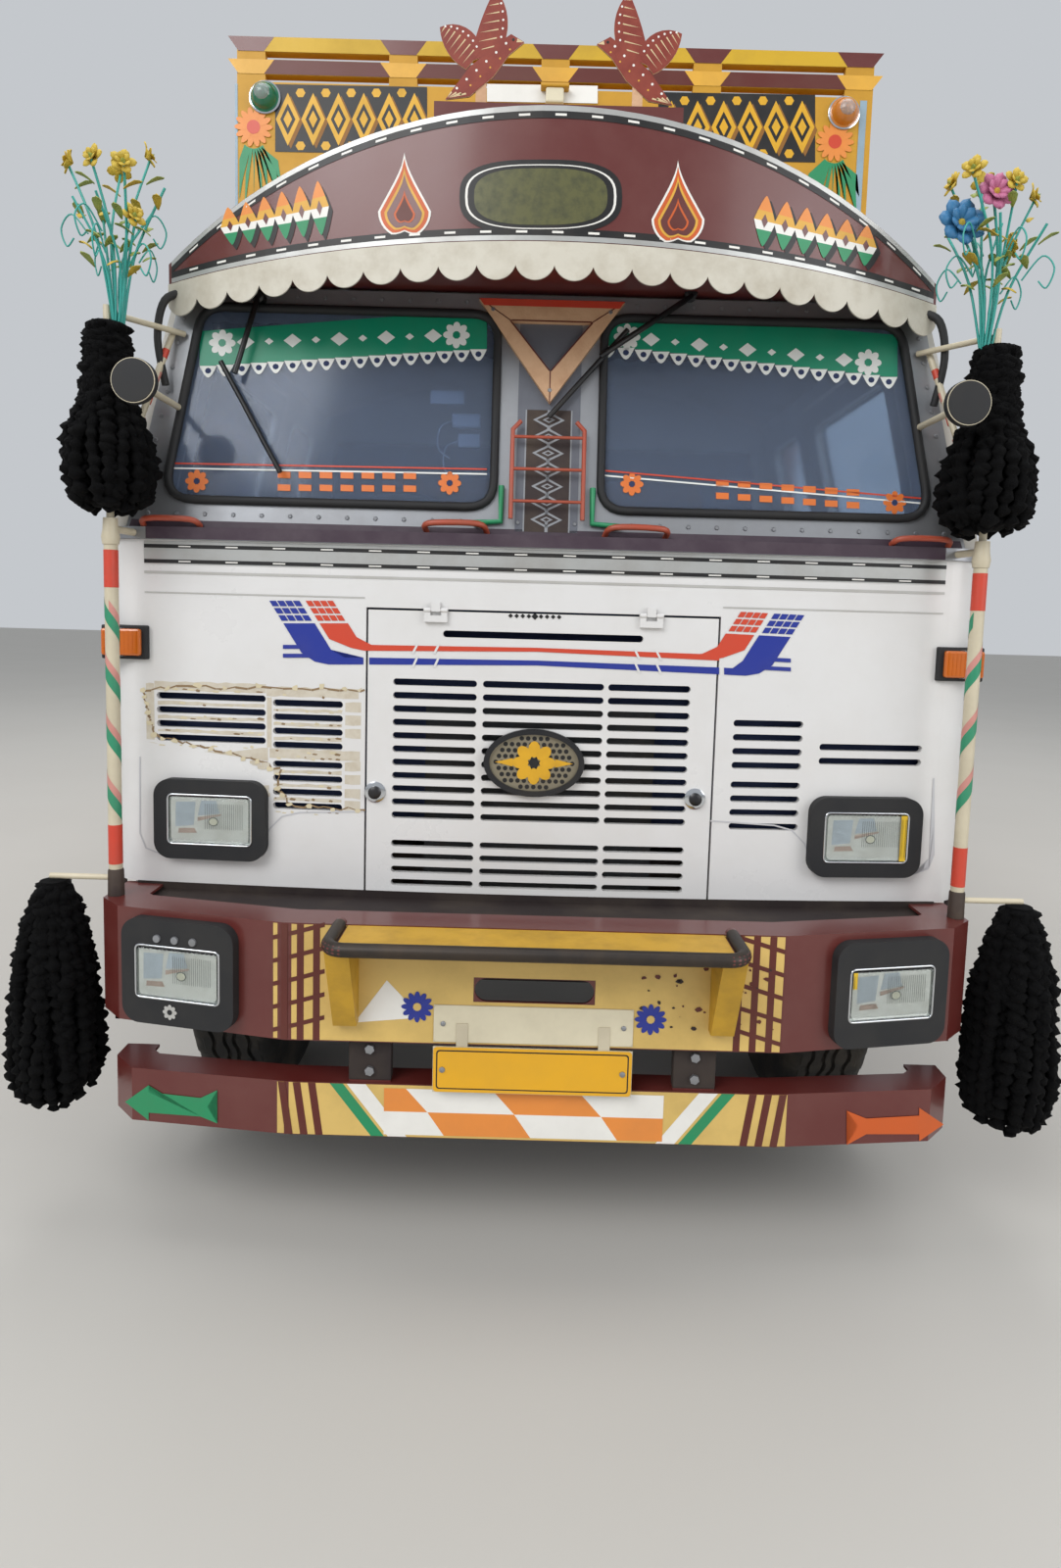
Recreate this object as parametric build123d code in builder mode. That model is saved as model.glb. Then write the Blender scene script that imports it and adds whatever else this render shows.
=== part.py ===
"""A four-axle goods truck with a decorated, coach-built cab and a high-sided open load body.

The truck stands on the ground at z = 0 and faces -Y, with +X on the right as its front is
looked at, so the driver sits on the -X side. The origin lies on the ground, in the middle of
the length and width. Sizes are millimetres. "Behind the face" means behind the foremost line
of the white panel at the cab's front.
"""

from build123d import *
import os
from math import atan2, cos, degrees, radians, sin, sqrt

os.makedirs("parts", exist_ok=True)

# Clearances
seat_gap = 0.3  # between a piece and what it rests on or fits round
pin_gap = 0.1  # radial, round a king pin or a spindle
shut_gap = 12.0  # round doors and boards that open
flap_gap = 6.0  # round the grille flap

# Wheels and tyres
tyre_radius = 525.0
tyre_width = 280.0
tread_width = 212.0
shoulder_drop = 24.0
bead_radius = 256.0
rim_width = 220.0
rim_thickness = 12.0
rim_lip = 18.0
dual_spacing = 320.0
spindle_radius = 45.0
hub_radius = 105.0
nut_count = 10
nut_radius = 17.0
nut_height = 24.0

# Axle places behind the face, and tracks
front_overhang = 880.0
steer_axle_spacing = 1880.0
wheelbase = 5580.0
bogie_spacing = 1370.0
steer_track = 2020.0
rear_track = 1830.0
kingpin_offset = 170.0  # from the king pin out to the middle of the tyre
kingpin_radius = 22.0
kingpin_boss_radius = 45.0
kingpin_boss_height = 150.0
beam_width = 90.0
beam_height = 95.0
beam_drop = 110.0  # from the wheel's centre down to the middle of the beam
axle_tube_radius = 75.0
differential_radius = 215.0

# Leaf springs
spring_width = 80.0
leaf_thickness = 14.0
front_leaves = 5
rear_leaves = 6
front_spring_reach = 720.0
rear_spring_reach = 610.0

# Chassis frame
frame_width = 880.0
frame_top = 1075.0
rail_height = 285.0
rail_flange = 75.0
rail_thickness = 8.0
frame_start = 40.0  # behind the face
cross_depth = 110.0
cross_height = 140.0
tow_hole_radius = 20.0
tow_hole_depth = 80.0
tow_lug = 140.0

# Engine and drive line
engine_width = 600.0
engine_front = 300.0
engine_rear = 1250.0
engine_low = 600.0
engine_top = 1400.0
gearbox_rear = 1900.0
gearbox_radius = 150.0
gearbox_z = 820.0
shaft_radius = 55.0
centre_bearing = 4200.0  # behind the face

# Tanks and boxes between the axles
tank_front = 3620.0
tank_length = 1250.0
tank_size = 560.0
tank_low = 470.0
battery_length = 620.0
battery_width = 540.0
battery_low = 560.0
battery_top = 1000.0
air_tank_radius = 130.0
air_tank_length = 900.0

# Front bumper, its step and the low bar under it
bumper_half_width = 1195.0
bumper_lead = 270.0
bumper_low = 635.0
bumper_top = 950.0
bumper_depth = 110.0
bumper_sweep = 100.0
bumper_flat = 650.0  # half width of the straight middle
bumper_corner = 70.0
sheet = 8.0
tow_slot_width = 310.0
tow_slot_height = 62.0
tow_slot_z = 785.0
step_reach = 190.0
step_half_width = 508.0
step_pipe_radius = 17.0
step_bend = 45.0
low_bar_half_width = 1150.0
low_bar_low = 365.0
low_bar_top = 512.0
low_bar_depth = 90.0
low_bar_inset = 20.0
rear_bar_low = 480.0
rear_bar_height = 120.0

# Cab body
cab_half_width = 1250.0
cab_length = 1950.0
face_bulge = 55.0
corner_radius = 110.0
panel_thickness = 20.0
wall_thickness = 40.0
panel_low = 955.0
panel_top = 1940.0
corner_return = 345.0  # how far the front panel wraps back along each side
ledge_thickness = 34.0
ledge_lip = 12.0
ledge_width = 92.0
side_lap = 45.0  # how far the cab sides reach inside the front panel's returns
roof_half_width = 1065.0
roof_edge = 2665.0
roof_rise = 200.0
roof_thickness = 25.0
roof_overhang = 20.0
floor_low = 1110.0
floor_thickness = 30.0
floor_front = 120.0
firewall_thickness = 18.0
tunnel_gap = 22.0
tunnel_wall = 18.0

# Windscreens
screen_foot = 45.0  # behind the face
screen_top = 2655.0
screen_lean = 80.0
screen_thickness = 18.0
screen_half_low = 1180.0
screen_half_top = 1045.0
pane_inner = 150.0
pane_outer_low = 1078.0
pane_outer_top = 985.0
pane_low = 85.0  # up the frame from its foot
pane_top = 632.0
pane_corner = 70.0
glass_thickness = 6.0

# Grille flap and the rows of slots
flap_half_width = 490.0
flap_top = 1760.0
slot_height = 19.0

# Hinges of the flap, the tailboard and the rear doors
flap_hinge_lead = 6.0  # ahead of the face
flap_pin_radius = 4.0
flap_eye_radius = 7.0
gate_pin_radius = 8.0
gate_eye_radius = 14.0
gate_eye_length = 30.0
tailboard_hinge_drop = 22.0  # below the tailboard
rear_hinge_out = 22.0  # outside the rear doors' edge
hinge_back = 14.0  # behind the tailboard and rear doors

# Doors
door_hinge_out = 11.0  # outside the cab's side
door_pin_radius = 6.0
door_eye_radius = 10.0
door_hinges = (1260.0, 1850.0)
door_front = 365.0
door_rear = 1245.0
door_low = 1150.0
door_top = 2600.0
door_thickness = 40.0
window_low = 2010.0
window_margin = 75.0
window_corner = 45.0

# Visor and its fringe
visor_half_width = 1070.0
visor_lead = 185.0
visor_end_setback = 90.0
visor_low = 2667.0
visor_end_low = 2630.0
visor_end_top = 2700.0
visor_peak = 3005.0
visor_thickness = 25.0
soffit_thickness = 12.0
soffit_inset = 50.0
fringe_drop = 78.0
fringe_lap = 14.0
fringe_thickness = 6.0
fringe_lobes = 22

# Roof carrier
carrier_half_width = 1240.0
carrier_front = 1240.0
carrier_low = 3080.0
carrier_board_top = 3800.0
carrier_board_thickness = 30.0
rail_bar = 55.0
rail_bar_gap = 28.0
rail_bar_depth = 40.0
carrier_post_width = 110.0
carrier_posts = 5
carrier_foot_x = 500.0
carrier_foot_size = 80.0

# Load body
load_front = 2080.0
load_rear = 9400.0
deck_half_width = 1195.0
runner_height = 75.0
bearer_height = 80.0
bearer_width = 90.0
bearer_count = 13
deck_thickness = 40.0
board_thickness = 25.0
post_depth = 25.0
post_width = 80.0
side_post_count = 12
load_side_top = 3300.0
skirt = 40.0  # how far the side boards reach below the deck
headboard_posts = 5
tailboard_height = 640.0
gate_thickness = 45.0
gate_frame = 60.0
rear_post_width = 90.0

# Lamps
lamp_x = 935.0
lens_width = 250.0
lens_height = 150.0
lens_corner = 16.0
bezel_width = 325.0
bezel_corner = 48.0
bezel_depth = 30.0
upper_lamp_z = 1150.0
upper_bezel_height = 230.0
lower_lamp_z = 790.0
lower_bezel_height = 285.0
amber_width = 120.0
amber_height = 80.0
amber_depth = 26.0
amber_z = 1650.0
dome_radius = 35.0

# Corner poles, mirrors, tassels and bouquets
pole_x = 1170.0
pole_lead = 75.0  # ahead of the face
pole_radius = 18.0
pole_top = 1985.0
rod_radius = 10.0
rod_top = 2535.0
mirror_x = 1040.0
mirror_z = 2310.0
mirror_lead = 290.0
mirror_radius = 55.0
tassel_radius = 132.0
tassel_neck = 45.0
tassel_top = 2495.0
hook_z = 1000.0
low_tassel_x = 1345.0
low_tassel_radius = 140.0
low_tassel_low = 340.0
bouquet_radius = 165.0
bouquet_height = 435.0

# Cab inside
driver_x = -480.0
seat_width = 500.0
seat_depth = 480.0
seat_front = 1130.0
seat_low = 1560.0
seat_cushion = 110.0
seat_back_height = 560.0
dash_low = 1640.0
dash_top = 1880.0
dash_depth = 300.0
steering_radius = 245.0

# Places along the truck and heights that follow from the sizes above
nose = bumper_lead + step_reach
tail = load_rear + shut_gap + gate_thickness
face_y = (nose - tail) / 2
wheel_z = tyre_radius
frame_low = frame_top - rail_height
frame_half = frame_width / 2
bearer_low = frame_top + runner_height
deck_low = bearer_low + bearer_height
deck_top = deck_low + deck_thickness
king_x = steer_track / 2 - kingpin_offset
side_half_width = cab_half_width - panel_thickness - seat_gap
belt_height = panel_top + seat_gap + ledge_thickness
screen_low = belt_height - 5
floor_top = floor_low + floor_thickness
pole_y = face_y - pole_lead
wall_inner = deck_half_width + seat_gap
wall_outer = wall_inner + board_thickness
body_half_width = wall_outer + post_depth


def behind(distance):
    """The y of a place that lies this far behind the cab's front face."""
    return face_y + distance


def arc_drop(x, half, rise):
    """How far an arc that rises by rise over its half width has dropped at x."""
    radius = (half**2 + rise**2) / (2 * rise)
    return radius - sqrt(radius**2 - x**2)


def front_plane(y):
    """A plane across the truck at y: its own x is X, its own y is Z, and it looks forward."""
    return Plane(origin=(0, y, 0), x_dir=(1, 0, 0), z_dir=(0, -1, 0))


def side_plane(x):
    """A plane along the truck at x: its own x is Y and its own y is Z."""
    return Plane(origin=(x, 0, 0), x_dir=(0, 1, 0), z_dir=(1, 0, 0))


def box_between(low, high, mode=Mode.ADD):
    """A block between two corners, given in any order."""
    corners = list(zip(low, high))
    with Locations(tuple((a + b) / 2 for a, b in corners)):
        Box(*[abs(b - a) for a, b in corners], mode=mode)


def tube(start, end, radius):
    """A round bar from one point to another."""
    run = Vector(*end) - Vector(*start)
    with BuildSketch(Plane(origin=start, z_dir=run)) as section:
        Circle(radius)
    extrude(section.sketch, amount=run.length)


def ring(centre, outline):
    """Revolves an outline of (place along the axle, radius) about the axle through centre."""
    with BuildSketch(front_plane(centre.Y)) as section:
        with Locations((centre.X, centre.Z)):
            Polygon(*outline, align=None)
    revolve(section.sketch, axis=Axis(centre, (1, 0, 0)))


def eye(start, end, outer, inner):
    """A round sleeve from one point to another."""
    run = Vector(*end) - Vector(*start)
    with BuildSketch(Plane(origin=start, z_dir=run)) as section:
        Circle(outer)
        Circle(inner, mode=Mode.SUBTRACT)
    extrude(section.sketch, amount=run.length)


def write(builder, label):
    builder.part.label = label
    export_step(builder.part, f"parts/{label}.step")


# Sides as the front is looked at: name, direction along X
sides = (("left", -1), ("right", 1))
# Steered axles: name, y
steer_axles = (
    ("first", behind(front_overhang)),
    ("second", behind(front_overhang + steer_axle_spacing)),
)
# Rear axles: name, y
rear_axles = (
    ("drive", behind(front_overhang + wheelbase)),
    ("tag", behind(front_overhang + wheelbase + bogie_spacing)),
)


# Wheels
def tyre_section(middle):
    """A tyre's section, as (place along the axle, radius)."""
    bead = rim_width / 2 - seat_gap
    belly_radius = (tyre_radius + bead_radius) / 2
    right = [
        (bead, bead_radius),
        (bead, bead_radius + rim_lip),
        (tyre_width / 2, belly_radius),
        (tyre_width / 2, tyre_radius - shoulder_drop),
        (tread_width / 2, tyre_radius),
    ]
    left = [(-u, r) for u, r in reversed(right)]
    return [(middle + u, r) for u, r in right + left]


def barrel_section(middle):
    """The section of a rim's barrel with its two lips."""
    outer = bead_radius - seat_gap
    half = rim_width / 2
    lip = half + 10
    right = [
        (lip, outer - rim_thickness),
        (lip, outer + rim_lip - 1),
        (half, outer + rim_lip - 1),
        (half, outer),
    ]
    left = [(-u, r) for u, r in reversed(right)]
    return [(middle + u, r) for u, r in right + left]


barrel_inner = bead_radius - seat_gap - rim_thickness + 2
hub_bore = spindle_radius + pin_gap


def wheel_nuts(centre, side, start, circle):
    """Hexagonal nuts in a circle on a disc's outer face."""
    face = Plane(origin=centre + Vector(side * (start - 2), 0, 0), z_dir=(side, 0, 0))
    with BuildSketch(face) as nuts:
        with PolarLocations(circle, nut_count):
            RegularPolygon(nut_radius, 6)
    extrude(nuts.sketch, amount=nut_height)


def steer_rim(centre, side):
    """A rim whose disc bows outwards to a capped hub with a blind bore for the spindle."""
    disc = [(20, barrel_inner), (75, 150), (75, hub_radius - 2), (62, hub_radius - 2)]
    disc += [(62, 146), (4, barrel_inner)]
    hub = [(-70, hub_bore), (90, hub_bore), (90, 0), (150, 0), (150, 62), (135, 74)]
    hub += [(90, hub_radius), (-70, hub_radius)]
    ring(centre, barrel_section(0))
    ring(centre, [(side * u, r) for u, r in disc])
    ring(centre, [(side * u, r) for u, r in hub])
    wheel_nuts(centre, side, 75, 128)


def dual_rims(centre, side):
    """Two rims, disc against disc, on one hub that stands out of the deep outer dish."""
    disc = [(0, hub_radius - 2), (16, hub_radius - 2), (16, 165), (90, barrel_inner)]
    disc += [(74, barrel_inner), (0, 180)]
    hub = [(-150, hub_bore), (60, hub_bore), (60, 0), (230, 0), (230, 55), (205, 90)]
    hub += [(60, hub_radius), (-150, hub_radius)]
    for out in (-1, 1):
        ring(centre, barrel_section(out * dual_spacing / 2))
        ring(centre, [(out * u, r) for u, r in disc])
    ring(centre, [(side * u, r) for u, r in hub])
    wheel_nuts(centre, side, 16, 138)


def king_pin_fork(king, side):
    """A fork round the axle's end with the king pin, and the spindle that the wheel turns on."""
    boss = kingpin_boss_height / 2 + 3
    lug = 34.0
    arm = kingpin_boss_radius + 10
    plate = 24.0
    with Locations(king):
        Cylinder(kingpin_radius, 2 * (boss + lug))
    for level in (-1, 1):
        with Locations(king + Vector(0, 0, level * (boss + lug / 2))):
            Cylinder(kingpin_boss_radius, lug)
        with Locations(king + Vector(side * arm / 2, 0, level * (boss + lug / 2))):
            Box(arm, 2 * kingpin_boss_radius, lug)
    with Locations(king + Vector(side * (arm + plate / 2), 0, 0)):
        Box(plate, 2 * kingpin_boss_radius, 2 * (boss + lug))
    root = king + Vector(side * (arm + plate), 0, 0)
    tip = king + Vector(side * (kingpin_offset + 80), 0, 0)
    tube(tuple(root), tuple(tip), spindle_radius)


for axle_name, axle_y in steer_axles:
    for side_name, side in sides:
        king = Vector(side * king_x, axle_y, wheel_z)
        centre = Vector(side * steer_track / 2, axle_y, wheel_z)
        with BuildPart() as knuckle:
            king_pin_fork(king, side)
        write(knuckle, f"knuckle_{axle_name}_{side_name}")
        with BuildPart() as tyre:
            ring(centre, tyre_section(0))
        write(tyre, f"tyre_{axle_name}_{side_name}")
        with BuildPart() as rim:
            steer_rim(centre, side)
        write(rim, f"rim_{axle_name}_{side_name}")

for axle_name, axle_y in rear_axles:
    for side_name, side in sides:
        centre = Vector(side * rear_track / 2, axle_y, wheel_z)
        with BuildPart() as tyres:
            for out in (-1, 1):
                ring(centre, tyre_section(out * dual_spacing / 2))
        write(tyres, f"tyres_{axle_name}_{side_name}")
        with BuildPart() as rims:
            dual_rims(centre, side)
        write(rims, f"rims_{axle_name}_{side_name}")


# Axles
with BuildPart() as front_axles:
    for _, axle_y in steer_axles:
        boss_edge = king_x - kingpin_boss_radius + 8
        knee = boss_edge - 190
        low = wheel_z - beam_drop - beam_height / 2
        high = wheel_z - beam_drop + beam_height / 2
        with BuildSketch(front_plane(axle_y + beam_width / 2)):
            Polygon(
                (-boss_edge, wheel_z - 50),
                (-boss_edge, wheel_z + 50),
                (-knee, high),
                (knee, high),
                (boss_edge, wheel_z + 50),
                (boss_edge, wheel_z - 50),
                (knee, low),
                (-knee, low),
                align=None,
            )
        extrude(amount=beam_width)
        with Locations((-king_x, axle_y, wheel_z), (king_x, axle_y, wheel_z)):
            Cylinder(kingpin_boss_radius, kingpin_boss_height)
            Cylinder(kingpin_radius + pin_gap, kingpin_boss_height, mode=Mode.SUBTRACT)
write(front_axles, "front_axles")

pinion_reach = differential_radius + 80
with BuildPart() as rear_axle_housings:
    for name, axle_y in rear_axles:
        tube_end = rear_track / 2 - 165
        spindle_end = rear_track / 2 + 55
        tube((-tube_end, axle_y, wheel_z), (tube_end, axle_y, wheel_z), axle_tube_radius)
        tube((-spindle_end, axle_y, wheel_z), (spindle_end, axle_y, wheel_z), spindle_radius)
        if name == "drive":
            with Locations((0, axle_y, wheel_z)):
                Sphere(differential_radius)
            tube(
                (0, axle_y - pinion_reach, wheel_z + 20),
                (0, axle_y - differential_radius / 2, wheel_z + 20),
                95,
            )
write(rear_axle_housings, "rear_axle_housings")


# Leaf springs
front_spring_x = frame_half - 10
rear_spring_x = frame_half + 62
front_seat_z = wheel_z - beam_drop + beam_height / 2
rear_seat_z = wheel_z + axle_tube_radius
# Springs: axles, x, seat, half length, height of the ends, leaves
springs = (
    (steer_axles, front_spring_x, front_seat_z, front_spring_reach, frame_low - 60, front_leaves),
    (rear_axles, rear_spring_x, rear_seat_z, rear_spring_reach, frame_low - 40, rear_leaves),
)


def leaf(x, y, low, reach, lift):
    """One arched leaf, clamped at its middle."""
    top = low + leaf_thickness + seat_gap
    with BuildSketch(side_plane(x - spring_width / 2)) as section:
        with BuildLine():
            ThreePointArc((y - reach, low + lift), (y, low), (y + reach, low + lift))
            Line((y + reach, low + lift), (y + reach, top + lift))
            ThreePointArc((y + reach, top + lift), (y, top), (y - reach, top + lift))
            Line((y - reach, top + lift), (y - reach, low + lift))
        make_face()
    extrude(section.sketch, amount=spring_width)


with BuildPart() as leaf_springs:
    for sign in (-1, 1):
        for axles, spring_x, seat_z, reach, end_z, leaves in springs:
            for _, axle_y in axles:
                rise = end_z - seat_z - leaves * leaf_thickness
                for i in range(leaves):
                    share = 1 - 0.14 * (leaves - 1 - i)
                    low = seat_z + seat_gap + i * leaf_thickness
                    leaf(sign * spring_x, axle_y, low, reach * share, rise * share**2)
                for end in (-1, 1):
                    hanger_y = axle_y + end * (reach - 40)
                    inner_x = sign * (spring_x - spring_width / 2)
                    hanger_top = frame_low - seat_gap
                    if spring_x > frame_half:
                        inner_x = sign * (frame_half + seat_gap)
                        hanger_top = frame_top - 60
                    box_between(
                        (inner_x, hanger_y - 45, end_z - 45),
                        (sign * (spring_x + spring_width / 2), hanger_y + 45, hanger_top),
                    )
write(leaf_springs, "leaf_springs")


# Chassis frame
frame_rear = behind(load_rear - 60)
cross_top = frame_top - 30
# Cross members: place behind the face
cross_members = (190.0, 2150.0, 3200.0, centre_bearing, 5300.0, 7150.0, 8500.0, 9230.0)

with BuildPart() as chassis_frame:
    with BuildSketch(front_plane(frame_rear)):
        for sign in (-1, 1):
            rail_z = frame_top - rail_height / 2
            with Locations((sign * (frame_half - rail_flange / 2), rail_z)):
                Rectangle(rail_flange, rail_height)
            with Locations((sign * (frame_half - rail_thickness - rail_flange / 2), rail_z)):
                Rectangle(rail_flange, rail_height - 2 * rail_thickness, mode=Mode.SUBTRACT)
    extrude(amount=frame_rear - behind(frame_start))
    for place in cross_members:
        box_between(
            (-frame_half + rail_thickness, behind(place) - cross_depth / 2, cross_top - cross_height),
            (frame_half - rail_thickness, behind(place) + cross_depth / 2, cross_top),
        )
    # Towing lugs under the first and last cross members, with a pin hole each
    for place in (cross_members[0], cross_members[-1]):
        box_between(
            (-tow_lug / 2, behind(place) - tow_lug / 2, frame_low - 50),
            (tow_lug / 2, behind(place) + tow_lug / 2, cross_top - cross_height + 1),
        )
        with Locations((0, behind(place), frame_low - 50 + tow_hole_depth / 2)):
            Cylinder(tow_hole_radius, tow_hole_depth, mode=Mode.SUBTRACT)
write(chassis_frame, "chassis_frame")


# Engine with its radiator, and the gearbox behind it
engine_half = engine_width / 2
with BuildPart() as engine:
    box_between(
        (-engine_half, behind(engine_front), engine_low),
        (engine_half, behind(engine_rear), engine_top),
    )
    box_between((-330, behind(60), 820), (330, behind(105), 1500))
    box_between((-60, behind(104), 1120), (60, behind(engine_front + 1), 1200))
    box_between((-200, behind(engine_rear - 1), 660), (200, behind(gearbox_rear - 300), 1010))
    tube((0, behind(gearbox_rear - 301), gearbox_z), (0, behind(gearbox_rear), gearbox_z), gearbox_radius)
    # Feet that reach to the frame's rails
    for place in (engine_front + 120, engine_rear - 120):
        for sign in (-1, 1):
            box_between(
                (sign * (engine_half - 1), behind(place - 50), 900),
                (sign * (frame_half - rail_flange - seat_gap), behind(place + 50), 960),
            )
            box_between(
                (sign * (frame_half - rail_flange - 25), behind(place - 50), 900),
                (sign * (frame_half - rail_flange - seat_gap), behind(place + 50), frame_top),
            )
write(engine, "engine")

bearing_y = behind(centre_bearing)
bearing_z = 780.0
pinion_y = rear_axles[0][1] - pinion_reach
joint_radius = 1.45 * shaft_radius
joint_length = 120.0


def propeller_shaft(start, end):
    """A tube with a thicker joint at each end."""
    run = (Vector(*end) - Vector(*start)).normalized() * joint_length
    tube(start, end, shaft_radius)
    tube(start, tuple(Vector(*start) + run), joint_radius)
    tube(tuple(Vector(*end) - run), end, joint_radius)


with BuildPart() as propeller_shafts:
    propeller_shaft((0, behind(gearbox_rear + 3), gearbox_z), (0, bearing_y, bearing_z))
    propeller_shaft((0, bearing_y, bearing_z), (0, pinion_y - 12, wheel_z + 22))
    box_between(
        (-110, bearing_y - 40, bearing_z - 60),
        (110, bearing_y + 40, cross_top - cross_height - seat_gap),
    )
write(propeller_shafts, "propeller_shafts")


# Tanks and boxes between the axles
tank_inner = frame_half + 25
with BuildPart() as fuel_tank:
    with BuildSketch(front_plane(behind(tank_front))):
        with Locations((-(tank_inner + tank_size / 2), tank_low + tank_size / 2)):
            RectangleRounded(tank_size, tank_size, 110)
    extrude(amount=-tank_length)
    for place in (tank_front + 200, tank_front + tank_length - 200):
        box_between(
            (-tank_inner - 30, behind(place) - 40, tank_low + 120),
            (-frame_half - seat_gap, behind(place) + 40, frame_top - 60),
        )
write(fuel_tank, "fuel_tank")

air_x = frame_half + 20 + air_tank_radius
air_front = behind(tank_front + battery_length + 120)
with BuildPart() as battery_and_air_tanks:
    box_between(
        (frame_half + seat_gap, behind(tank_front), battery_low),
        (frame_half + battery_width, behind(tank_front + battery_length), battery_top),
    )
    for level in (battery_low + air_tank_radius, battery_low + 3 * air_tank_radius + 10):
        tube((air_x, air_front, level), (air_x, air_front + air_tank_length, level), air_tank_radius)
    for place in (150, air_tank_length - 150):
        box_between(
            (frame_half + seat_gap, air_front + place - 30, battery_low + 60),
            (air_x - air_tank_radius / 2, air_front + place + 30, frame_top - 20),
        )
write(battery_and_air_tanks, "battery_and_air_tanks")


# Bumpers
def bumper_line(half_width, lead, sweep, back):
    """Plan points of a bumper that is straight in the middle and swept back to its ends."""
    right = [
        (bumper_flat, behind(-lead)),
        (half_width - bumper_corner, behind(-lead + sweep)),
        (half_width, behind(-lead + sweep + bumper_corner)),
        (half_width, behind(back)),
    ]
    return [(-x, y) for x, y in reversed(right)] + right


def bent_band(points, depth, low, high):
    """A band of metal that follows a line of plan points and reaches inwards by depth."""
    with BuildSketch(Plane.XY.offset(low)) as plan:
        with BuildLine():
            Polyline(*points)
            offset(amount=depth, side=Side.LEFT, closed=True, kind=Kind.INTERSECTION)
        make_face()
    extrude(plan.sketch, amount=high - low)


def channel(points, depth, low, high):
    """A bumper of bent sheet: a front wall with a flange along its top and its bottom."""
    bent_band(points, sheet, low, high)
    bent_band(points, depth, high - sheet, high)
    bent_band(points, depth, low, low + sheet)


with BuildPart() as front_bumper:
    channel(
        bumper_line(bumper_half_width, bumper_lead, bumper_sweep, 60),
        bumper_depth,
        bumper_low,
        bumper_top,
    )
    with BuildSketch(front_plane(behind(-bumper_lead + bumper_depth / 2))):
        with Locations((0, tow_slot_z)):
            SlotOverall(tow_slot_width, tow_slot_height)
    extrude(amount=bumper_depth, mode=Mode.SUBTRACT)
    # Brackets back to the frame's rails
    for sign in (-1, 1):
        bracket_x = sign * (frame_half - rail_flange / 2)
        box_between(
            (bracket_x - 35, behind(-bumper_lead + sheet - 1), frame_low + 10),
            (bracket_x + 35, behind(frame_start - seat_gap), frame_low + 110),
        )
    # Step: a pipe frame with a tray, on two tapered legs
    step_z = bumper_top - step_pipe_radius + 12
    step_back = behind(-bumper_lead)
    step_front = step_back - step_reach + step_pipe_radius
    with BuildLine():
        FilletPolyline(
            (-step_half_width, step_back + 20, step_z),
            (-step_half_width, step_front, step_z),
            (step_half_width, step_front, step_z),
            (step_half_width, step_back + 20, step_z),
            radius=step_bend,
        )
    with BuildSketch(Plane(origin=(-step_half_width, step_back + 20, step_z), z_dir=(0, -1, 0))):
        Circle(step_pipe_radius)
    sweep()
    for sign in (-1, 1):
        with BuildSketch(side_plane(sign * (step_half_width - 22) - 28)):
            Polygon(
                (step_back + 2, step_z - 8),
                (step_front + 25, step_z - 8),
                (step_back - 30, bumper_low + 60),
                (step_back + 2, bumper_low + 60),
                align=None,
            )
        extrude(amount=56)
    box_between(
        (-step_half_width, step_front + 62, step_z - 8),
        (step_half_width, step_back + 2, step_z - 2),
    )
write(front_bumper, "front_bumper")

rear_bar_y = behind(load_rear - 120)
with BuildPart() as low_bars:
    channel(
        bumper_line(low_bar_half_width, bumper_lead - low_bar_inset, bumper_sweep / 2, -60),
        low_bar_depth,
        low_bar_low,
        low_bar_top,
    )
    hanger_y = behind(-bumper_lead + 45)
    for sign in (-1, 1):
        box_between(
            (sign * 375, hanger_y - 15, low_bar_top - 1),
            (sign * 485, hanger_y + 15, bumper_low - seat_gap),
        )
    box_between(
        (-1150, rear_bar_y, rear_bar_low),
        (1150, rear_bar_y + 90, rear_bar_low + rear_bar_height),
    )
    for sign in (-1, 1):
        box_between(
            (sign * (frame_half - rail_flange), rear_bar_y + 10, rear_bar_low + 1),
            (sign * frame_half, frame_rear, frame_low - seat_gap),
        )
write(low_bars, "low_bars")


# Cab front panel and its grille flap
def cowl_plan(inset, back, low):
    """The front panel's outline in plan, drawn in by inset, closed across its back."""
    half = cab_half_width - inset
    foot = behind(face_bulge + inset)
    with BuildSketch(Plane.XY.offset(low)) as plan:
        with BuildLine():
            Line((-half, behind(back)), (-half, foot))
            ThreePointArc((-half, foot), (0, behind(inset)), (half, foot))
            Line((half, foot), (half, behind(back)))
            Line((half, behind(back)), (-half, behind(back)))
        make_face()
        fillet(plan.vertices().group_by(Axis.Y)[0], corner_radius - inset)
    return plan.sketch


def cowl_shell(low, high, outer, inner, back):
    """A wall round the front and corners of the cab, between two insets of its plan."""
    extrude(cowl_plan(outer, back, low), amount=high - low)
    extrude(cowl_plan(inner, back + 50, low), amount=high - low, mode=Mode.SUBTRACT)


def cut_slots(middle, length, first, spacing, count):
    """Cuts a column of level slots through the front."""
    with BuildSketch(front_plane(behind(2 * face_bulge))) as slots:
        for i in range(count):
            with Locations((middle, first + i * spacing)):
                SlotOverall(length, slot_height)
    extrude(slots.sketch, amount=3 * face_bulge, mode=Mode.SUBTRACT)


# Columns of slots on the flap: middle, length
flap_columns = ((-300.0, 236.0), (5.0, 340.0), (303.0, 232.0))
# Rows of slots on the flap: first height, spacing, count
flap_rows = ((1560.0, -38.0, 11), (1098.0, -38.0, 4))
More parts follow.
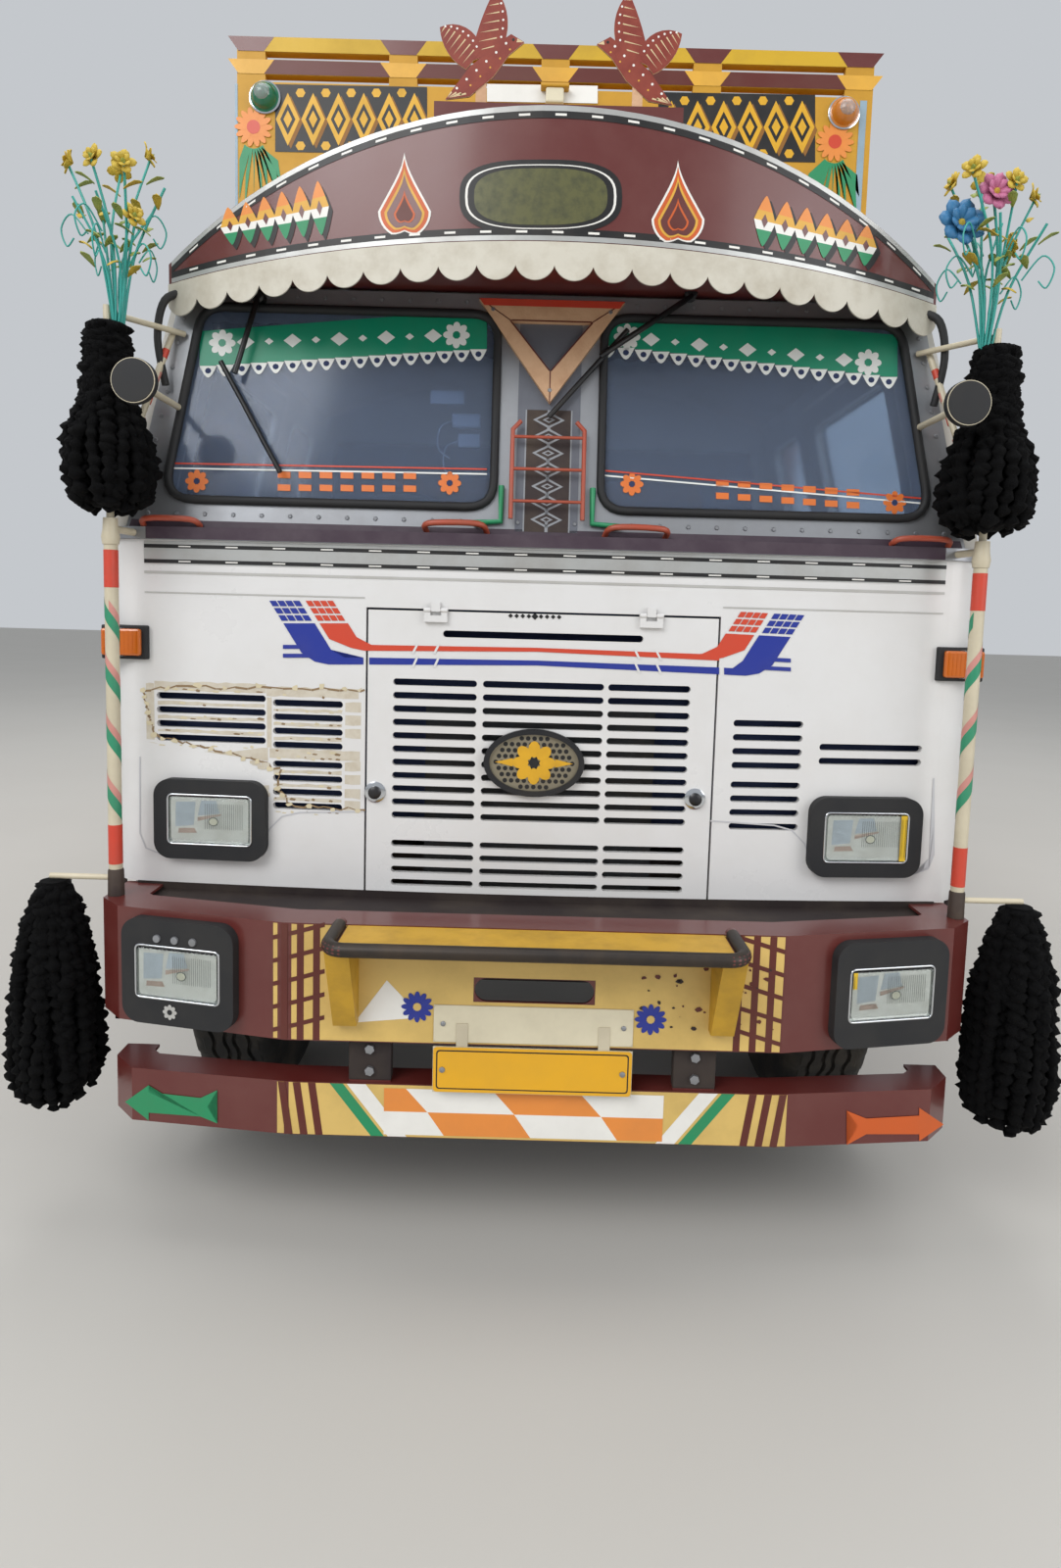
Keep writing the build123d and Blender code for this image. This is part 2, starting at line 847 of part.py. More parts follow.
# Columns of slots beside the flap: middle, length, first height, spacing, count
side_vents = (
    (-940.0, 318.0, 1500.0, -40.0, 4),
    (-660.0, 200.0, 1490.0, -40.0, 4),
    (-660.0, 200.0, 1315.0, -40.0, 4),
    (645.0, 200.0, 1468.0, -40.0, 4),
    (645.0, 200.0, 1292.0, -40.0, 4),
    (945.0, 300.0, 1405.0, -40.0, 2),
)

flap_hinge_y = behind(-flap_hinge_lead)
flap_hinge_z = flap_top + flap_gap / 2
flap_hinges = (-300.0, 300.0)
flap_leaf_back = behind(panel_thickness / 2)

with BuildPart() as cab_front:
    cowl_shell(panel_low, panel_top, 0, panel_thickness, corner_return)
    flap_edge = flap_half_width + flap_gap
    box_between(
        (-flap_edge, behind(-face_bulge), panel_low - 10),
        (flap_edge, behind(2 * face_bulge), flap_top + flap_gap),
        mode=Mode.SUBTRACT,
    )
    for vent in side_vents:
        cut_slots(*vent)
    # Fixed halves of the flap's hinges, each a leaf and a pin
    for x in flap_hinges:
        box_between(
            (x - 12, flap_hinge_y - 4, flap_hinge_z - 4),
            (x + 12, flap_hinge_y + 4, flap_top + 26),
        )
        box_between(
            (x - 12, flap_hinge_y, flap_top + flap_gap),
            (x + 12, flap_leaf_back, flap_top + 26),
        )
        tube((x - 34, flap_hinge_y, flap_hinge_z), (x + 34, flap_hinge_y, flap_hinge_z), flap_pin_radius)
write(cab_front, "cab_front")

with BuildPart() as grille_flap:
    cowl_shell(panel_low, flap_top, 0, panel_thickness, corner_return)
    with BuildSketch(front_plane(behind(face_bulge))):
        with Locations((0, (panel_low + flap_top) / 2)):
            Rectangle(2 * flap_half_width, flap_top - panel_low)
    extrude(amount=2 * face_bulge, mode=Mode.INTERSECT)
    for middle, length in flap_columns:
        for first, spacing, count in flap_rows:
            cut_slots(middle, length, first, spacing, count)
    cut_slots(0, 560, flap_top - 62, 0, 1)
    # Moving halves of its hinges, each a leaf below two eyes
    for x in flap_hinges:
        box_between(
            (x - 32, flap_hinge_y - 3, flap_top - 30),
            (x + 32, flap_leaf_back, flap_top - 12),
        )
        for sign in (-1, 1):
            near = x + sign * 15
            far = x + sign * 32
            box_between(
                (near, flap_hinge_y - 3, flap_top - 14),
                (far, flap_hinge_y + 3, flap_hinge_z - flap_eye_radius + 1.5),
            )
            eye(
                (near, flap_hinge_y, flap_hinge_z),
                (far, flap_hinge_y, flap_hinge_z),
                flap_eye_radius,
                flap_pin_radius + pin_gap,
            )
write(grille_flap, "grille_flap")


def corner_centre(inset):
    """The x and y of the middle of the rounded corner of the panel's plan, drawn in by inset."""
    half = cab_half_width - inset
    arc_radius = (half**2 + face_bulge**2) / (2 * face_bulge)
    x = cab_half_width - corner_radius
    back = inset + arc_radius - sqrt((arc_radius - corner_radius + inset) ** 2 - x**2)
    return x, behind(back)


# Windscreen frame, with the ledge that it stands on, and the panes
screen_height = screen_top - screen_low
screen_slope = sqrt(screen_height**2 + screen_lean**2)
screen_plane = Plane(
    origin=(0, behind(screen_foot), screen_low),
    x_dir=(1, 0, 0),
    z_dir=(0, -screen_height, screen_lean),
)


def pane_outline(side, inset):
    """The outline of one windscreen on the leaning plane, drawn in from its opening's edge."""
    with BuildSketch(screen_plane) as pane:
        Polygon(
            (side * (pane_inner + inset), pane_low + inset),
            (side * (pane_outer_low - inset), pane_low + inset),
            (side * (pane_outer_top - inset), pane_top - inset),
            (side * (pane_inner + inset), pane_top - inset),
            align=None,
        )
        fillet(pane.vertices(), pane_corner - inset)
    return pane.sketch


with BuildPart() as windscreen_frame:
    with BuildSketch(screen_plane):
        Polygon(
            (-screen_half_low, 0),
            (screen_half_low, 0),
            (screen_half_top, screen_slope),
            (-screen_half_top, screen_slope),
            align=None,
        )
    extrude(amount=-screen_thickness)
    for _, side in sides:
        extrude(pane_outline(side, 0), amount=-2 * screen_thickness, mode=Mode.SUBTRACT)
    cowl_shell(
        panel_top + seat_gap,
        belt_height,
        -ledge_lip,
        ledge_width,
        corner_return - side_lap - seat_gap,
    )
write(windscreen_frame, "windscreen_frame")

glass_depth = (screen_thickness - glass_thickness) / 2
with BuildPart() as windscreens:
    for _, side in sides:
        outline = pane_outline(side, seat_gap)
        extrude(outline, amount=-glass_depth - glass_thickness)
        extrude(outline, amount=-glass_depth, mode=Mode.SUBTRACT)
write(windscreens, "windscreens")


# Cab sides and doors
side_lean = side_half_width - roof_half_width


def side_section(side, y, thickness, low, high):
    """The section of a cab side that is upright to the belt and leans in above it."""

    def outside(z):
        return side_half_width - side_lean * max(0, z - belt_height) / (roof_edge - belt_height)

    heights = [low, belt_height, high]
    outline = [(side * outside(z), z) for z in heights]
    outline += [(side * (outside(z) - thickness), z) for z in reversed(heights)]
    with BuildSketch(front_plane(y)) as section:
        Polygon(*outline, align=None)
    return section.sketch


def cut_window(side, front, rear, low, high, corner):
    """Cuts a hole through a cab side, from front to rear and from low to high."""
    with BuildSketch(side_plane(side * side_half_width - 250)) as hole:
        with Locations(((front + rear) / 2, (low + high) / 2)):
            RectangleRounded(rear - front, high - low, corner)
    extrude(hole.sketch, amount=500, mode=Mode.SUBTRACT)


door_hinge_x = side_half_width + door_hinge_out
door_hinge_y = behind(door_front) - door_pin_radius

with BuildPart() as cab_sides:
    front_at_belt = behind(screen_foot + screen_thickness + 2)
    front_at_roof = front_at_belt + screen_lean
    for _, side in sides:
        extrude(
            side_section(side, behind(cab_length), wall_thickness, floor_low, roof_edge - seat_gap),
            amount=behind(cab_length) - front_at_belt,
        )
        # The leaning front edge, and the notch where the front panel wraps round
        with BuildSketch(side_plane(side * side_half_width - 250)):
            Polygon(
                (behind(corner_return - side_lap), floor_low - 1),
                (behind(corner_return - side_lap), belt_height + seat_gap),
                (front_at_belt, belt_height + seat_gap),
                (front_at_roof, screen_top),
                (front_at_roof, roof_edge + 1),
                (front_at_belt - 10, roof_edge + 1),
                (front_at_belt - 10, floor_low - 1),
                align=None,
            )
        extrude(amount=500, mode=Mode.SUBTRACT)
        cut_window(
            side,
            behind(door_front - shut_gap),
            behind(door_rear + shut_gap),
            door_low - shut_gap,
            door_top + shut_gap,
            2,
        )
        cut_window(
            side,
            behind(door_rear + 150),
            behind(cab_length - 170),
            window_low + 40,
            door_top - 60,
            window_corner,
        )
        # Fixed halves of the door's hinges, each an arm and a pin
        for z in door_hinges:
            box_between(
                (side * (side_half_width - 5), behind(corner_return) + 1, z - 12),
                (side * (door_hinge_x + door_pin_radius), behind(door_front - shut_gap) - 0.5, z + 12),
            )
            box_between(
                (side * (door_hinge_x - door_pin_radius), behind(corner_return) + 1, z - 12),
                (side * (door_hinge_x + door_pin_radius), behind(door_front), z + 12),
            )
            tube(
                (side * door_hinge_x, door_hinge_y, z - 40),
                (side * door_hinge_x, door_hinge_y, z + 40),
                door_pin_radius,
            )
write(cab_sides, "cab_sides")

for side_name, side in sides:
    with BuildPart() as door:
        extrude(
            side_section(side, behind(door_rear), door_thickness, door_low, door_top),
            amount=door_rear - door_front,
        )
        cut_window(
            side,
            behind(door_front + window_margin),
            behind(door_rear - window_margin),
            window_low,
            door_top - window_margin,
            window_corner,
        )
        # Moving halves of its hinges, each a strap with an eye
        for z in door_hinges:
            for level in (-1, 1):
                near = z + level * 15
                far = z + level * 40
                box_between(
                    (side * (side_half_width - 2), behind(door_front) + 2, near),
                    (side * (side_half_width + 6), behind(door_front) + 90, far),
                )
                eye(
                    (side * door_hinge_x, door_hinge_y, near),
                    (side * door_hinge_x, door_hinge_y, far),
                    door_eye_radius,
                    door_pin_radius + pin_gap,
                )
                box_between(
                    (side * (side_half_width + 2), behind(door_front) + 1, near),
                    (side * door_hinge_x, behind(door_front) + 12, far),
                )
    write(door, f"door_{side_name}")


# Cab back, floor and roof
inner_low = side_half_width - wall_thickness - seat_gap
inner_top = roof_half_width - wall_thickness - seat_gap
with BuildPart() as cab_back:
    back_peak = roof_edge + roof_rise - 8
    with BuildSketch(front_plane(behind(cab_length))):
        with BuildLine():
            Polyline(
                (-inner_top, roof_edge),
                (-inner_low, belt_height),
                (-inner_low, floor_top + seat_gap),
                (inner_low, floor_top + seat_gap),
                (inner_low, belt_height),
                (inner_top, roof_edge),
            )
            ThreePointArc((inner_top, roof_edge), (0, back_peak), (-inner_top, roof_edge))
        make_face()
        with Locations((-480, 2250), (480, 2250)):
            RectangleRounded(640, 330, window_corner, mode=Mode.SUBTRACT)
    extrude(amount=wall_thickness)
write(cab_back, "cab_back")

tunnel_half = engine_half + tunnel_gap + tunnel_wall
tunnel_rear = engine_rear + tunnel_gap + tunnel_wall
tunnel_top = engine_top + tunnel_gap + tunnel_wall
seat_base_half = seat_width / 2 - 20
with BuildPart() as cab_floor:
    box_between(
        (-inner_low, behind(floor_front), floor_low),
        (inner_low, behind(cab_length), floor_top),
    )
    box_between(
        (-inner_low, behind(floor_front), floor_low),
        (inner_low, behind(floor_front + firewall_thickness), panel_top - 5),
    )
    box_between(
        (-tunnel_half, behind(floor_front), floor_low),
        (tunnel_half, behind(tunnel_rear), tunnel_top),
    )
    # Boxes under the seats
    for seat_x in (driver_x, -driver_x):
        box_between(
            (seat_x - seat_base_half, behind(seat_front + 20), floor_top - 1),
            (seat_x + seat_base_half, behind(seat_front + seat_depth - 20), seat_low - seat_gap),
        )
    box_between(
        (-tunnel_half + tunnel_wall, behind(floor_front) - 1, floor_low - 1),
        (tunnel_half - tunnel_wall, behind(tunnel_rear - tunnel_wall), tunnel_top - tunnel_wall),
        mode=Mode.SUBTRACT,
    )
    # Feet on the frame's rails
    for sign in (-1, 1):
        for place in (300.0, cab_length - 200):
            box_between(
                (sign * (frame_half - rail_flange), behind(place) - 60, frame_top + seat_gap),
                (sign * frame_half, behind(place) + 60, floor_low + 1),
            )
write(cab_floor, "cab_floor")


def visor_band(inset, thickness, low, high):
    """A band bent to the visor's plan arc, set back from it by inset."""

    def arc(back):
        return (
            (-visor_half_width, behind(visor_end_setback + back)),
            (0, behind(-visor_lead + back)),
            (visor_half_width, behind(visor_end_setback + back)),
        )

    outer = arc(inset)
    inner = arc(inset + thickness)
    with BuildSketch(Plane.XY.offset(low)) as plan:
        with BuildLine():
            ThreePointArc(*outer)
            Line(outer[2], inner[2])
            ThreePointArc(*reversed(inner))
            Line(inner[0], outer[0])
        make_face()
    return extrude(plan.sketch, amount=high - low, mode=Mode.PRIVATE)


with BuildPart() as cab_roof:
    with BuildSketch(front_plane(behind(cab_length + roof_overhang))):
        with BuildLine():
            half = roof_half_width
            top = roof_edge + roof_thickness
            ThreePointArc((-half, roof_edge), (0, roof_edge + roof_rise), (half, roof_edge))
            Line((half, roof_edge), (half, top))
            ThreePointArc((half, top), (0, top + roof_rise), (-half, top))
            Line((-half, top), (-half, roof_edge))
        make_face()
    extrude(amount=cab_length + roof_overhang + visor_lead)
    add(
        visor_band(-500, 500 + visor_thickness + seat_gap, roof_edge - 5, visor_peak),
        mode=Mode.SUBTRACT,
    )
write(cab_roof, "cab_roof")

with BuildPart() as visor:
    add(visor_band(0, visor_thickness, visor_end_low - 1, visor_peak + 1))
    with BuildSketch(front_plane(behind(400))):
        with BuildLine():
            half = visor_half_width
            ThreePointArc((-half, visor_end_top), (0, visor_peak), (half, visor_end_top))
            Line((half, visor_end_top), (half, visor_end_low))
            ThreePointArc((half, visor_end_low), (0, visor_low), (-half, visor_end_low))
            Line((-half, visor_end_low), (-half, visor_end_top))
        make_face()
    extrude(amount=800, mode=Mode.INTERSECT)
    # The soffit that closes the gap back to the windscreen frame
    with BuildSketch(Plane.XY.offset(visor_low)):
        with BuildLine():
            half = visor_half_width - soffit_inset
            reach = -visor_lead + visor_thickness - 1
            setback = reach + arc_drop(half, visor_half_width, visor_lead + visor_end_setback)
            soffit_back = screen_foot + screen_lean + screen_thickness + 10
            ThreePointArc((-half, behind(setback)), (0, behind(reach)), (half, behind(setback)))
            Polyline(
                (half, behind(setback)),
                (half, behind(soffit_back)),
                (-half, behind(soffit_back)),
                (-half, behind(setback)),
            )
        make_face()
    extrude(amount=soffit_thickness)
write(visor, "visor")


def fringe_level(x):
    """The height of the fringe's inner corners at x, which follow the visor's arched foot."""
    arch = visor_low - visor_end_low
    return visor_low - arc_drop(x, visor_half_width, arch) - fringe_drop * 0.55


with BuildPart() as visor_fringe:
    add(
        visor_band(
            -fringe_thickness - seat_gap,
            fringe_thickness,
            visor_end_low - fringe_drop - 1,
            visor_low + fringe_lap + 1,
        )
    )
    lobe = 2 * visor_half_width / fringe_lobes
    with BuildSketch(front_plane(behind(400))):
        with BuildLine():
            half = visor_half_width
            ThreePointArc(
                (half, visor_end_low + fringe_lap),
                (0, visor_low + fringe_lap),
                (-half, visor_end_low + fringe_lap),
            )
            Line((-half, visor_end_low + fringe_lap), (-half, fringe_level(half)))
            for i in range(fringe_lobes):
                left_x = -half + i * lobe
                right_x = left_x + lobe
                bottom = (fringe_level(left_x) + fringe_level(right_x)) / 2 - fringe_drop * 0.45
                ThreePointArc(
                    (left_x, fringe_level(left_x)),
                    (left_x + lobe / 2, bottom),
                    (right_x, fringe_level(right_x)),
                )
            Line((half, fringe_level(half)), (half, visor_end_low + fringe_lap))
        make_face()
    extrude(amount=800, mode=Mode.INTERSECT)
write(visor_fringe, "visor_fringe")


# Roof carrier
fence_top = carrier_board_top + 2 * (rail_bar_gap + rail_bar)
front_y = behind(carrier_front)
rear_y = behind(load_front) - seat_gap
board = carrier_board_thickness
with BuildPart() as roof_carrier:
    box_between(
        (-carrier_half_width, front_y, carrier_low),
        (carrier_half_width, front_y + board, carrier_board_top),
    )
    box_between(
        (-carrier_half_width, front_y, carrier_low),
        (carrier_half_width, rear_y, carrier_low + board),
    )
    for sign in (-1, 1):
        edge = sign * carrier_half_width
        box_between(
            (edge, front_y, carrier_low),
            (edge - sign * board, rear_y, carrier_board_top),
        )
    # Two rails round the front and sides, on posts
    for i in range(2):
        low = carrier_board_top + rail_bar_gap + i * (rail_bar + rail_bar_gap)
        box_between(
            (-carrier_half_width, front_y, low),
            (carrier_half_width, front_y + rail_bar_depth, low + rail_bar),
        )
        for sign in (-1, 1):
            edge = sign * carrier_half_width
            box_between((edge, front_y, low), (edge - sign * board, rear_y, low + rail_bar))
    post_pitch = (2 * carrier_half_width - carrier_post_width) / (carrier_posts - 1)
    for i in range(carrier_posts):
        x = -carrier_half_width + i * post_pitch
        box_between(
            (x, front_y, carrier_board_top - 1),
            (x + carrier_post_width, front_y + board, fence_top - 1),
        )
    for sign in (-1, 1):
        edge = sign * carrier_half_width
        box_between(
            (edge, rear_y - carrier_post_width, carrier_board_top - 1),
            (edge - sign * board, rear_y, fence_top - 1),
        )
        # A foot on the cab's roof
        inner_edge = carrier_foot_x - carrier_foot_size / 2
        foot_low = roof_edge + roof_rise + roof_thickness + seat_gap
        foot_low -= arc_drop(inner_edge, roof_half_width, roof_rise)
        box_between(
            (sign * inner_edge, front_y + 20, foot_low),
            (
                sign * (inner_edge + carrier_foot_size),
                front_y + 20 + carrier_foot_size,
                carrier_low + 1,
            ),
        )
write(roof_carrier, "roof_carrier")


# Places of the tailboard and rear doors, which shut against the back of the load body
gate_front = behind(load_rear) + shut_gap
gate_rear = gate_front + gate_thickness
gate_hinge_y = gate_rear + hinge_back
tailboard_low = deck_low + 10
tailboard_top = tailboard_low + tailboard_height
tailboard_hinge_z = tailboard_low - tailboard_hinge_drop
tailboard_hinges = (-1000.0, -330.0, 330.0, 1000.0)
rear_hinge_x = body_half_width + rear_hinge_out
rear_hinges = (2080.0, 2600.0, 3120.0)

# Load body
headboard_rear = load_front + board_thickness + post_depth + 15
with BuildPart() as load_deck:
    box_between(
        (-deck_half_width, behind(headboard_rear) + seat_gap, deck_low),
        (deck_half_width, behind(load_rear), deck_top),
    )
    pitch = (load_rear - load_front - bearer_width) / (bearer_count - 1)
    for i in range(bearer_count):
        y = behind(load_front) + i * pitch
        box_between((-deck_half_width, y, bearer_low), (deck_half_width, y + bearer_width, deck_low))
    for sign in (-1, 1):
        box_between(
            (sign * (frame_half - rail_flange), behind(load_front), frame_top + seat_gap),
            (sign * frame_half, frame_rear, bearer_low),
        )
    # Fixed halves of the tailboard's hinges, each an arm and a pin
    for x in tailboard_hinges:
        box_between(
            (x - 12, behind(load_rear) - 5, tailboard_hinge_z - 40),
            (x + 12, gate_hinge_y + gate_pin_radius, tailboard_hinge_z + gate_pin_radius),
        )
        reach = 16 + gate_eye_length
        tube(
            (x - reach, gate_hinge_y, tailboard_hinge_z),
            (x + reach, gate_hinge_y, tailboard_hinge_z),
            gate_pin_radius,
        )
write(load_deck, "load_deck")

# Rows of level ribs on each side: low, height
side_ribs = (
    (deck_low - skirt, 90.0),
    (2050.0, 60.0),
    (2700.0, 60.0),
    (load_side_top - 70, 70.0),
)
with BuildPart() as load_sides:
    side_rear = behind(load_rear - rear_post_width) - seat_gap
    side_front = behind(load_front)
    side_pitch = (side_rear - side_front - post_width) / (side_post_count - 1)
    for sign in (-1, 1):
        box_between(
            (sign * wall_inner, side_front, deck_low - skirt),
            (sign * wall_outer, side_rear, load_side_top),
        )
        for low, height in side_ribs:
            box_between(
                (sign * wall_inner, side_front, low),
                (sign * body_half_width, side_rear, low + height),
            )
        for i in range(side_post_count):
            y = side_front + i * side_pitch
            box_between(
                (sign * wall_inner, y, deck_low - skirt),
                (sign * body_half_width, y + post_width, load_side_top),
            )
write(load_sides, "load_sides")

with BuildPart() as load_ends:
    # Headboard, which stands on the first bearer and carries the roof carrier
    box_between(
        (-deck_half_width, behind(load_front), deck_low + seat_gap),
        (deck_half_width, behind(load_front) + board_thickness + 15, carrier_board_top),
    )
    head_pitch = (2 * deck_half_width - rear_post_width) / (headboard_posts - 1)
    for i in range(headboard_posts):
        x = -deck_half_width + i * head_pitch
        box_between(
            (x, behind(load_front), deck_low + seat_gap),
            (x + rear_post_width, behind(headboard_rear), carrier_board_top),
        )
    # Rear portal round the tailboard and doors
    for sign in (-1, 1):
        box_between(
            (sign * wall_inner, behind(load_rear - rear_post_width), deck_low - skirt),
            (sign * body_half_width, behind(load_rear), load_side_top),
        )
    box_between(
        (-body_half_width, behind(load_rear - rear_post_width), load_side_top - rear_post_width),
        (body_half_width, behind(load_rear), load_side_top),
    )
    # Fixed halves of the rear doors' hinges, each an arm and a pin
    for sign in (-1, 1):
        for z in rear_hinges:
            box_between(
                (sign * (body_half_width - 5), behind(load_rear) - 60, z - 15),
                (sign * (rear_hinge_x + gate_pin_radius), behind(load_rear) - 5, z + 15),
            )
            box_between(
                (sign * (body_half_width + 6), behind(load_rear) - 60, z - 15),
                (
                    sign * (rear_hinge_x + gate_pin_radius),
                    gate_hinge_y + gate_pin_radius,
                    z + 15,
                ),
            )
            reach = 18 + gate_eye_length
            tube(
                (sign * rear_hinge_x, gate_hinge_y, z - reach),
                (sign * rear_hinge_x, gate_hinge_y, z + reach),
                gate_pin_radius,
            )
write(load_ends, "load_ends")


# Tailboard and rear doors
def framed_board(low_x, high_x, low, high, uprights):
    """A board with a frame round it and uprights between, on its rear side."""
    box_between((low_x, gate_front, low), (high_x, gate_rear - 15, high))
    pitch = (high_x - low_x - gate_frame) / (uprights - 1)
    for i in range(uprights):
        x = low_x + i * pitch
        box_between((x, gate_front + 10, low), (x + gate_frame, gate_rear, high))
    for level in (low, high - gate_frame):
        box_between((low_x, gate_front + 10, level), (high_x, gate_rear, level + gate_frame))


with BuildPart() as tailboard:
    framed_board(-body_half_width, body_half_width, tailboard_low, tailboard_top, 7)
    # Moving halves of its hinges, each a strap with an eye
    for x in tailboard_hinges:
        for sign in (-1, 1):
            near = x + sign * 16
            far = near + sign * gate_eye_length
            box_between(
                (near, gate_rear - 2, tailboard_hinge_z + gate_pin_radius + 2),
                (far, gate_hinge_y - gate_eye_radius + 8, tailboard_low + 120),
            )
            eye(
                (near, gate_hinge_y, tailboard_hinge_z),
                (far, gate_hinge_y, tailboard_hinge_z),
                gate_eye_radius,
                gate_pin_radius + pin_gap,
            )
write(tailboard, "tailboard")

for side_name, side in sides:
    low_x, high_x = sorted((side * shut_gap / 2, side * body_half_width))
    with BuildPart() as rear_door:
        framed_board(low_x, high_x, tailboard_top + shut_gap, load_side_top - 10, 3)
        # Moving halves of its hinges, each a strap with an eye
        for z in rear_hinges:
            for level in (-1, 1):
                near = z + level * 18
                far = near + level * gate_eye_length
                box_between(
                    (side * (body_half_width - 120), gate_rear - 2, near),
                    (
                        side * (rear_hinge_x - gate_pin_radius - 2),
                        gate_hinge_y - gate_eye_radius + 8,
                        far,
                    ),
                )
                eye(
                    (side * rear_hinge_x, gate_hinge_y, near),
                    (side * rear_hinge_x, gate_hinge_y, far),
                    gate_eye_radius,
                    gate_pin_radius + pin_gap,
                )
    write(rear_door, f"rear_door_{side_name}")


# Mudguards over the rear wheels and the second steered axle
guard_radius = tyre_radius + 70
guard_thickness = 6.0
guard_top = wheel_z + guard_radius + guard_thickness


def guard(y, inner_x, outer_x, half_angle):
    """A sheet bent to an arc over a wheel."""

    def point(radius, angle):
        return (y + radius * sin(radians(angle)), wheel_z + radius * cos(radians(angle)))

    outer = guard_radius + guard_thickness
    with BuildSketch(side_plane(min(inner_x, outer_x))) as section:
        with BuildLine():
            ThreePointArc(*[point(outer, a) for a in (-half_angle, 0, half_angle)])
            Line(point(outer, half_angle), point(guard_radius, half_angle))
            ThreePointArc(*[point(guard_radius, a) for a in (half_angle, 0, -half_angle)])
            Line(point(guard_radius, -half_angle), point(outer, -half_angle))
        make_face()
    extrude(section.sketch, amount=abs(outer_x - inner_x))


rear_guard_inner = rear_track / 2 - dual_spacing / 2 - tyre_width / 2 - 20
rear_guard_outer = rear_track / 2 + dual_spacing / 2 + tyre_width / 2 + 5
with BuildPart() as mudguards:
    for sign in (-1, 1):
        for _, axle_y in rear_axles:
            guard(axle_y, sign * rear_guard_inner, sign * rear_guard_outer, 52)
            for end in (-1, 1):
                box_between(
                    (sign * 880, axle_y + end * 40 - 12, guard_top - 8),
                    (sign * 940, axle_y + end * 40 + 12, deck_low - seat_gap),
                )
        axle_y = steer_axles[1][1]
        guard(axle_y, sign * 700, sign * 1190, 34)
        box_between(
            (sign * 880, axle_y - 50, guard_top - 8),
            (sign * 940, axle_y - 10, bearer_low - seat_gap),
        )
write(mudguards, "mudguards")


# Steps below the cab, ahead of the front wheels
with BuildPart() as cab_steps:
    for sign in (-1, 1):
        inner_x = sign * (cab_half_width - 150)
        outer_x = sign * (cab_half_width - 1)
        box_between((inner_x, behind(80), 520), (outer_x, behind(245), 550))
        for place in (80, 239):
            box_between(
                (outer_x, behind(place), 549),
                (outer_x - sign * 40, behind(place + 6), panel_low - seat_gap),
            )
write(cab_steps, "cab_steps")


# Lamps and their rubber surrounds
def lamp_plane(side, y, turn):
    """A plane at a front lamp, facing forward and turned out a little to the side."""
    a = radians(turn) * side
    return Plane(origin=(side * lamp_x, y, 0), x_dir=(cos(a), sin(a), 0), z_dir=(sin(a), -cos(a), 0))


sweep_run = bumper_half_width - bumper_corner - bumper_flat
bumper_turn = degrees(atan2(bumper_sweep, sweep_run))
bumper_lamp_y = behind(-bumper_lead + bumper_sweep * (lamp_x - bumper_flat) / sweep_run)
face_radius = (cab_half_width**2 + face_bulge**2) / (2 * face_bulge)
face_turn = degrees(atan2(lamp_x, face_radius - face_bulge))
face_lamp_y = behind(arc_drop(lamp_x, cab_half_width, face_bulge))
# Front lamps: height, y, turn, height of the surround
front_lamps = (
    (upper_lamp_z, face_lamp_y, face_turn, upper_bezel_height),
    (lower_lamp_z, bumper_lamp_y, bumper_turn, lower_bezel_height),
)
with BuildPart() as lamp_bezels:
    for _, side in sides:
        for z, y, turn, height in front_lamps:
            with BuildSketch(lamp_plane(side, y, turn).offset(seat_gap)):
                with Locations((0, z)):
                    RectangleRounded(bezel_width, height, bezel_corner)
                    RectangleRounded(lens_width, lens_height, lens_corner, mode=Mode.SUBTRACT)
            extrude(amount=bezel_depth)
write(lamp_bezels, "lamp_bezels")

with BuildPart() as lamps:
    for _, side in sides:
        for z, y, turn, _ in front_lamps:
            with BuildSketch(lamp_plane(side, y, turn).offset(seat_gap)):
                with Locations((0, z)):
                    RectangleRounded(
                        lens_width - 2 * seat_gap, lens_height - 2 * seat_gap, lens_corner
                    )
            extrude(amount=bezel_depth - 6)
        # Amber turn lamp on the rounded corner of the front panel
        corner_x, corner_y = corner_centre(0)
        corner = Vector(side * corner_x, corner_y, amber_z)
        out = Vector(side * sin(radians(45)), -sin(radians(45)), 0)
        with BuildSketch(
            Plane(
                origin=corner + out * (corner_radius + seat_gap),
                x_dir=(-out.Y, out.X, 0),
                z_dir=out,
            )
        ):
            Rectangle(amber_width, amber_height)
        extrude(amount=amber_depth)
        # Round lamp near the carrier's corner
        lamp_y = behind(carrier_front) - dome_radius - seat_gap
        with Locations((side * (carrier_half_width - 110), lamp_y, carrier_board_top - 60)):
            Sphere(dome_radius)
        # Tail lamp on the rear bar
        box_between(
            (side * 900, rear_bar_y + 90 + seat_gap, rear_bar_low + 20),
            (side * 1120, rear_bar_y + 112, rear_bar_low + 100),
        )
write(lamps, "lamps")


